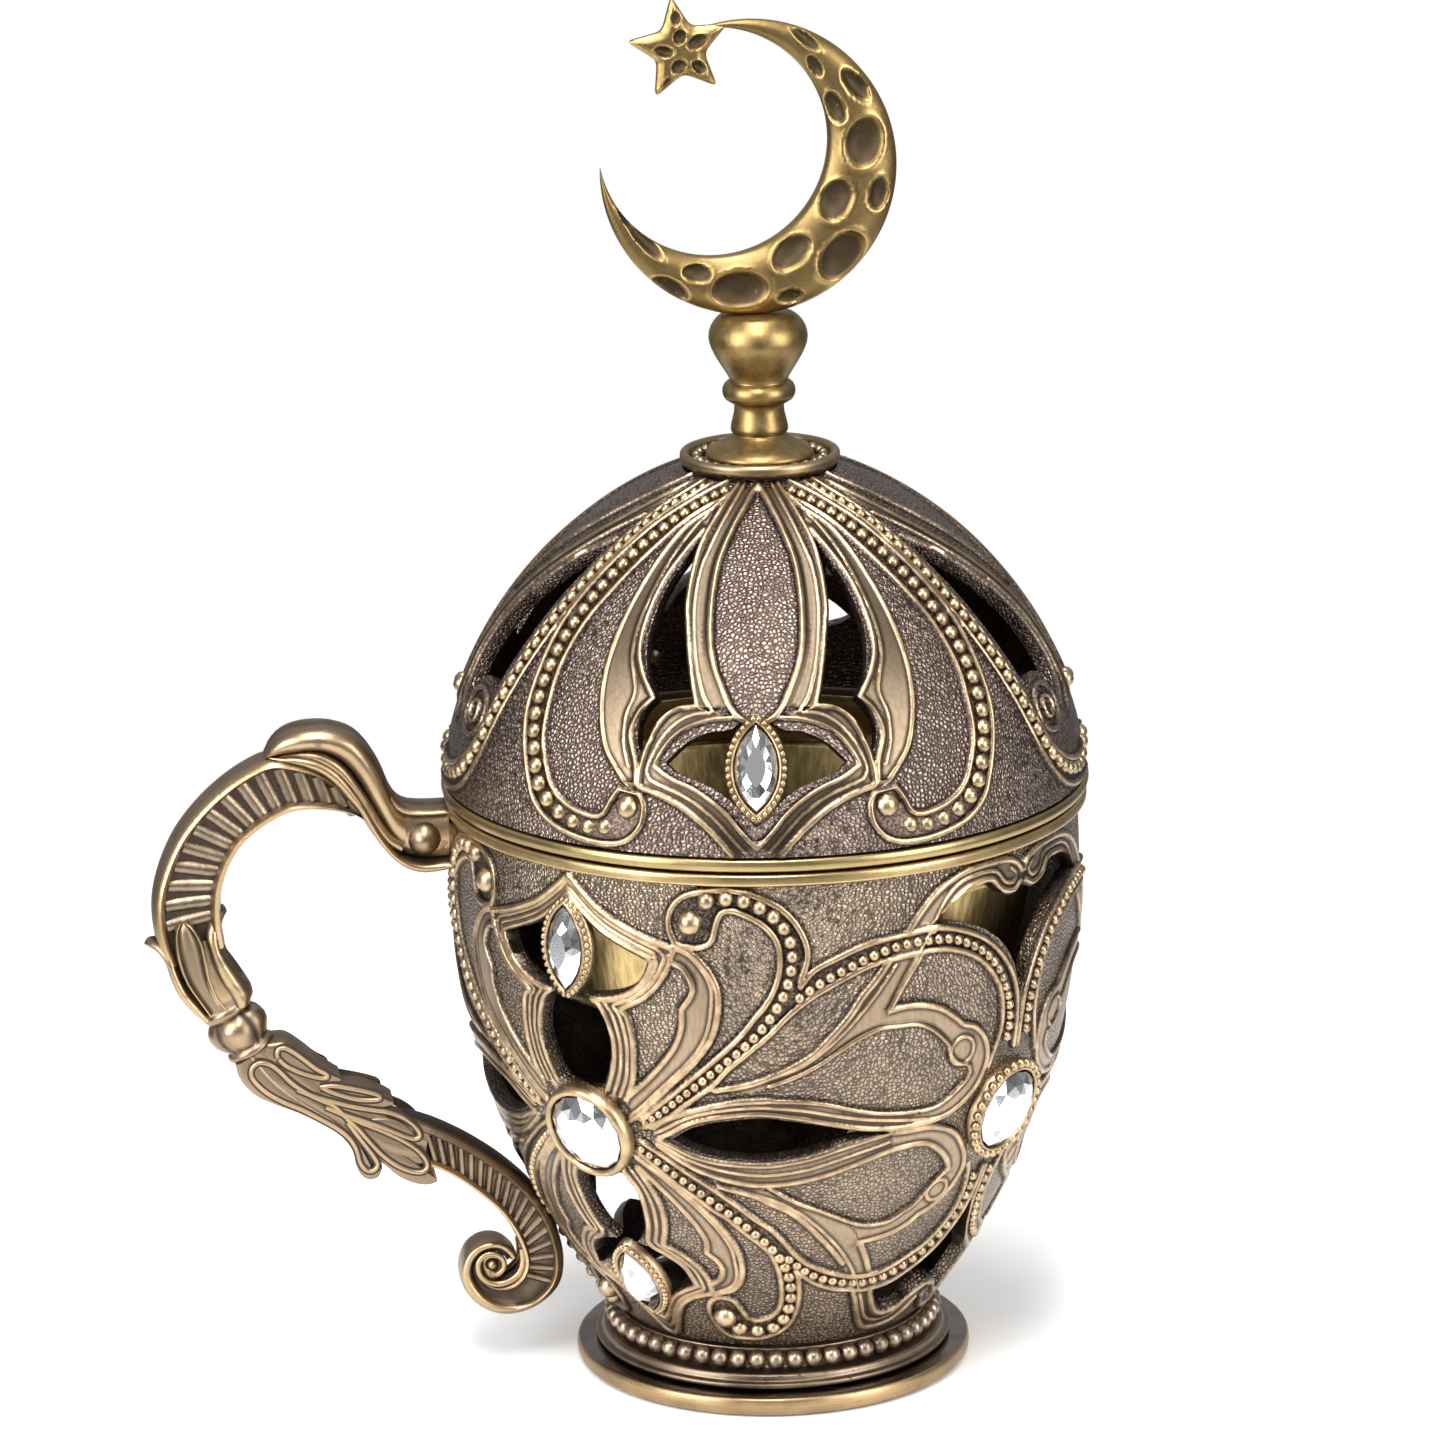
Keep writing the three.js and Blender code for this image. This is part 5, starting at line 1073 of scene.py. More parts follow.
class Seat:
    """Where a stone sits: a point on a wall, with its outward, sideways and upward directions."""

    def __init__(self, skin, turn, along):
        radius, height, out_round, out_up = (float(v) for v in skin.meridian(np.array(float(along))))
        angle = math.radians(turn)
        around = Vector((math.sin(angle), -math.cos(angle), 0))
        self.centre = around * radius + Vector((0, 0, height))
        self.out = around * out_round + Vector((0, 0, out_up))
        self.side = Vector((math.cos(angle), math.sin(angle), 0))
        self.up = self.out.cross(self.side) * -1
        if self.up.z < 0 and abs(self.up.z) > 0.05:
            self.up = -self.up
        self.out.normalize()
        self.up.normalize()

    def at(self, across, up, out):
        return tuple((self.centre + self.side * across + self.up * up + self.out * out) * MM)


def tube_faces(rows, around, base=0, closed=False):
    """Faces between rows of points that each go once round; a closed tube joins its last row to its first."""
    faces = []
    for n in range(rows if closed else rows - 1):
        low, high = base + n * around, base + (n + 1) % rows * around
        for k in range(around):
            m = (k + 1) % around
            faces.append((low + k, low + m, high + m, high + k))
    return faces


def swept_rim(seat, outline, section):
    """A closed rim: an outline's section is given as (distance outward from the outline, height)."""
    ahead = np.roll(outline, -1, 0) - np.roll(outline, 1, 0)
    ahead /= np.hypot(*ahead.T)[:, None]
    normal = np.stack([-ahead[:, 1], ahead[:, 0]], -1)
    if (outline * normal).sum(1).mean() < 0:
        normal = -normal
    points = []
    for (u, v), (nu, nv) in zip(outline, normal):
        for away, out in section:
            points.append(seat.at(u + nu * away, v + nv * away, out))
    return points, tube_faces(len(outline), len(section), closed=True)


def faceted_stone(seat, outline, table_share, crown_share, low, girdle, crown, table):
    """A cut stone: a flat back, a girdle, two rows of staggered crown facets and a flat table, as closed faces."""
    count = len(outline)
    half_turned = (outline + np.roll(outline, -1, 0)) / 2
    rings = [
        [seat.at(u, v, low) for u, v in outline],
        [seat.at(u, v, girdle) for u, v in outline],
        [seat.at(u * crown_share, v * crown_share, crown) for u, v in half_turned],
        [seat.at(u * table_share, v * table_share, table) for u, v in outline],
    ]
    points = [point for ring in rings for point in ring]
    faces = [tuple(range(count)), tuple(range(3 * count, 4 * count))]
    for n in range(count):
        m = (n + 1) % count
        faces.append((n, m, count + m, count + n))
        faces += [(count + n, count + m, 2 * count + n), (count + m, 2 * count + m, 2 * count + n)]
        faces += [(2 * count + n, 2 * count + m, 3 * count + m), (2 * count + n, 3 * count + m, 3 * count + n)]
    return points, faces


def foiled_glass(name):
    """Clear glass over foil, seen as a polished mirror whose facets each carry a painted reflection, a random tone
    from dark grey to near white.
    """
    shader = Shader(name, 1.0, 0.05)
    tone = shader.attribute("painted_facet_reflection")
    haze = shader.noise(1.6, 3, 0.6)
    scratch = shader.noise(0.5, 3, 0.7, stretch=(1, 1, 3))
    colour = shader.mix(tone, (0.2, 0.21, 0.23), (0.92, 0.93, 0.95))
    colour = shader.mix(shader.ramp(haze, 0.55, 0.8, 0, 0.5), colour, (0.5, 0.5, 0.52))
    rough = shader.scaled(scratch, 0.07, shader.ramp(haze, 0.4, 0.8, 0.03, 0.12))
    return shader.finish(colour, rough, shader.bump(scratch, 0.008))


stone_glass = foiled_glass("foiled_clear_glass")
bezel_metal = cast_bead_metal("bezel_brass", (0.44, 0.32, 0.185), (0.27, 0.195, 0.12), (0.07, 0.05, 0.035))
facet_draw = np.random.default_rng(11)


def set_stone(place, seat, outline, body, shares):
    """A stone in its seat, with a painted reflection tone for each facet, whose table's and crown's spread are shares
    of the girdle.
    """
    back, girdle, crown, table = 0.62, 1.3, 2.25, 2.85
    points, faces = faceted_stone(seat, outline, *shares, back, girdle, crown, table)
    piece = add_piece("glass_" + place, points, faces, stone_glass, body, "clear_stone", ["stone_" + place], sharp=2)
    piece.data.shade_flat()
    # Each facet gets a random painted reflection tone; the large table and back faces get one light tone.
    tones = facet_draw.uniform(0.15, 1.0, len(piece.data.polygons))
    big = [face.index for face in piece.data.polygons if len(face.vertices) > 4]
    tones[big] = 0.75
    marks = piece.data.attributes.new("painted_facet_reflection", "FLOAT", "FACE")
    marks.data.foreach_set("value", tones.astype(np.float32))
    return piece


leaf_stone, leaf_cut = leaf_outline(3.08, 6.2, 16), (0.46, 0.76)
round_stone, round_cut = round_outline(6.15, 14), (0.52, 0.79)
leaf_rim_line = leaf_outline(3.7, 7.05, 96)
round_rim_line = round_outline(6.85, 96)
smooth_section = [
    (-0.45, -0.5), (-0.5, 1.25), (-0.35, 1.6), (0.0, 1.72), (0.4, 1.6), (0.68, 1.2), (0.8, 0.5), (0.85, -0.5)]
beaded_section = [
    (-0.4, -0.5), (-0.45, 1.25), (-0.3, 1.5), (-0.08, 1.5), (0.08, 1.2), (0.6, 0.85), (0.8, 0.3), (0.85, -0.5)]


def bezel_beads(seat, outline, count, away, out, size):
    """Evenly spaced bead places along an outline."""
    closed = np.vstack([outline, outline[:1]])
    walked = lengths_along(closed)
    at = (np.arange(count) + 0.5) / count * walked[-1]
    u, v = np.interp(at, walked, closed[:, 0]), np.interp(at, walked, closed[:, 1])
    grow = 1 + away / np.maximum(np.hypot(u, v), 1e-6)
    return [seat.at(a * g, b * g, out) for a, b, g in zip(u, v, grow)], [size * MM] * count


def leaf_bezel(name, seat, body, slot):
    """A leaf-shaped rim, with its beads, at a seat."""
    add_piece(name + "_rim", *swept_rim(seat, leaf_rim_line, beaded_section), bezel_metal, body, slot, sharp=60)
    places, sizes = bezel_beads(seat, leaf_rim_line, 34, 0.36, 0.98, 0.5)
    bead_row(name + "_beads", places, sizes, bezel_metal, body, slot, sides=8, rows=5)


upper_stone_share, round_stone_share, lower_stone_share = 0.857, 0.487, 0.153


def cup_seat(axis, share):
    """A stone's seat on the cup, at a share of its height."""
    return Seat(CupSkin, axis, cup_low + (cup_high - cup_low) * share)


def round_bezel(side_name, axis, section):
    """The round rim in the middle of one side of the cup, and its seat."""
    seat = cup_seat(axis, round_stone_share)
    add_piece(f"bezel_cup_{side_name}_round", *swept_rim(seat, round_rim_line, section), bezel_metal, "base",
              "cast_bronze", sharp=60)
    return seat


for side_name, axis in (("front", -45), ("back", 135)):
    for place_name, share in (("upper", upper_stone_share), ("lower", lower_stone_share)):
        seat = cup_seat(axis, share)
        leaf_bezel(f"bezel_cup_{side_name}_{place_name}", seat, "base", "cast_bronze")
        set_stone(f"cup_{side_name}_{place_name}", seat, leaf_stone, "base", leaf_cut)
    set_stone(f"cup_{side_name}_round", round_bezel(side_name, axis, smooth_section), round_stone, "base", round_cut)
for side_name, axis in (("right", 45), ("left", -135)):
    seat = round_bezel(side_name, axis, beaded_section)
    places, sizes = bezel_beads(seat, round_rim_line, 28, 0.55, 0.95, 0.78)
    bead_row(f"bezel_cup_{side_name}_beads", places, sizes, bezel_metal, "base", "cast_bronze")
    set_stone(f"cup_{side_name}_round", seat, round_stone, "base", round_cut)

# Cup ring: a rolled brass band at the cup's mouth, pressed into it by its sleeve. A ledge inside it carries the bowl,
# and its top edge is rounded over beside the dark seam under the lid.
ring_metal = turned_metal("rim_brass", (0.52, 0.375, 0.185), (0.3, 0.21, 0.1), 0.28, wear=0.25)
ring_sides = 180
cup_ring_profile = rounded([
    (43.85, 82.6), (44.75, 82.6), (44.75, 87.98), (47.6, 88.02), (47.98, 88.3), (47.98, 89.55), (47.65, 89.88),
    (43.85, 89.88), (43.85, 83.5), (42.1, 83.5), (42.1, 82.62)],
    [0.1, 0.2, 0.2, 0.2, 0.25, 0.25, 0.2, 0.3, 0.2, 0.2, 0.2])
add_piece(
    "cup_ring_rolled", *spin(cup_ring_profile, ring_sides), ring_metal, "base", "antique_brass",
    ["cup_ring"], sharp=60)

# Inner bowl: spun sheet brass, brushed up and down, with a rolled lip that hangs on the ledge of the cup's ring.
# It holds the charcoal, is loose, and lifts out.
bowl_brush = Shader("bowl_brushed_brass", 1.0, 0.36)
bowl_lines = bowl_brush.noise(1.1, 4, 0.65, stretch=(1, 1, 0.08))
bowl_cloud = bowl_brush.noise(12, 4, 0.6)
bowl_tone = bowl_brush.mix(bowl_brush.ramp(bowl_lines, 0.3, 0.7), (0.3, 0.21, 0.085), (0.6, 0.44, 0.2))
bowl_tone = bowl_brush.mix(bowl_brush.ramp(bowl_cloud, 0.55, 0.8, 0, 0.5), bowl_tone, (0.2, 0.14, 0.06))
bowl_metal = bowl_brush.finish(
    bowl_tone, bowl_brush.scaled(bowl_lines, 0.18, 0.26), bowl_brush.bump(bowl_lines, 0.06))
bowl_profile = rounded([
    (0, 62.85), (35.8, 62.85), (37.25, 64.3), (41.55, 83.85), (43.4, 83.85), (43.4, 84.75), (40.9, 84.75),
    (36.3, 64.3), (35.6, 63.75), (0, 63.75)],
    [0, 1.2, 1.2, 0.4, 0.3, 0.4, 0.8, 0.8, 0.8, 0])
add_piece("bowl_spun", *spin(bowl_profile, turned_sides), bowl_metal, "bowl", "bowl_brass", ["inner_bowl"], sharp=50)

# Handle: one scrolled casting in pale bronze plate, made in a two-part mould, so its front and back are alike.
# Its ribbed arms, petals and leaves are drawn as pairs of edge points, as (distance from the axis, height).
handle_shares = {  # across from edge to edge (-1 to 1), share of the depth, crest
    "rimmed": [(-1, 0.25, 0.4), (-0.97, 0.62, 0.9), (-0.88, 0.94, 1), (-0.76, 1, 1), (-0.66, 0.9, 0.8),
        (-0.61, 0.6, 0.1), (-0.3, 0.56, 0.12), (0.0, 0.55, 0.15), (0.35, 0.56, 0.12), (0.66, 0.6, 0.1),
        (0.71, 0.88, 0.8), (0.8, 0.98, 1), (0.92, 0.92, 1), (0.98, 0.6, 0.9), (1, 0.25, 0.4)],
    "tail": [(-1, 0.3, 0.1), (-0.96, 0.62, 0.2), (-0.86, 0.84, 0.35), (-0.74, 0.95, 0.6), (-0.62, 1, 1),
        (-0.52, 0.92, 0.9), (-0.47, 0.62, 0.1), (-0.1, 0.57, 0.3), (0.3, 0.57, 0.3), (0.62, 0.6, 0.1),
        (0.67, 0.88, 0.8), (0.77, 0.99, 1), (0.9, 0.94, 1), (0.97, 0.66, 0.9), (1, 0.3, 0.5)],
    "coil": [(-1, 0.3, 0.6), (-0.96, 0.6, 0.8), (-0.84, 0.86, 0.95), (-0.62, 0.98, 1), (-0.3, 1, 1), (0.0, 0.95, 1),
        (0.18, 0.84, 0.8), (0.3, 0.66, 0.2), (0.45, 0.58, 0.1), (0.6, 0.58, 0.1), (0.7, 0.58, 0.1), (0.8, 0.6, 0.2),
        (0.9, 0.6, 0.2), (0.96, 0.5, 0.3), (1, 0.3, 0.2)],
    "lobe": [(-1, 0.2, 0.3), (-0.95, 0.48, 0.5), (-0.8, 0.74, 0.7), (-0.5, 0.93, 0.9), (-0.15, 1, 1),
        (0.15, 0.99, 1), (0.5, 0.9, 0.8), (0.8, 0.7, 0.5), (0.95, 0.44, 0.2), (1, 0.2, 0.0)],
    "petal": [(-1, 0.3, 0.4), (-0.95, 0.72, 0.9), (-0.84, 0.96, 1), (-0.72, 0.95, 1), (-0.6, 0.78, 0.35),
        (-0.3, 0.84, 0.45), (0.0, 0.87, 0.55), (0.3, 0.84, 0.45), (0.6, 0.78, 0.35), (0.72, 0.95, 1),
        (0.84, 0.96, 1), (0.95, 0.72, 0.9), (1, 0.3, 0.4)],
    "leaf": [(-1, 0.4, 0.4), (-0.96, 0.74, 0.7), (-0.88, 0.9, 0.8), (-0.74, 0.97, 0.7), (-0.5, 1, 0.62),
        (-0.2, 1, 0.66), (0.2, 1, 0.66), (0.5, 1, 0.62), (0.74, 0.97, 0.7), (0.88, 0.9, 0.8), (0.96, 0.74, 0.7),
        (1, 0.4, 0.4)],
    "fluted": [(-1, 0.5, 0.4), (-0.92, 0.84, 0.7), (-0.8, 0.96, 0.75), (-0.68, 0.98, 0.6), (-0.55, 0.95, 0.4),
        (-0.42, 0.99, 0.6), (-0.28, 1, 0.7), (-0.14, 0.98, 0.6), (0.0, 0.95, 0.4), (0.14, 0.98, 0.6),
        (0.28, 1, 0.7), (0.42, 0.99, 0.6), (0.55, 0.95, 0.4), (0.68, 0.98, 0.6), (0.8, 0.96, 0.75),
        (0.92, 0.84, 0.7), (1, 0.5, 0.4)],
}
handle_step = 0.9


def metal_with_crests(name, bright, mid, dark, shine=0.3):
    """Plated metal whose crests are rubbed bright while patina stays low, by the crest value of each vertex; on the
    crescent and star that value also paints the dents dark as painted shade, and beside the leaf lines it paints
    shade together with patina.
    """
    shader = Shader(name, 1.0, shine)
    crest = shader.attribute("crest")
    cloud = shader.noise(6, 4, 0.6)
    grain = shader.noise(0.6, 3, 0.7)
    brush = shader.noise(1.2, 3, 0.6, stretch=(1, 0.25, 1))
    worn = shader.scaled(cloud, 0.5, shader.math("SUBTRACT", crest, 0.25))
    colour = shader.mix(shader.ramp(worn, 0.12, 0.52), dark, mid)
    colour = shader.mix(shader.ramp(worn, 0.6, 1.05), colour, bright)
    colour = shader.mix(shader.ramp(grain, 0.68, 0.8, 0, 0.6), colour, dark)
    rough = shader.scaled(grain, 0.2, shader.ramp(crest, 0.1, 0.9, shine + 0.12, shine - 0.1))
    height = shader.scaled(grain, 0.5, shader.times(brush, 0.6))
    return shader.finish(colour, rough, shader.bump(height, 0.05))


handle_metal = metal_with_crests(
    "handle_pale_bronze", (0.37, 0.266, 0.152), (0.215, 0.159, 0.108), (0.055, 0.042, 0.033), 0.34)


def eased(table, count):
    """Rows of a table, with more rows on the smooth line through them."""
    rows = np.array(table, float)
    padded = with_ends(rows)
    at = np.linspace(0, len(rows) - 1, count)
    n = np.clip(at.astype(int), 0, len(rows) - 2)
    return cubic(*(padded[n + k] for k in range(4)), (at - n)[:, None])


def flat_ends(rows, around):
    """Faces that close a bar's first and last row, whose points go out on one side and back on the other."""
    return [(base + k, base + k + 1, base + around - 2 - k, base + around - 1 - k)
            for base in (0, (rows - 1) * around) for k in range(around // 2 - 1)]


def crested_piece(name, points, faces, crests, material, body, slot, replaces=(), sharp=50, missing=0.5):
    """A finished piece that keeps a crest value for each of its points."""
    def key(point):
        return tuple(round(c / MM, 3) for c in point)
    piece = add_piece(name, points, faces, material, body, slot, replaces, sharp)
    held = {key(point): crest for point, crest in zip(points, crests)}
    values = [held.get(key(v.co), missing) for v in piece.data.vertices]
    piece.data.attributes.new("crest", "FLOAT", "POINT").data.foreach_set("value", values)
    return piece


def strap(name, pairs, section, depths, last_section=None, blend=(0.5, 0.8), step=handle_step):
    """A cast bar between two edges, whose section runs from the first to the second, alike in front and back."""
    edges = np.array([first + second for first, second in pairs], float)
    length = np.hypot(*np.diff((edges[:, :2] + edges[:, 2:]) / 2, axis=0).T).sum()
    count = max(len(pairs), int(length / step))
    edges = eased(edges, count)
    depth = np.interp(np.linspace(0, 1, count), np.linspace(0, 1, len(depths)), depths)
    first = np.array(handle_shares[section])
    last = np.array(handle_shares[last_section or section])
    share = np.clip((np.linspace(0, 1, count) - blend[0]) / (blend[1] - blend[0]), 0, 1)
    points = []
    crests = []
    for n in range(count):
        shape = first * (1 - share[n]) + last * share[n]
        for face in (1, -1):
            for across, deep, crest in (shape if face == 1 else shape[::-1]):
                side = (across + 1) / 2
                reach = edges[n, 0] * (1 - side) + edges[n, 2] * side
                height = edges[n, 1] * (1 - side) + edges[n, 3] * side
                points.append((-reach * MM, -face * deep * depth[n] * MM, height * MM))
                crests.append(crest)
    around = 2 * len(first)
    faces = tube_faces(count, around) + flat_ends(count, around)
    return crested_piece(name, points, faces, crests, handle_metal, "base", "pale_bronze")


ribs_on_points = tree_on_points(
    "ribs_on_points", "GeometryNodeMeshCylinder", {"Radius": 1.0, "Depth": 2.0}, {"Sides": "Vertices"},
    {"rib_turn": ("FLOAT_VECTOR", "Rotation"), "rib_size": ("FLOAT_VECTOR", "Scale")},
)


def rib_row(name, pairs, low, high, pitch, low_end, high_end, depth, fullness=0.42):
    """Ribs across a channel, at one pitch between two shares of the path; the ends are shares of the width."""
    edges = eased([first + second for first, second in pairs], 400)
    middle = (edges[:, :2] + edges[:, 2:]) / 2
    walked = lengths_along(middle)
    at = np.arange(low * walked[-1], high * walked[-1], pitch)
    places, turns, sizes = [], [], []
    for along in at:
        first = np.array([np.interp(along, walked, edges[:, 0]), np.interp(along, walked, edges[:, 1])])
        second = np.array([np.interp(along, walked, edges[:, 2]), np.interp(along, walked, edges[:, 3])])
        start = first + (second - first) * low_end
        end = first + (second - first) * high_end
        centre = (start + end) / 2
        span = end - start
        places.append((-centre[0] * MM, 0, centre[1] * MM))
        turns.append((0, math.atan2(-span[0], span[1]), 0))
        sizes.append((pitch * fullness * MM, depth * MM, np.hypot(*span) / 2 * MM))
    carried = [("rib_turn", "FLOAT_VECTOR", "vector", turns), ("rib_size", "FLOAT_VECTOR", "vector", sizes)]
    made = grown_on_points(name, places, carried, ribs_on_points, {"Sides": 14, "Metal": rib_metal})
    soften(made, 40)
    return set_out(name, made, "base")


rib_metal = cast_bead_metal("rib_bronze", (0.26, 0.2, 0.138), (0.16, 0.122, 0.086), (0.05, 0.037, 0.028))

# The arch: a ribbed channel between two raised rims, from the thumb rest over to the calyx
arch = [
    ((60.2, 88.9), (58.9, 86.7)), ((62.2, 91.8), (60.6, 88.4)), ((64.6, 94.4), (62.8, 89.4)),
    ((67.4, 96.4), (65.4, 90.0)), ((70.6, 97.6), (68.2, 90.2)), ((74.2, 98.2), (71, 89.9)),
    ((78, 96.6), (73.6, 88.8)), ((81.8, 94), (76, 87.3)), ((85.2, 90.8), (78, 85.6)), ((88.2, 87), (79.6, 83.4)),
    ((90.4, 82.6), (80.8, 80.9)), ((91.8, 78), (81.6, 78.2)), ((92, 73.6), (81.8, 75.4)), ((91.4, 70), (81.8, 73)),
    ((90.2, 67), (81.4, 70))]
arch_strap = strap("handle_arch", arch, "rimmed", [3.2, 4.1, 4.2, 4.2, 4.2, 4.2, 4.0])
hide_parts("handle")
rib_row("handle_arch_ribs", arch, 0.07, 0.93, 2.75, 0.2, 0.85, 2.95, 0.62)

# The thumb rest: a curled leaf of two lobes, which runs down into the block that is screwed to the cup
strap("handle_thumb_leaf", [
    ((74.6, 98.3), (74.4, 98.0)), ((73.7, 100.2), (72.6, 98.4)), ((72, 101.8), (70.8, 98.6)),
    ((69.6, 102.6), (69, 98.9)), ((66.6, 102.8), (67, 98.9)), ((63.8, 102.4), (65.2, 98.4)),
    ((61.2, 101.2), (63.4, 97.2)), ((59.2, 99), (61.8, 95.3)), ((57.6, 96.2), (60.4, 93)), ((56.6, 93.6), (59, 90.2)),
    ((55.8, 91.6), (57.6, 87.4)), ((54.9, 90.2), (56.2, 84.8)), ((54, 89.6), (54.4, 82.8))], "lobe",
    [2.2, 3.6, 4.6, 4.8, 4.8, 4.7, 4.4, 4.0, 3.6])
strap("handle_thumb_lobe", [
    ((74.0, 98.4), (74.4, 98)), ((72.2, 98.6), (73, 97.6)), ((70.2, 98.8), (71, 97.0)), ((67.8, 98.5), (68.8, 96.3)),
    ((65.6, 97.7), (66.6, 95.2)), ((63.5, 96.1), (64.5, 93.4)), ((61.7, 93.8), (62.6, 91.0)),
    ((60.1, 91.1), (60.8, 88.7)), ((58.7, 88.1), (59.4, 86.2)), ((57.1, 85.1), (57.8, 83.8)),
    ((55.5, 83.1), (56, 81.6)), ((53.5, 81.9), (53.9, 80.0)), ((51, 81.4), (51.2, 79.3)),
    ((47.2, 81.5), (47.2, 79.8))], "lobe",
    [2.0, 3.6, 4.2, 4.4, 4.4, 4.3, 4.2, 4.0, 4.0])
strap("handle_thumb_root", [
    ((73.4, 98.4), (73.6, 97.9)), ((70.2, 99.2), (70.4, 98.2)), ((67.2, 99.4), (67.8, 97.3)),
    ((64.8, 98.6), (65.8, 96)), ((62.6, 96.8), (63.8, 94.2)), ((60.8, 94.2), (62, 91.8)),
    ((59.0, 91.2), (60.4, 88.9)), ((57.4, 88.2), (58.8, 86)), ((56, 86.2), (57.2, 83.6)),
    ((54.2, 85.2), (55.2, 82.1))], "lobe",
    [2.0, 3.4, 3.9, 4.0, 4.0, 3.9, 3.8, 3.6, 3.4])
strap("handle_block", [
    ((56.2, 91.6), (57.4, 86.6)), ((54.8, 90.1), (55.4, 82.6)), ((52.8, 89.7), (53, 81.6)),
    ((50.5, 89.5), (50.5, 81.2)), ((47.7, 89.4), (47.7, 81.2))], "lobe",
    [3.2, 3.3, 3.2, 3.2])
strap("handle_block_lip", [
    ((56.6, 93.4), (57.6, 91.6)), ((55.4, 91.2), (56.1, 89.6)), ((54, 90.0), (54.2, 88.5)), ((52, 89.6), (52, 88.2)),
    ((50, 89.5), (50, 88.2)), ((47.7, 89.5), (47.7, 88.3))], "lobe", [3.0, 3.9, 3.9, 3.8])


def ball(name, reach, height, radius, deep, sides=28):
    """A round boss that stands proud of both faces."""
    profile = [(max(0.0, math.sin(t)), -math.cos(t)) for t in np.linspace(0, math.pi, 15)]
    profile[0], profile[-1] = (0, -1), (0, 1)
    points, faces = spin(profile, sides)
    points = [(x * radius - reach * MM, -z * deep, y * radius + height * MM) for x, y, z in points]
    return crested_piece(name, points, faces, [], handle_metal, "base", "pale_bronze", sharp=35, missing=0.75)


ball("handle_boss", 51.4, 84.9, 3.1, 5.1)
strap("handle_block_root", [
    ((49.2, 87.5), (49.2, 81.5)), ((47.8, 87.4), (47.8, 81.8)), ((46.7, 87.3), (46.7, 82.2))], "lobe",
    [3.2, 3.1, 2.9])

# The calyx: three petals that open upward round the end of the arch
strap("handle_petal_outer", [
    ((93.3, 70.0), (92.4, 70.9)), ((91.7, 69.1), (90.8, 70.6)), ((90.4, 67.2), (89.2, 68.7)),
    ((89.7, 64.6), (88.2, 66)), ((88.5, 61.8), (87.0, 63.3)), ((86.8, 59.6), (85.4, 61.0)),
    ((85, 57.8), (84.0, 59.0))], "lobe",
    [1.2, 3.0, 4.0, 4.2, 4.2, 4.0, 3.6])
strap("handle_petal_middle", [
    ((88, 73.8), (87.2, 73.9)), ((88.9, 72.6), (85.9, 73.1)), ((89.1, 70), (84.6, 70.8)), ((88.6, 67.2), (84.1, 68)),
    ((87.5, 64.3), (83.7, 65.2)), ((86, 61.9), (82.7, 62.2)), ((84.4, 59.2), (81.2, 60))], "petal",
    [3.6, 4.5, 4.8, 4.8, 4.7, 4.4, 3.9])
strap("handle_petal_inner", [
    ((81.6, 75.3), (80.9, 74.5)), ((83.4, 74.2), (81.6, 73.2)), ((84.6, 72), (81.8, 71.2)),
    ((84.2, 69.4), (81.4, 68.8)), ((83.6, 66.4), (80, 66.6)), ((82.6, 63.8), (78.5, 64.2)),
    ((81.2, 61.6), (77.5, 62.2)), ((80.4, 60.0), (78.0, 60.6))], "lobe",
    [1.6, 3.2, 4.2, 4.3, 4.4, 4.2, 4.0, 3.6])
strap("handle_calyx_core", [
    ((90.2, 69.5), (82, 71.5)), ((88.6, 65), (80.6, 67)), ((86.6, 61), (78.8, 63.4)), ((84.4, 58), (78.4, 60.8))],
    "lobe", [3.4, 3.7, 3.6, 3.3])

# The knob: a bud between two cords, turned about the arm's own line
knob_top = Vector((-81.5, 0, 59.2))
knob_foot = Vector((-78.1, 0, 53.1))
knob_axis = (knob_foot - knob_top).normalized()
knob_side = Vector((knob_axis.z, 0, -knob_axis.x))
knob_profile = [
    (0, -1.4), (3.0, -1.2), (3.7, -0.7), (4.0, 0.0), (3.7, 0.6), (3.3, 0.95), (3.9, 1.3), (4.5, 2.1), (4.75, 3.1),
    (4.6, 4.1), (4.1, 5.1), (3.5, 5.9), (3.3, 6.2), (3.75, 6.6), (3.9, 7.1), (3.6, 7.6), (2.9, 8.0), (0, 8.4)]
knob_points, knob_faces = spin(knob_profile, 48)
knob_shaped = []
knob_crest = []
for x, y, z in knob_points:
    turn = math.atan2(y, x)
    along = z / MM
    upright = abs(math.cos(2.5 * turn + 0.5)) ** 0.5
    lobed = 0.9 + 0.12 * upright if 1.0 < along < 6.1 else 1.0
    side = knob_side * (x * lobed) + Vector((0, 1, 0)) * (y * lobed * 0.93)
    knob_shaped.append(tuple(knob_top * MM + knob_axis * z + side))
    knob_crest.append(0.7 if along < 0.7 or along > 6.4 else 1.05 * upright - 0.15)
crested_piece("handle_knob", knob_shaped, knob_faces, knob_crest, handle_metal, "base", "pale_bronze", sharp=60)

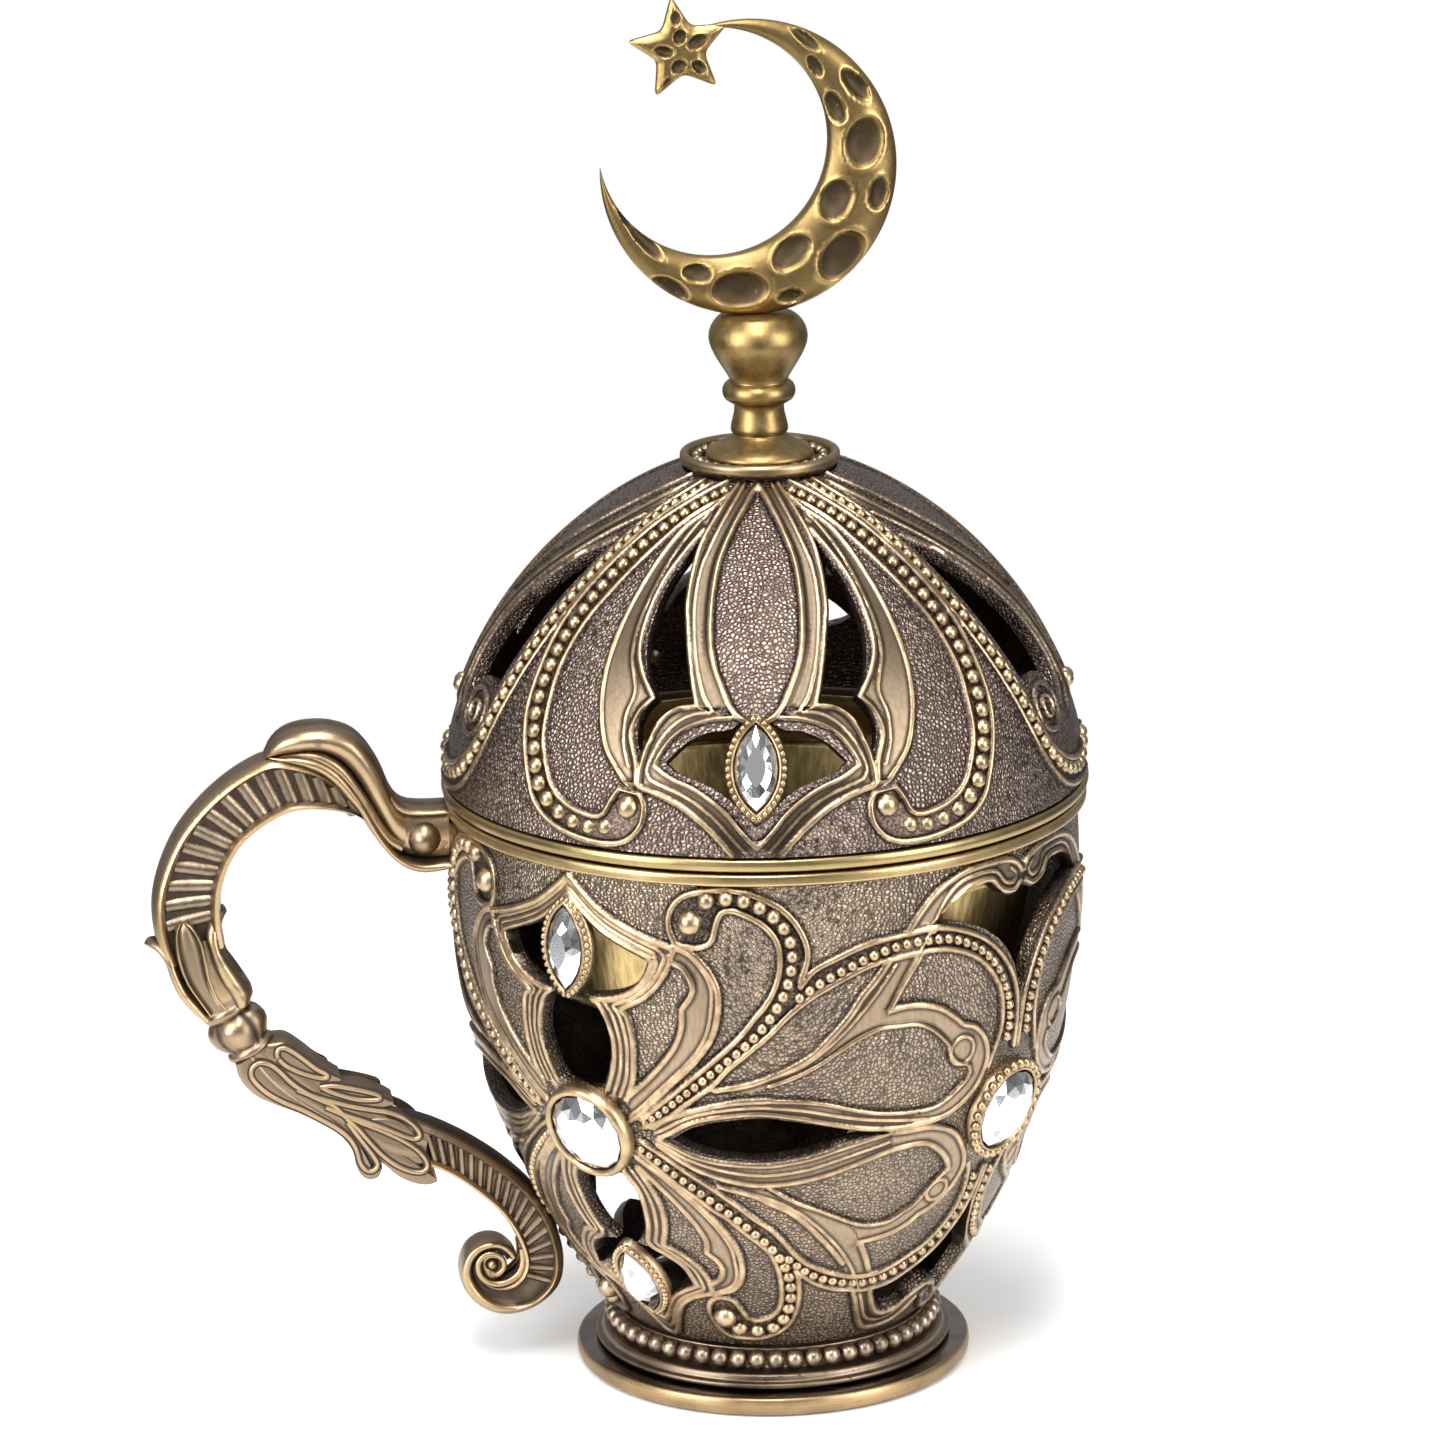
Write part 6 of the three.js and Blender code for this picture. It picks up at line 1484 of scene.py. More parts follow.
# The leaves: a shallow fluted core under five flat leaves, two above and three below
strap("handle_leaf_core", [
    ((80.2, 50.8), (75.4, 54.2)), ((77.6, 47.2), (72.6, 53)), ((73.4, 44.6), (68.8, 49.6)), ((69, 42.2), (65.2, 46)),
    ((65.2, 39.6), (61.2, 44.2)), ((62, 36.8), (57.8, 42.2)), ((58, 34.2), (54.6, 41)), ((53, 33.4), (52, 39.6))],
    "fluted", [3.4, 3.42, 3.42, 3.42, 3.42, 3.42, 3.4, 3.2])
strap("handle_leaf_upper", [
    ((75.6, 54.4), (76.4, 52.4)), ((73.2, 54.6), (74.8, 50.4)), ((70.8, 52.9), (72.6, 49.0)),
    ((68.4, 50.8), (69.8, 47.9)), ((66.4, 49.3), (67.2, 47.2)), ((65, 48.3), (65.2, 47.4))], "leaf",
    [3.4, 3.54, 3.54, 3.54, 3.5, 3.2])
strap("handle_leaf_middle", [
    ((69.4, 46.8), (70, 45.6)), ((66.0, 47.0), (66.8, 44.2)), ((62.8, 46.9), (63.6, 43.0)),
    ((60.2, 46), (60.8, 42.6)), ((58.4, 45), (58.8, 42.9)), ((57.2, 44.2), (57.3, 43.5))], "leaf",
    [3.4, 3.5, 3.5, 3.5, 3.45, 3.1])
strap("handle_leaf_lower", [
    ((80.6, 51.2), (77.8, 52.6)), ((80.1, 48.8), (76.4, 51)), ((78, 46.2), (74.6, 48.7)), ((75, 44.6), (72.4, 46.5)),
    ((72, 43.3), (70.2, 44.8)), ((69, 41.7), (67.8, 43.1)), ((66.4, 40.1), (65.4, 41.3)), ((64.4, 38), (63.2, 39)),
    ((63.2, 35.6), (61.7, 36.6)), ((62.9, 33.4), (60.9, 35)), ((61.6, 32), (60.5, 33.8)),
    ((59.9, 32.2), (60.2, 33.7)), ((59.1, 33.6), (60.0, 34.0))], "leaf",
    [3.5, 3.58, 3.58, 3.58, 3.58, 3.58, 3.56, 3.54, 3.5, 3.5, 3.4, 3.1])
strap("handle_leaf_inset", [
    ((63.4, 41.6), (63.4, 40.6)), ((60, 42.0), (60.4, 39.4)), ((57.6, 41.9), (58.4, 38.2)),
    ((55.6, 40.9), (56.4, 37.0)), ((54.2, 39.4), (54.6, 36.4)), ((53.4, 37.8), (53.6, 36.8))], "leaf",
    [3.4, 3.53, 3.53, 3.53, 3.53, 3.4])
strap("handle_leaf_tail", [
    ((64.6, 39.6), (63.8, 38.4)), ((61.8, 38.6), (60.8, 35.9)), ((59.2, 37.6), (58.6, 33.8)),
    ((56.8, 36.4), (56.6, 31.9)), ((54.6, 35), (54.4, 30.8)), ((52.6, 33.2), (52.4, 30.5)), ((51, 31.6), (51, 30.9))],
    "leaf",
    [3.4, 3.47, 3.47, 3.47, 3.47, 3.4, 3.1])


def drawn_bar(name, made, sections, deep, lower, missing):
    """A closed bar on each face along a path, with a section of (aside, up, crest) points at every row."""
    around = len(sections[0])
    points, crests, faces = [], [], []
    for face in (1, -1):
        base = len(points)
        for n, ((reach, height), section) in enumerate(zip(made, sections)):
            ahead = made[min(n + 1, len(made) - 1)] - made[max(n - 1, 0)]
            ahead /= np.hypot(*ahead)
            for aside, up, crest in section:
                points.append((-(reach - ahead[1] * aside) * MM, -face * (deep + up) * MM,
                               (height - lower + ahead[0] * aside) * MM))
                crests.append(crest)
        faces += tube_faces(len(made), around, base)
        faces += [tuple(base + row * around + k for k in range(around)) for row in (0, len(made) - 1)]
    crested_piece(name, points, faces, crests, handle_metal, "base", "pale_bronze", sharp=60, missing=missing)


def leaf_line(name, path):
    """A raised line on a low skirt, cast on both faces along a path; the skirt beside the line is painted dark, as
    painted shade and patina at its feet.
    """
    wide, deep, high, lower, step = 0.6, 3.58, 0.34, 0.2, 0.55
    length = np.hypot(*np.diff(np.array(path, float), axis=0).T).sum()
    made = eased(path, max(16, int(length / step)))
    # Crest 0 on each side of the line paints a dark band: painted shade and patina at the line's feet.
    section = [(-1, -0.5, 0.3), (-1, 0.02, 0.2), (-0.6, 0.04, 0.0), (-0.36, 0.78 * high, 0.9), (0, high, 1.0),
               (0.36, 0.78 * high, 0.9), (0.6, 0.04, 0.0), (1, 0.02, 0.2), (1, -0.5, 0.3)]
    section = [(across * wide, up, crest) for across, up, crest in section]
    drawn_bar(name, made, [section] * len(made), deep, lower, 0.3)


# A raised line along each leaf
leaf_line("handle_line_upper", [
    (74.3, 52.4), (74.4, 53.1), (74.0, 53.8), (73.1, 53.8), (72.1, 53.2), (70.6, 52.0), (68.8, 50.4), (67.2, 49.4),
    (67.0, 48.9), (67.8, 48.8), (69.6, 49.3), (71.5, 50.1), (73.2, 51.1), (74.2, 52.2)])
leaf_line("handle_line_middle", [
    (68.1, 47.4), (66.2, 47.5), (63.9, 47.0), (61.6, 46.4), (59.6, 45.7), (59.2, 45.2), (59.9, 44.9), (62.4, 45.1),
    (64.7, 45.8), (66.6, 46.6), (67.9, 47.3)])
leaf_line("handle_line_stem", [
    (64.4, 42.4), (66.3, 44.4), (68.2, 45.4), (70.4, 46.7), (72.5, 48.4), (74.3, 50.4), (75.8, 51.5), (77.2, 51.7),
    (78.2, 50.9), (78.2, 49.4), (76.5, 47.3), (73.9, 45.5), (70.9, 44.0), (68.3, 42.4), (66.0, 40.9), (64.1, 39.2),
    (63.0, 37.2), (62.5, 35.1), (61.6, 33.9), (60.5, 33.8), (59.9, 34.6), (60.3, 35.7), (61.3, 37.3), (62.6, 39.2),
    (64.2, 41.6)])
leaf_line("handle_line_inset", [
    (71.6, 47.2), (69.1, 46.0), (66.3, 45.0), (63.2, 44.0), (60.2, 43.3), (57.9, 42.8), (55.7, 41.8), (54.1, 40.4),
    (53.4, 39.0), (54.1, 38.4), (55.7, 38.9), (58.7, 40.4), (61.8, 41.7), (64.8, 42.9), (67.4, 44.2)])
leaf_line("handle_line_tail", [
    (64.4, 42.3), (62.6, 40.4), (60.9, 38.2), (59.2, 36.2), (57.2, 34.5), (55.1, 33.4), (53.4, 33.1), (52.5, 33.7),
    (52.6, 34.9), (53.8, 36.6), (55.9, 38.2), (58.7, 39.8), (61.4, 41.1), (63.6, 42.2)])

# The tail: a second ribbed channel, which winds up into the volute at the handle's foot
tail = [
    ((55.5, 41.6), (52.3, 33.4)), ((51.5, 40.1), (50, 32.4)), ((47.5, 38.0), (47.2, 30.6)),
    ((43.5, 35.4), (44.2, 28.0)), ((39.8, 32.4), (41.6, 25.3)), ((36.6, 29.1), (40.0, 22.8)),
    ((34.2, 25.4), (39.0, 20.6)), ((32.6, 21), (38.4, 18.6)), ((32.0, 16.8), (38.3, 17)),
    ((32.8, 13.2), (38.9, 15.4)), ((35.4, 10.5), (40.0, 14.3)), ((38.8, 9.1), (41.4, 13.7)),
    ((42.2, 9.1), (42.8, 13.7)), ((45.2, 10.6), (44.1, 14.4)), ((47.3, 13.2), (44.9, 15.6)),
    ((47.9, 16.2), (45.1, 16.8)), ((46.8, 19.2), (44.6, 18.1)), ((44.4, 20.8), (43.6, 18.9)),
    ((41.8, 20.7), (42.2, 19.1)), ((39.9, 19.4), (41.2, 18.2)), ((39.2, 18.2), (40.7, 17.4))]
strap("handle_tail", tail, "tail", [3.4, 3.7, 3.7, 3.7, 3.7, 3.6, 3.6, 3.5, 3.4, 3.2, 2.8], "coil", (0.5, 0.68), 0.7)
rib_row("handle_tail_ribs", tail, 0.04, 0.58, 1.75, 0.25, 0.83, 2.65, 0.6)


def curl_wire(name, path, radius_mm, deep):
    """A round wire that lies on both faces along a path and thins toward its end."""
    rows, sides, thinning, crest = 70, 8, 0.35, 0.95
    turns = [2 * math.pi * k / sides for k in range(sides)]
    sections = []
    for n in range(rows):
        thick = radius_mm * (1 - thinning * n / rows)
        sections.append([(thick * math.cos(turn), thick * math.sin(turn), crest) for turn in turns])
    drawn_bar(name, eased(path, rows), sections, deep, 0.0, crest)


curl_wire("handle_volute_curl", [
    (38.4, 19.5), (38.3, 17.4), (38.9, 15.6), (40.4, 14.4), (42.2, 14.0), (43.9, 14.5), (45.0, 15.8), (45.1, 17.5),
    (44.1, 18.7), (42.6, 18.8), (41.4, 17.9), (41.3, 16.5), (42.2, 15.6), (43.3, 16.0)], 0.62, 2.6)
ball("handle_volute_eye", 43.0, 17.0, 1.3, 3.1)
strap("handle_volute_web", [
    ((41.4, 13.9), (45.2, 13.9)), ((41.0, 15.4), (45.5, 15.4)), ((40.9, 17), (45.5, 17)), ((41.4, 19), (45.2, 19))],
    "lobe",
    [1.9, 2.0, 2.0, 1.9])

# Dome: the lid's shell, cast like the cup, with two bead rows that sweep down each side between windows of leaf and
# lobe shape, and a pebbled leaf above each stone. Its motif is mirrored about each stone's axis too.
lid_seam = 90.3
dome_height = 50.5
dome_mouth = 48.0
dome_exponent = 1.8
crown_flat = 11.4


def dome_meridian_table():
    """Radius and height along the dome's wall, by the length of wall from the seam."""
    t = np.linspace(0, math.pi / 2, 2000)
    radius = dome_mouth * np.cos(t) ** (2 / dome_exponent)
    height = lid_seam + dome_height * np.sin(t) ** (2 / dome_exponent)
    walked = lengths_along(np.stack([radius, height], -1))
    kept = radius >= crown_flat
    return walked[kept], radius[kept], height[kept]


dome_walked, dome_radii, dome_heights = dome_meridian_table()
dome_start = float(np.interp(92.5, dome_heights, dome_walked))


class DomeSkin:
    """The dome's field as a surface: (degrees, millimetres of wall from the seam) to a point."""

    low, high = dome_start, float(dome_walked[-1])

    @staticmethod
    def across(along):
        return np.interp(along, dome_walked, dome_radii) * math.pi / 180

    @staticmethod
    def meridian(along):
        along = np.clip(along, dome_start, dome_walked[-1])
        step = 0.2
        radius = np.interp(along, dome_walked, dome_radii)
        height = np.interp(along, dome_walked, dome_heights)
        run = np.interp(along + step, dome_walked, dome_radii) - np.interp(along - step, dome_walked, dome_radii)
        rise = np.interp(along + step, dome_walked, dome_heights) - np.interp(along - step, dome_walked, dome_heights)
        length = np.maximum(np.hypot(run, rise), 1e-9)
        return radius, height, rise / length, -run / length


seam_to_table = 0.6  # from the seam to the ring's top edge, where the drawing's heights begin
# The third colour is the pebble tops' painted highlight and wear; the last is the dark of patina, of the pebbles'
# joints and of the painted shade at the ridges' feet.
dome_metal = carved_metal(
    "dome_carved_bronze", (0.145, 0.107, 0.087), (0.225, 0.17, 0.138), (0.46, 0.375, 0.33), (0.28, 0.196, 0.115),
    (0.5, 0.37, 0.22), (0.185, 0.138, 0.092), (0.026, 0.019, 0.015),
)
dome = Carving(DomeSkin, seam_to_table)

# The leaf and lobe windows
dome.window([
    (20.1, 50.7), None, (22.3, 47.8), (24.8, 43), (25.8, 38.4), (25.8, 33.6), (24.8, 30.1), (22.75, 26.6),
    (20.25, 24.1), None, (21.9, 22.5), (23.2, 20.1), (22.75, 17.2), (21.9, 16), None, (20.25, 19.2), (18.3, 21.3),
    (15.7, 22.8), (12.3, 23.4), None, (13.4, 25.4), (15, 29.5), (16.9, 34.2), (18.6, 38.4), (19.8, 44.2),
    (20.1, 50.7)])
dome.window([
    (-2, 21.9), (0, 21.7), (3.2, 20.8), (5.3, 19.9), (9, 19.5), (13.2, 17.8), (16.9, 14.8), None,
    (14.4, 13.4), (9, 11.9), (5.3, 10.2), (2.8, 8.2), (0, 6.0), (-2, 6.0)])

# The pebbled leaf over the stone, in ridges that part round the leaf window
dome.ridge([
    (0, 62.6), (3.2, 60.4), (5.7, 57.8), (8.3, 54.6), (9.8, 51.9), (11.3, 48.4), (11.9, 44.8), (11.7, 40.1),
    (11.1, 36), (10.3, 32.5), (9.1, 29.6), (7.3, 26.6), (4.8, 22.9), (2.4, 21.2), (0, 20.6)], 1.3, 0.66)
dome.ridge([
    (9.2, 63.0), (12.2, 58.2), (14.6, 53.4), (16.2, 48.4), (16.9, 44.6), (16.2, 39.2), (14.7, 34.2), (13.2, 30),
    (11.6, 26.6), (10.2, 24.2), (8.4, 22.4)], 0.85, 0.5)
leaf_outer = dome.ridge([
    (13.6, 63.0), (16.2, 59), (18.4, 54.2), (19.6, 49.4), (19.1, 44.4), (17.9, 38.6), (16.2, 34.4), (14.4, 29.7),
    (12.8, 25.6), (11.6, 23.0)], 1.0, 0.55)
dome.band([
    (4, 61.4), (5.7, 59.2), (9.8, 53), (11.9, 46), (11.7, 40.1), (10.3, 32.5), (7.3, 26.6), (5.2, 23)], leaf_outer)

# The double frame round the lobe windows and under the stone
frame_top = dome.ridge([
    (4.8, 21.6), (9.2, 21.2), (13.4, 20.0), (16.2, 18.2), (18.2, 15.6), (18.9, 14.2), None, (15.4, 12.5),
    (11.4, 11.3), (8.2, 9.8), (5.2, 7.8), (2.6, 5.2), (0, 2.9)], 0.9, 0.5)
frame_outer = dome.ridge([
    (11.9, 23.1), (15.7, 22.6), (18.4, 20.9), (20.3, 17.6), (21.3, 14), (21.4, 11.0), None, (17.6, 10.2), (13.6, 8.8),
    (10, 6.8), (6.8, 4.4), (4.2, 1.9)], 1.2, 0.6)
dome.band(frame_top, frame_outer)
dome.ridge(midway(frame_top, frame_outer, 0.5), 0.7, 0.42)

# The crescent band beside the leaf window
moon_in = dome.ridge([
    (20.7, 52.2), (24.4, 47.2), (26.9, 41.9), (27.5, 36), (26.9, 31.3), (24.8, 27.8), (21.5, 24.5), (20.9, 23.9),
    None, (23.2, 21.9), (24.4, 18.9), (23.6, 16.6), (22.4, 14.2), (22.1, 11.6)], 1.2, 0.62)
moon_out = dome.ridge([
    (18.6, 59), (21.5, 56.6), (25.2, 54.8), (28.6, 52.5), (30.6, 49.2), (31.9, 45.4), (33.2, 38.4), (33.6, 32.5),
    (33.2, 26.6), (31.5, 20.7), (29, 16), (26.6, 13.6), (24.2, 11.6)], 1.1, 0.58)
dome.ridge([
    (22.6, 55), (24.9, 52.8), (27.3, 47.8), (28.6, 41.3), (29, 34.8), (28.2, 30.1), (26.4, 27), (25.2, 24.4),
    (26, 21), (25.6, 17.4), (24, 14)], 0.75, 0.45)
dome.band(moon_in, moon_out)

# The first bead row, from the crown down and round to its boss
row_one_inner = dome.ridge([
    (16.6, 60.2), (19, 58.7), (24, 57.2), (29.8, 54.1), (33.2, 50.9), (36.5, 46.8), (39.4, 42.7), (41.9, 38.4),
    (44, 34.2), (45.1, 30.1), (45.5, 25.4), (44.8, 20.7), (43.8, 16), (41.9, 12.5), (39, 8.9), (34.8, 6.9),
    (29.8, 6.1), (27.75, 6.7), (26.6, 8.6), (25.2, 10.4)], 1.2, 0.62)
row_one_outer = dome.ridge([
    (22.4, 63.2), (27.3, 61.6), (33.2, 58.9), (37.3, 56.3), (41.5, 53.1), (44.4, 49.5), (46.5, 46), (48.2, 42.5),
    (49.8, 38.4), (51.1, 34.2), (51.5, 30.1), (51.1, 24.2), (50.25, 18.9), (48.2, 14.2), (45.7, 10.1), (43.2, 6.6),
    (39, 4.2), (33.2, 2.8), (27.3, 2.4), (23.2, 3.2), (20.6, 5.6), (20.2, 8.4), (21.2, 10.0)], 1.2, 0.62)
dome.channel(row_one_inner, row_one_outer)
row_one = [
    (20.7, 60.9), (24, 59.9), (27.3, 58.6), (31.5, 56.4), (34.8, 54.1), (37.3, 51.8), (39.8, 49.1), (41.7, 46.6),
    (43.3, 43.9), (44.7, 41.3), (45.7, 38.9), (46.5, 36.6), (47.1, 34.1), (47.75, 31.8), (48.2, 29.2), (48.3, 26.8),
    (48.3, 24.1), (48, 21.7), (47.5, 19.1), (46.5, 16.6), (45.5, 14.5), (44.2, 12.2), (42.75, 9.8), (41.0, 7.9),
    (38.8, 6.4), (36.25, 5.2), (33.2, 4.5), (30, 4.3), (26.9, 4.7)]

# The second bead row, which runs out low and curls up on the dome's side
row_two_inner = dome.ridge([
    (32.6, 62.4), (37.3, 59), (41.5, 55.6), (45.2, 51.8), (47.6, 47.4), (49.4, 42.8), (50.9, 38.6), (52.3, 34.4),
    (53.6, 30.2), (55.1, 26.2), (56.6, 22.2), (58.1, 18.2), (59.5, 14.4), (61.2, 10.6), (63.9, 7.1), (67.6, 4.3),
    (71.6, 2.9), (76, 2.4), (81, 2.2), (85.4, 2.6)], 1.1, 0.6)
row_two_outer = dome.ridge([
    (40.6, 63), (43.6, 59.8), (46.8, 56.6), (49.4, 52.8), (51.3, 48.4), (52.9, 43.4), (54.3, 39.2), (56, 35),
    (57.5, 30.8), (58.9, 26.6), (60.3, 22.4), (61.7, 18.2), (63.2, 14.2), (65.4, 10.6), (68.6, 8.2), (72.6, 6.6),
    (76.8, 5.8), (80.6, 5.8), (83.4, 6.6)], 1.1, 0.6)
dome.channel(row_two_inner, row_two_outer)
row_two = [
    (36.5, 61.2), (39.8, 58.8), (43.2, 56.7), (45.7, 54.1), (47.5, 51.9), (48.8, 49.1), (49.8, 46.8), (50.9, 44.1),
    (51.9, 41.5), (52.8, 38.9), (53.7, 36.6), (54.6, 34.1), (55.3, 31.8), (56.2, 29.2), (57, 27.1), (57.8, 24.8),
    (58.5, 22.6), (59.3, 20.1), (60.1, 17.9), (60.9, 15.9), (61.8, 13.5), (63, 11.2), (64.8, 9.0), (67.4, 7.1),
    (70.4, 5.7), (73.6, 4.8), (76.9, 4.2), (80.2, 4.0), (83.4, 4.3), (86.3, 5.4), (88.6, 7.4)]

# The window on the dome's side, with its scroll and the ridges that sweep from the crown
dome.window([
    (55.6, 46.6), None, (56.7, 41.3), (58.6, 36), (60.4, 30.1), (62.3, 24.4), (64.2, 19.2), (66.4, 20.6),
    (69.4, 21.0), (72.4, 19.6), (74.6, 17.2), (77.4, 17.8), (79.2, 21.4), None, (78.2, 27), (74.8, 32.6),
    (69.4, 38.2), (62.5, 43.4), (55.6, 46.6)])
dome.ridge([
    (54.6, 47.8), (58.4, 46.4), (63.4, 43.8), (70.2, 38.8), (75.8, 33.2), (79.4, 27.4), (80.6, 21.6), (78.8, 17),
    (75.4, 14.2)], 1.15, 0.6)
side_band_low = dome.ridge([
    (52.6, 53.2), (57.6, 50.6), (63.2, 47), (70, 41.8), (76.5, 35.8), (81.2, 29.6), (83.4, 23.4), (83, 17.4),
    (80.4, 12.8)], 0.9, 0.5)
side_band_high = dome.ridge([
    (49.2, 61.4), (54, 57.6), (60, 52.6), (67.6, 46.6), (75, 40.2), (81, 33.8), (85.2, 27), (86.4, 20), (85.6, 14.4)],
    1.15, 0.6)
dome.band(side_band_low, side_band_high)
dome.ridge([(58.4, 63.4), (63, 59.2), (69.6, 53.8), (76.6, 48), (83, 41.8), (87.6, 36), (90, 32.2)], 1.0, 0.55)
dome.ridge(oval(69.0, 15.4, 4.6, 3.6, 41), 1.0, 0.6)
dome.ridge(oval(69.0, 15.4, 2.0, 1.6), 0.8, 0.6)
dome_copies = [(-9, 1), (-9, -1), (171, 1), (171, -1)]
relief_body("dome_casting", dome, dome_copies, dome_metal, "lid", "dome_shell")
dome_bead_metal = cast_bead_metal("dome_bead_brass", (0.44, 0.33, 0.19), (0.26, 0.195, 0.125), (0.06, 0.045, 0.032))
dome_beads = strung(dome, row_one, 0.78, 1.38, 0.7)
dome_beads += strung(dome, row_two, 0.74, 1.28, 0.7)
dome_beads += [(23.4, 8.4, 1.9), (88.6, 16, 1.3)]
bead_row("dome_beads", *mirrored_row(DomeSkin, dome_beads, dome_copies), dome_bead_metal, "lid", "lid_bronze")

# Stones on the dome: one in front and one at the back, foiled glass like the cup's. They are cemented into
# leaf-shaped bezels that are cast with the dome.
dome_stone_share = 0.232
dome_seat_sunk = 0.12
for side_name, axis in (("front", -9), ("back", 171)):
    seat = Seat(DomeSkin, axis, dome_stone_share * float(dome_walked[-1]))
    seat.centre -= seat.out * dome_seat_sunk
    leaf_bezel(f"bezel_dome_{side_name}", seat, "lid", "lid_bronze")
    set_stone(f"dome_{side_name}", seat, leaf_stone, "lid", leaf_cut)

# Lid ring: a rolled brass band, fixed at the dome's mouth. Its spigot drops into the cup's ring and centres the lid,
# which lifts off with it.
lid_ring_metal = turned_metal("lid_rim_brass", (0.4, 0.3, 0.135), (0.21, 0.155, 0.075), 0.3, wear=0.3)
lid_ring_profile = rounded([
    (42.35, 86.35), (43.45, 86.35), (43.45, 90.25), (47.7, 90.25), (48.15, 90.5), (48.35, 91.3), (48.2, 92.0),
    (47.85, 92.18), (42.35, 92.18)],
    [0.2, 0.2, 0.2, 0.2, 0.3, 0.3, 0.2, 0.2, 0.2])
add_piece(
    "lid_ring_rolled", *spin(lid_ring_profile, ring_sides), lid_ring_metal, "lid", "antique_brass",
    ["dome_ring"], sharp=60)

# Crown ring: a turned brass washer on the dome's crown, with a ring of small beads on the sunk floor inside its
# rim. The stem's bell foot stands on that floor and clamps it.
crown_metal = turned_metal("crown_brass", (0.38, 0.285, 0.16), (0.17, 0.125, 0.075), 0.36, wear=0.6)
crown_sides = 120
crown_profile = rounded(
    [(3.3, 138.95), (11.1, 138.95), (11.8, 139.6), (11.85, 140.7), (11.5, 141.12), (10.9, 141.1), (10.55, 140.7),
     (10.4, 139.62), (3.3, 139.62)],
    [0, 0.2, 0.3, 0.35, 0.25, 0.25, 0.3, 0.1, 0],
)
add_piece(
    "crown_ring_turned", *spin(crown_profile, crown_sides), crown_metal, "lid", "antique_brass",
    ["crown_ring"], sharp=50)
crown_bead_count = 28
crown_bead_circle = 9.35
crown_bead_height = 139.95
crown_bead_radius = 0.9
crown_bead_places = ring_of_places(crown_bead_circle, crown_bead_height, crown_bead_count, 0)
crown_bead_metal = cast_bead_metal("crown_bead_brass", (0.36, 0.28, 0.19), (0.16, 0.12, 0.08), (0.05, 0.038, 0.026))
bead_row(
    "crown_beads", crown_bead_places,
    [crown_bead_radius * MM] * crown_bead_count, crown_bead_metal, "lid", "antique_brass")

# Finial stem: one brass turning on a stud, with a bell foot, a waist, a thick ring and a round bulb whose flat top
# is the crescent's seat.
stem_metal = turned_metal(
    "stem_antique_brass", (0.34, 0.235, 0.09), (0.17, 0.115, 0.048), 0.38, rings=False, wear=0.4)
stem_profile = [
    (0, 132.7), (2.15, 132.7), (2.15, 139.98), (7.5, 139.98), (7.85, 140.15), (7.98, 140.5), (7.9, 140.9),
    (7.6, 141.25), (7.1, 141.6), (6.4, 141.95), (5.6, 142.35), (4.9, 142.75), (4.3, 143.15), (3.95, 143.45),
    (3.85, 143.65), (4.1, 143.85), (4.25, 144.2), (4.22, 144.7), (4.1, 145.3), (3.9, 146.1), (3.72, 146.9),
    (3.66, 147.6), (3.76, 148.1), (3.95, 148.3), (4.5, 148.5), (5.0, 148.85), (5.3, 149.35), (5.4, 149.95),
    (5.34, 150.5), (5.1, 151.0), (4.7, 151.35), (4.35, 151.5), (4.3, 151.75), (4.5, 152.2), (4.85, 152.8),
    (5.35, 153.6), (5.9, 154.5), (6.45, 155.45), (6.9, 156.4), (7.2, 157.3), (7.3, 158.1), (7.22, 158.9),
    (6.98, 159.65), (6.6, 160.3), (6.15, 160.85), (5.7, 161.25), (5.3, 161.5), (0, 161.53)]
add_piece(
    "finial_stem_turned", *spin(stem_profile, crown_sides), stem_metal, "lid", "antique_brass",
    ["finial_stem"], sharp=50)

# Crescent and star: one flat brass casting, hammered with oval dents on both faces. The moon's two edges are circles,
# and its section swells to a soft ridge between them. The star is joined to the upper horn's tip.
finial_metal = metal_with_crests(
    "finial_antique_brass", (0.35, 0.24, 0.092), (0.18, 0.122, 0.05), (0.055, 0.04, 0.022), 0.36)
moon_centre = np.array([-1.09, 183.27])
moon_radius = 21.75
hollow_centre = moon_centre + moon_radius * np.array([-0.234, 0.179])
hollow_radius = moon_radius * 0.775
dent_shift = np.array([0.1, 0.7])
moon_dents = [  # across, up, length, width, turn of the length from the horizontal in degrees, depth
    (7.4, 201.2, 5.0, 1.5, -38, 0.35), (8.6, 197.4, 3.6, 1.7, -62, 0.4), (14.4, 194.4, 5.8, 2.5, -52, 0.6),
    (11.5, 191.2, 4.9, 2.6, -68, 0.6), (15.6, 186.0, 7.4, 5.4, 76, 0.75), (17.6, 178.4, 5.0, 2.9, 80, 0.55),
    (11.3, 177.6, 6.2, 4.4, 62, 0.7), (12.1, 169.3, 8.2, 5.8, 50, 0.8), (4.7, 170.1, 6.6, 4.0, 38, 0.65),
    (4.4, 163.6, 3.8, 2.1, 8, 0.4), (-2.9, 164.9, 8.2, 5.4, 2, 0.8), (-9.2, 167.5, 4.4, 2.6, -10, 0.5),
    (-13.1, 165.2, 5.6, 3.0, -32, 0.6), (-16.6, 172.4, 7.0, 1.9, -48, 0.45), (-19.6, 176.2, 4.2, 1.2, -62, 0.3),
]


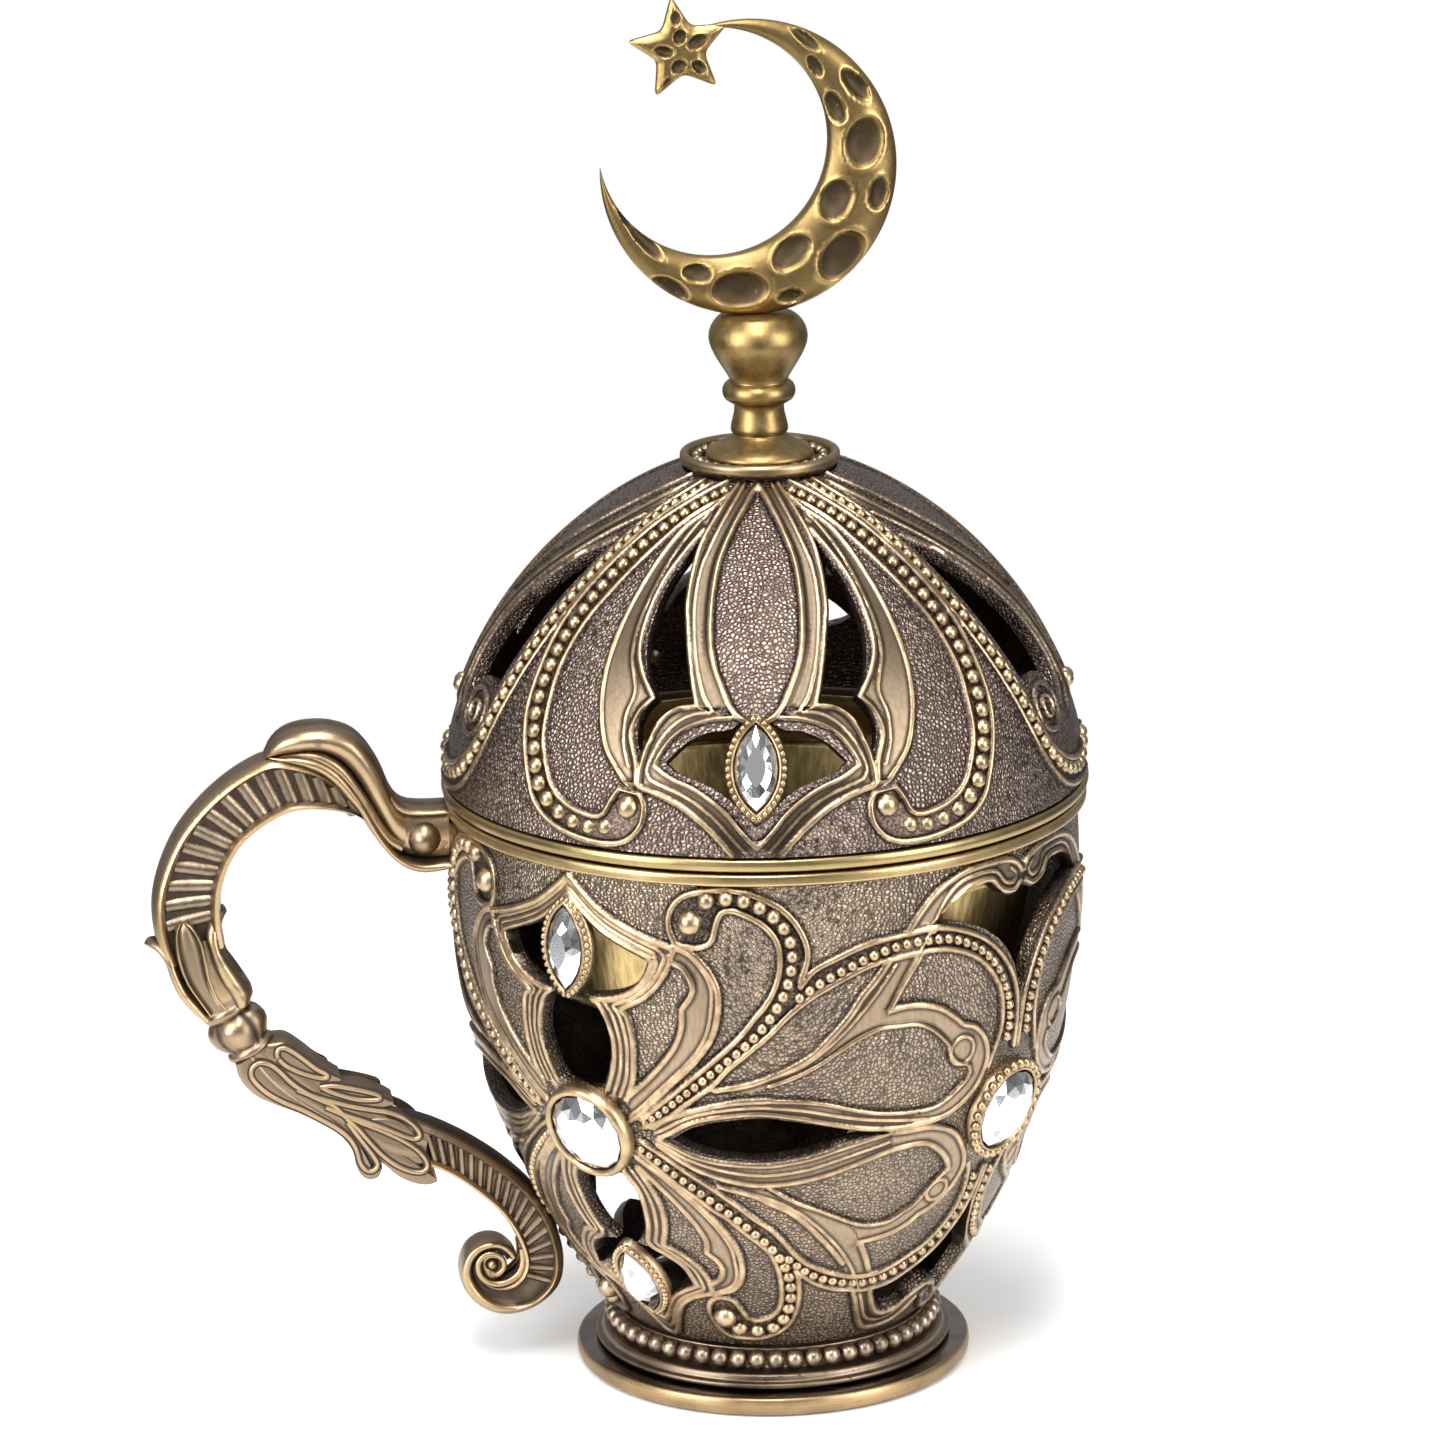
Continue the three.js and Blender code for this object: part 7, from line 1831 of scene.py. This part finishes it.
def dented(points, half_depth, dents):
    """How far each dent lowers a face at these points, and how much of a dent or of its raised lip each one is."""
    lowered = np.zeros(len(points))
    bowl = np.zeros(len(points))
    lip = np.zeros(len(points))
    for across, up, length, width, turn, depth in dents:
        angle = math.radians(turn)
        shifted = points - np.array([across, up]) - dent_shift
        along = (shifted[:, 0] * math.cos(angle) + shifted[:, 1] * math.sin(angle)) / (length / 2)
        aside = (-shifted[:, 0] * math.sin(angle) + shifted[:, 1] * math.cos(angle)) / (width / 2)
        away = np.sqrt(along ** 2 + aside ** 2)
        deep = np.minimum(depth * 2.1, half_depth * 0.7)
        lowered = np.maximum(lowered, deep * np.clip(1.08 - away ** 2, 0, 1) ** 0.7)
        bowl = np.maximum(bowl, np.clip((1.06 - away) / 0.3, 0, 1))
        lip = np.maximum(lip, np.exp(-((away - 1.16) / 0.14) ** 2))
    return lowered - 0.08 * lip, bowl, lip


def moon_crossing():
    """Half of the angle that the moon takes up round its outer circle."""
    apart = np.hypot(*(hollow_centre - moon_centre))
    reach = (moon_radius ** 2 - hollow_radius ** 2 + apart ** 2) / (2 * apart)
    return math.pi - math.acos(reach / moon_radius)


def moon_body():
    """The crescent's points, faces and crests, row by row from one horn's tip to the other's."""
    hollow = hollow_centre - moon_centre
    back = math.atan2(-hollow[1], -hollow[0])
    reach = moon_crossing() * 0.994
    rows, columns = 400, 26
    turns = back + reach * np.linspace(-1, 1, rows)
    across = np.concatenate([[-1], -np.cos(np.linspace(0.1, 0.9, columns - 2) * math.pi), [1]])
    widest = moon_radius - hollow_radius + np.hypot(*hollow)
    points, crests = [], []
    for turn in turns:
        ray = np.array([math.cos(turn), math.sin(turn)])
        toward = ray @ hollow
        inner = toward + math.sqrt(hollow_radius ** 2 - hollow @ hollow + toward ** 2)
        half = (moon_radius - inner) / 2
        middle = (moon_radius + inner) / 2
        place = moon_centre + np.outer(middle + across * half, ray)
        deepest = 3.0 * (2 * half / widest) ** 0.6
        depth = deepest * (0.3 + 0.7 * np.clip(1 - np.abs(across) ** 2.3, 0, 1) ** 0.72)
        lowered, bowl, lip = dented(place, depth, moon_dents)
        shaped = depth - lowered * np.clip((1 - np.abs(across)) / 0.12, 0, 1)
        edge = np.clip(np.abs(across) - 0.8, 0, 1)
        # The crest value paints each dent dark as painted shade, lightens its raised lip, and lightens the moon's two
        # edges.
        value = np.clip(0.6 - 0.54 * bowl + 0.4 * lip * (1 - bowl) + 0.3 * edge * 5, 0, 1)
        for face in (-1, 1):
            order = range(columns) if face < 0 else range(columns - 1, -1, -1)
            for k in order:
                points.append((place[k, 0] * MM, face * shaped[k] * MM, place[k, 1] * MM))
                crests.append(value[k])
    faces = tube_faces(rows, 2 * columns) + flat_ends(rows, 2 * columns)
    return points, faces, crests


crested_piece("crescent_cast", *moon_body(), finial_metal, "lid", "antique_brass", ["crescent_and_star"], sharp=75)

star_centre = moon_centre + moon_radius * np.array([-0.45, 0.8165])
star_radius = 7.3
star_notch = 0.5
star_tip = 1.08
star_lean = 8
star_dents = [
    (-11.5, 205.0, 2.2, 1.6, 80, 0.35), (-11.0, 202.2, 2.2, 1.8, 70, 0.4), (-8.4, 201.4, 3.2, 2.0, 25, 0.45),
    (-13.4, 200.1, 2.8, 1.7, -12, 0.4), (-11.2, 197.8, 2.3, 2.0, 50, 0.45), (-8.2, 197.7, 2.5, 1.7, -40, 0.4),
    (-12.9, 195.2, 2.4, 1.3, 75, 0.35)]


def star_body():
    """The star's points, faces and crests: rings that shrink to its middle on both faces, from a softened edge."""
    corner_count, side_steps, softenings, rings = 10, 12, 5, 22
    corners = []
    for n in range(corner_count):
        reach = star_radius * (star_notch if n % 2 else star_tip)
        angle = math.pi / 2 + math.radians(star_lean) + math.pi * n / 5
        corners.append((reach * math.cos(angle), reach * math.sin(angle)))
    corners = np.array(corners)
    after = np.roll(corners, -1, 0)
    edge = np.vstack([corners[n] + (after[n] - corners[n]) * k / side_steps
                      for n in range(corner_count) for k in range(side_steps)])
    for _ in range(softenings):
        edge = (np.roll(edge, 1, 0) + 2 * edge + np.roll(edge, -1, 0)) / 4
    points, crests, faces = [], [], []
    sides = len(edge)
    for face in (-1, 1):
        for ring in range(rings + 1):
            share = 1 - (ring / rings) if ring < rings else 0.0
            spread = edge * max(share, 0.02)
            place = star_centre + spread
            rim = np.clip((1 - share) * 2.4, 0, 1)
            depth = 0.35 + 0.8 * math.sin(rim * math.pi / 2)
            lowered, bowl, lip = dented(place, np.full(sides, depth), star_dents)
            shaped = depth - lowered * rim
            # The crest value paints each dent dark as painted shade, and lightens its lip and the star's rim.
            value = np.clip(0.6 - 0.6 * bowl + 0.4 * lip * (1 - bowl) + (0.4 if share > 0.86 else 0), 0, 1)
            for k in range(sides):
                points.append((place[k, 0] * MM, face * shaped[k] * MM, place[k, 1] * MM))
                crests.append(value[k])
    half = (rings + 1) * sides
    for face in (0, 1):
        faces += tube_faces(rings + 1, sides, face * half)
        faces.append(tuple(face * half + rings * sides + k for k in range(sides)))
    for k in range(sides):
        faces.append((k, (k + 1) % sides, half + (k + 1) % sides, half + k))
    return points, faces, crests


crested_piece("star_cast", *star_body(), finial_metal, "lid", "antique_brass", sharp=60)

# Screws, washers and the nut: plain zinc-plated steel fasteners, out of sight inside the cup and the lid. They
# draw the foot, the handle and the finial tight; their solids stay as they are and get the steel's finish.
zinc = Shader("zinc_plated_steel", 1.0, 0.34)
zinc_cloud = zinc.noise(2.5, 4, 0.6)
zinc_grain = zinc.noise(0.4, 3, 0.7)
zinc_metal = zinc.finish(
    zinc.mix(zinc.ramp(zinc_cloud, 0.3, 0.7), (0.34, 0.35, 0.36), (0.62, 0.63, 0.64)),
    zinc.scaled(zinc_grain, 0.2, 0.24), zinc.bump(zinc_grain, 0.02))
fasteners = ("foot_screw", "foot_washer", "handle_screw_upper", "handle_screw_lower", "finial_washer", "finial_nut")
for fastener in fasteners:
    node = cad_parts[fastener]
    node = bpy.data.objects[node] if isinstance(node, str) else node
    node.data.materials.clear()
    node.data.materials.append(zinc_metal)

# Studio: a white paper floor that fades into the white room, two tall soft lamps in front, to the left and
# the right, and a lamp overhead. The camera is the photograph's: far off, level with the lid and tilted down.
scene = bpy.context.scene
scene.view_settings.view_transform = "Standard"
stage_turn = Matrix.Rotation(math.radians(-7.5), 4, "Z")
paper_radius = 0.6
paper_sides = 96
paper_turns = np.linspace(0, 2 * math.pi, paper_sides, False)
paper_points = [(paper_radius * math.cos(t), paper_radius * math.sin(t), 0) for t in paper_turns]
paper_mesh = bpy.data.meshes.new("paper_floor")
paper_mesh.from_pydata(paper_points, [], [tuple(range(paper_sides))])
paper = Shader("white_paper", 0.0, 0.6)
paper_grain = paper.noise(1.2, 3, 0.6)
paper.finish(paper.mix(paper_grain, (0.93, 0.93, 0.93), (0.96, 0.96, 0.96)), None, paper.bump(paper_grain, 0.01))
paper_reach = paper.nodes.new("ShaderNodeVectorMath")
paper_reach.operation = "LENGTH"
paper.links.new(paper.place, paper_reach.inputs[0])
fade = paper.ramp(paper_reach.outputs["Value"], 0.14, 0.34)
clear = paper.nodes.new("ShaderNodeBsdfTransparent")
blend = paper.nodes.new("ShaderNodeMixShader")
paper.put(fade, blend.inputs[0])
paper.links.new(paper.surface.outputs[0], blend.inputs[1])
paper.links.new(clear.outputs[0], blend.inputs[2])
paper.links.new(blend.outputs[0], paper.nodes["Material Output"].inputs["Surface"])
paper_mesh.materials.append(paper.material)
paper_floor = bpy.data.objects.new("paper_floor", paper_mesh)
scene.collection.objects.link(paper_floor)

room = bpy.data.worlds.new("white_room")
scene.world = room
room.use_nodes = True
air = room.node_tree.nodes
air_link = room.node_tree.links.new
sky_place = air.new("ShaderNodeTexCoord").outputs["Generated"]
sky_axes = air.new("ShaderNodeSeparateXYZ")
air_link(sky_place, sky_axes.inputs[0])
sky = air.new("ShaderNodeMapRange")
for key, value in (("From Min", -0.3), ("From Max", 0.9), ("To Min", 0.16), ("To Max", 0.66)):
    sky.inputs[key].default_value = value
air_link(sky_axes.outputs["Z"], sky.inputs["Value"])
seen = air.new("ShaderNodeLightPath").outputs["Is Camera Ray"]
level = air.new("ShaderNodeMix")
level.data_type = "FLOAT"
air_link(seen, level.inputs[0])
air_link(sky.outputs["Result"], level.inputs[2])
level.inputs[3].default_value = 1.0
backdrop = air["Background"]
backdrop.inputs["Color"].default_value = (1, 1, 1, 1)
air_link(level.outputs[0], backdrop.inputs["Strength"])


def soft_lamp(name, turn, distance, height, wide, tall, power, aim=0.1):
    """A flat soft lamp that stands at a turn from the front and faces the burner."""
    data = bpy.data.lights.new(name, "AREA")
    data.shape = "RECTANGLE"
    data.size = wide
    data.size_y = tall
    data.energy = power
    lamp = bpy.data.objects.new(name, data)
    scene.collection.objects.link(lamp)
    angle = math.radians(turn)
    place = Vector((distance * math.sin(angle), -distance * math.cos(angle), height))
    look = (Vector((0, 0, aim)) - place).to_track_quat("-Z", "Y").to_matrix().to_4x4()
    lamp.matrix_world = stage_turn @ Matrix.Translation(place) @ look
    return lamp


soft_lamp("left_softbox", -48, 0.75, 0.32, 0.4, 0.7, 9.2)
soft_lamp("right_softbox", 52, 0.8, 0.3, 0.34, 0.7, 6.9)
soft_lamp("top_softbox", -4, 0.34, 0.9, 0.24, 0.95, 13.5)

camera_distance = 0.9638
camera_height = 0.36578
camera_yaw, camera_pitch, camera_roll = -0.0064, 0.2697, -0.0168
camera_data = bpy.data.cameras.new("camera")
camera_data.sensor_width = 36.0
camera_data.lens = 167.17
camera_data.clip_start = 0.05
camera_data.clip_end = 20
camera = bpy.data.objects.new("camera", camera_data)
scene.collection.objects.link(camera)
level_ahead = Vector((math.sin(camera_yaw), math.cos(camera_yaw), 0))
ahead = level_ahead * math.cos(camera_pitch) - Vector((0, 0, math.sin(camera_pitch)))
right = Vector((math.cos(camera_yaw), -math.sin(camera_yaw), 0))
up = right.cross(ahead)
rolled_right = right * math.cos(camera_roll) + up * math.sin(camera_roll)
rolled_up = up * math.cos(camera_roll) - right * math.sin(camera_roll)
camera_axes = Matrix((rolled_right, rolled_up, -ahead)).transposed().to_4x4()
camera.matrix_world = stage_turn @ Matrix.Translation((0, -camera_distance, camera_height)) @ camera_axes
scene.camera = camera
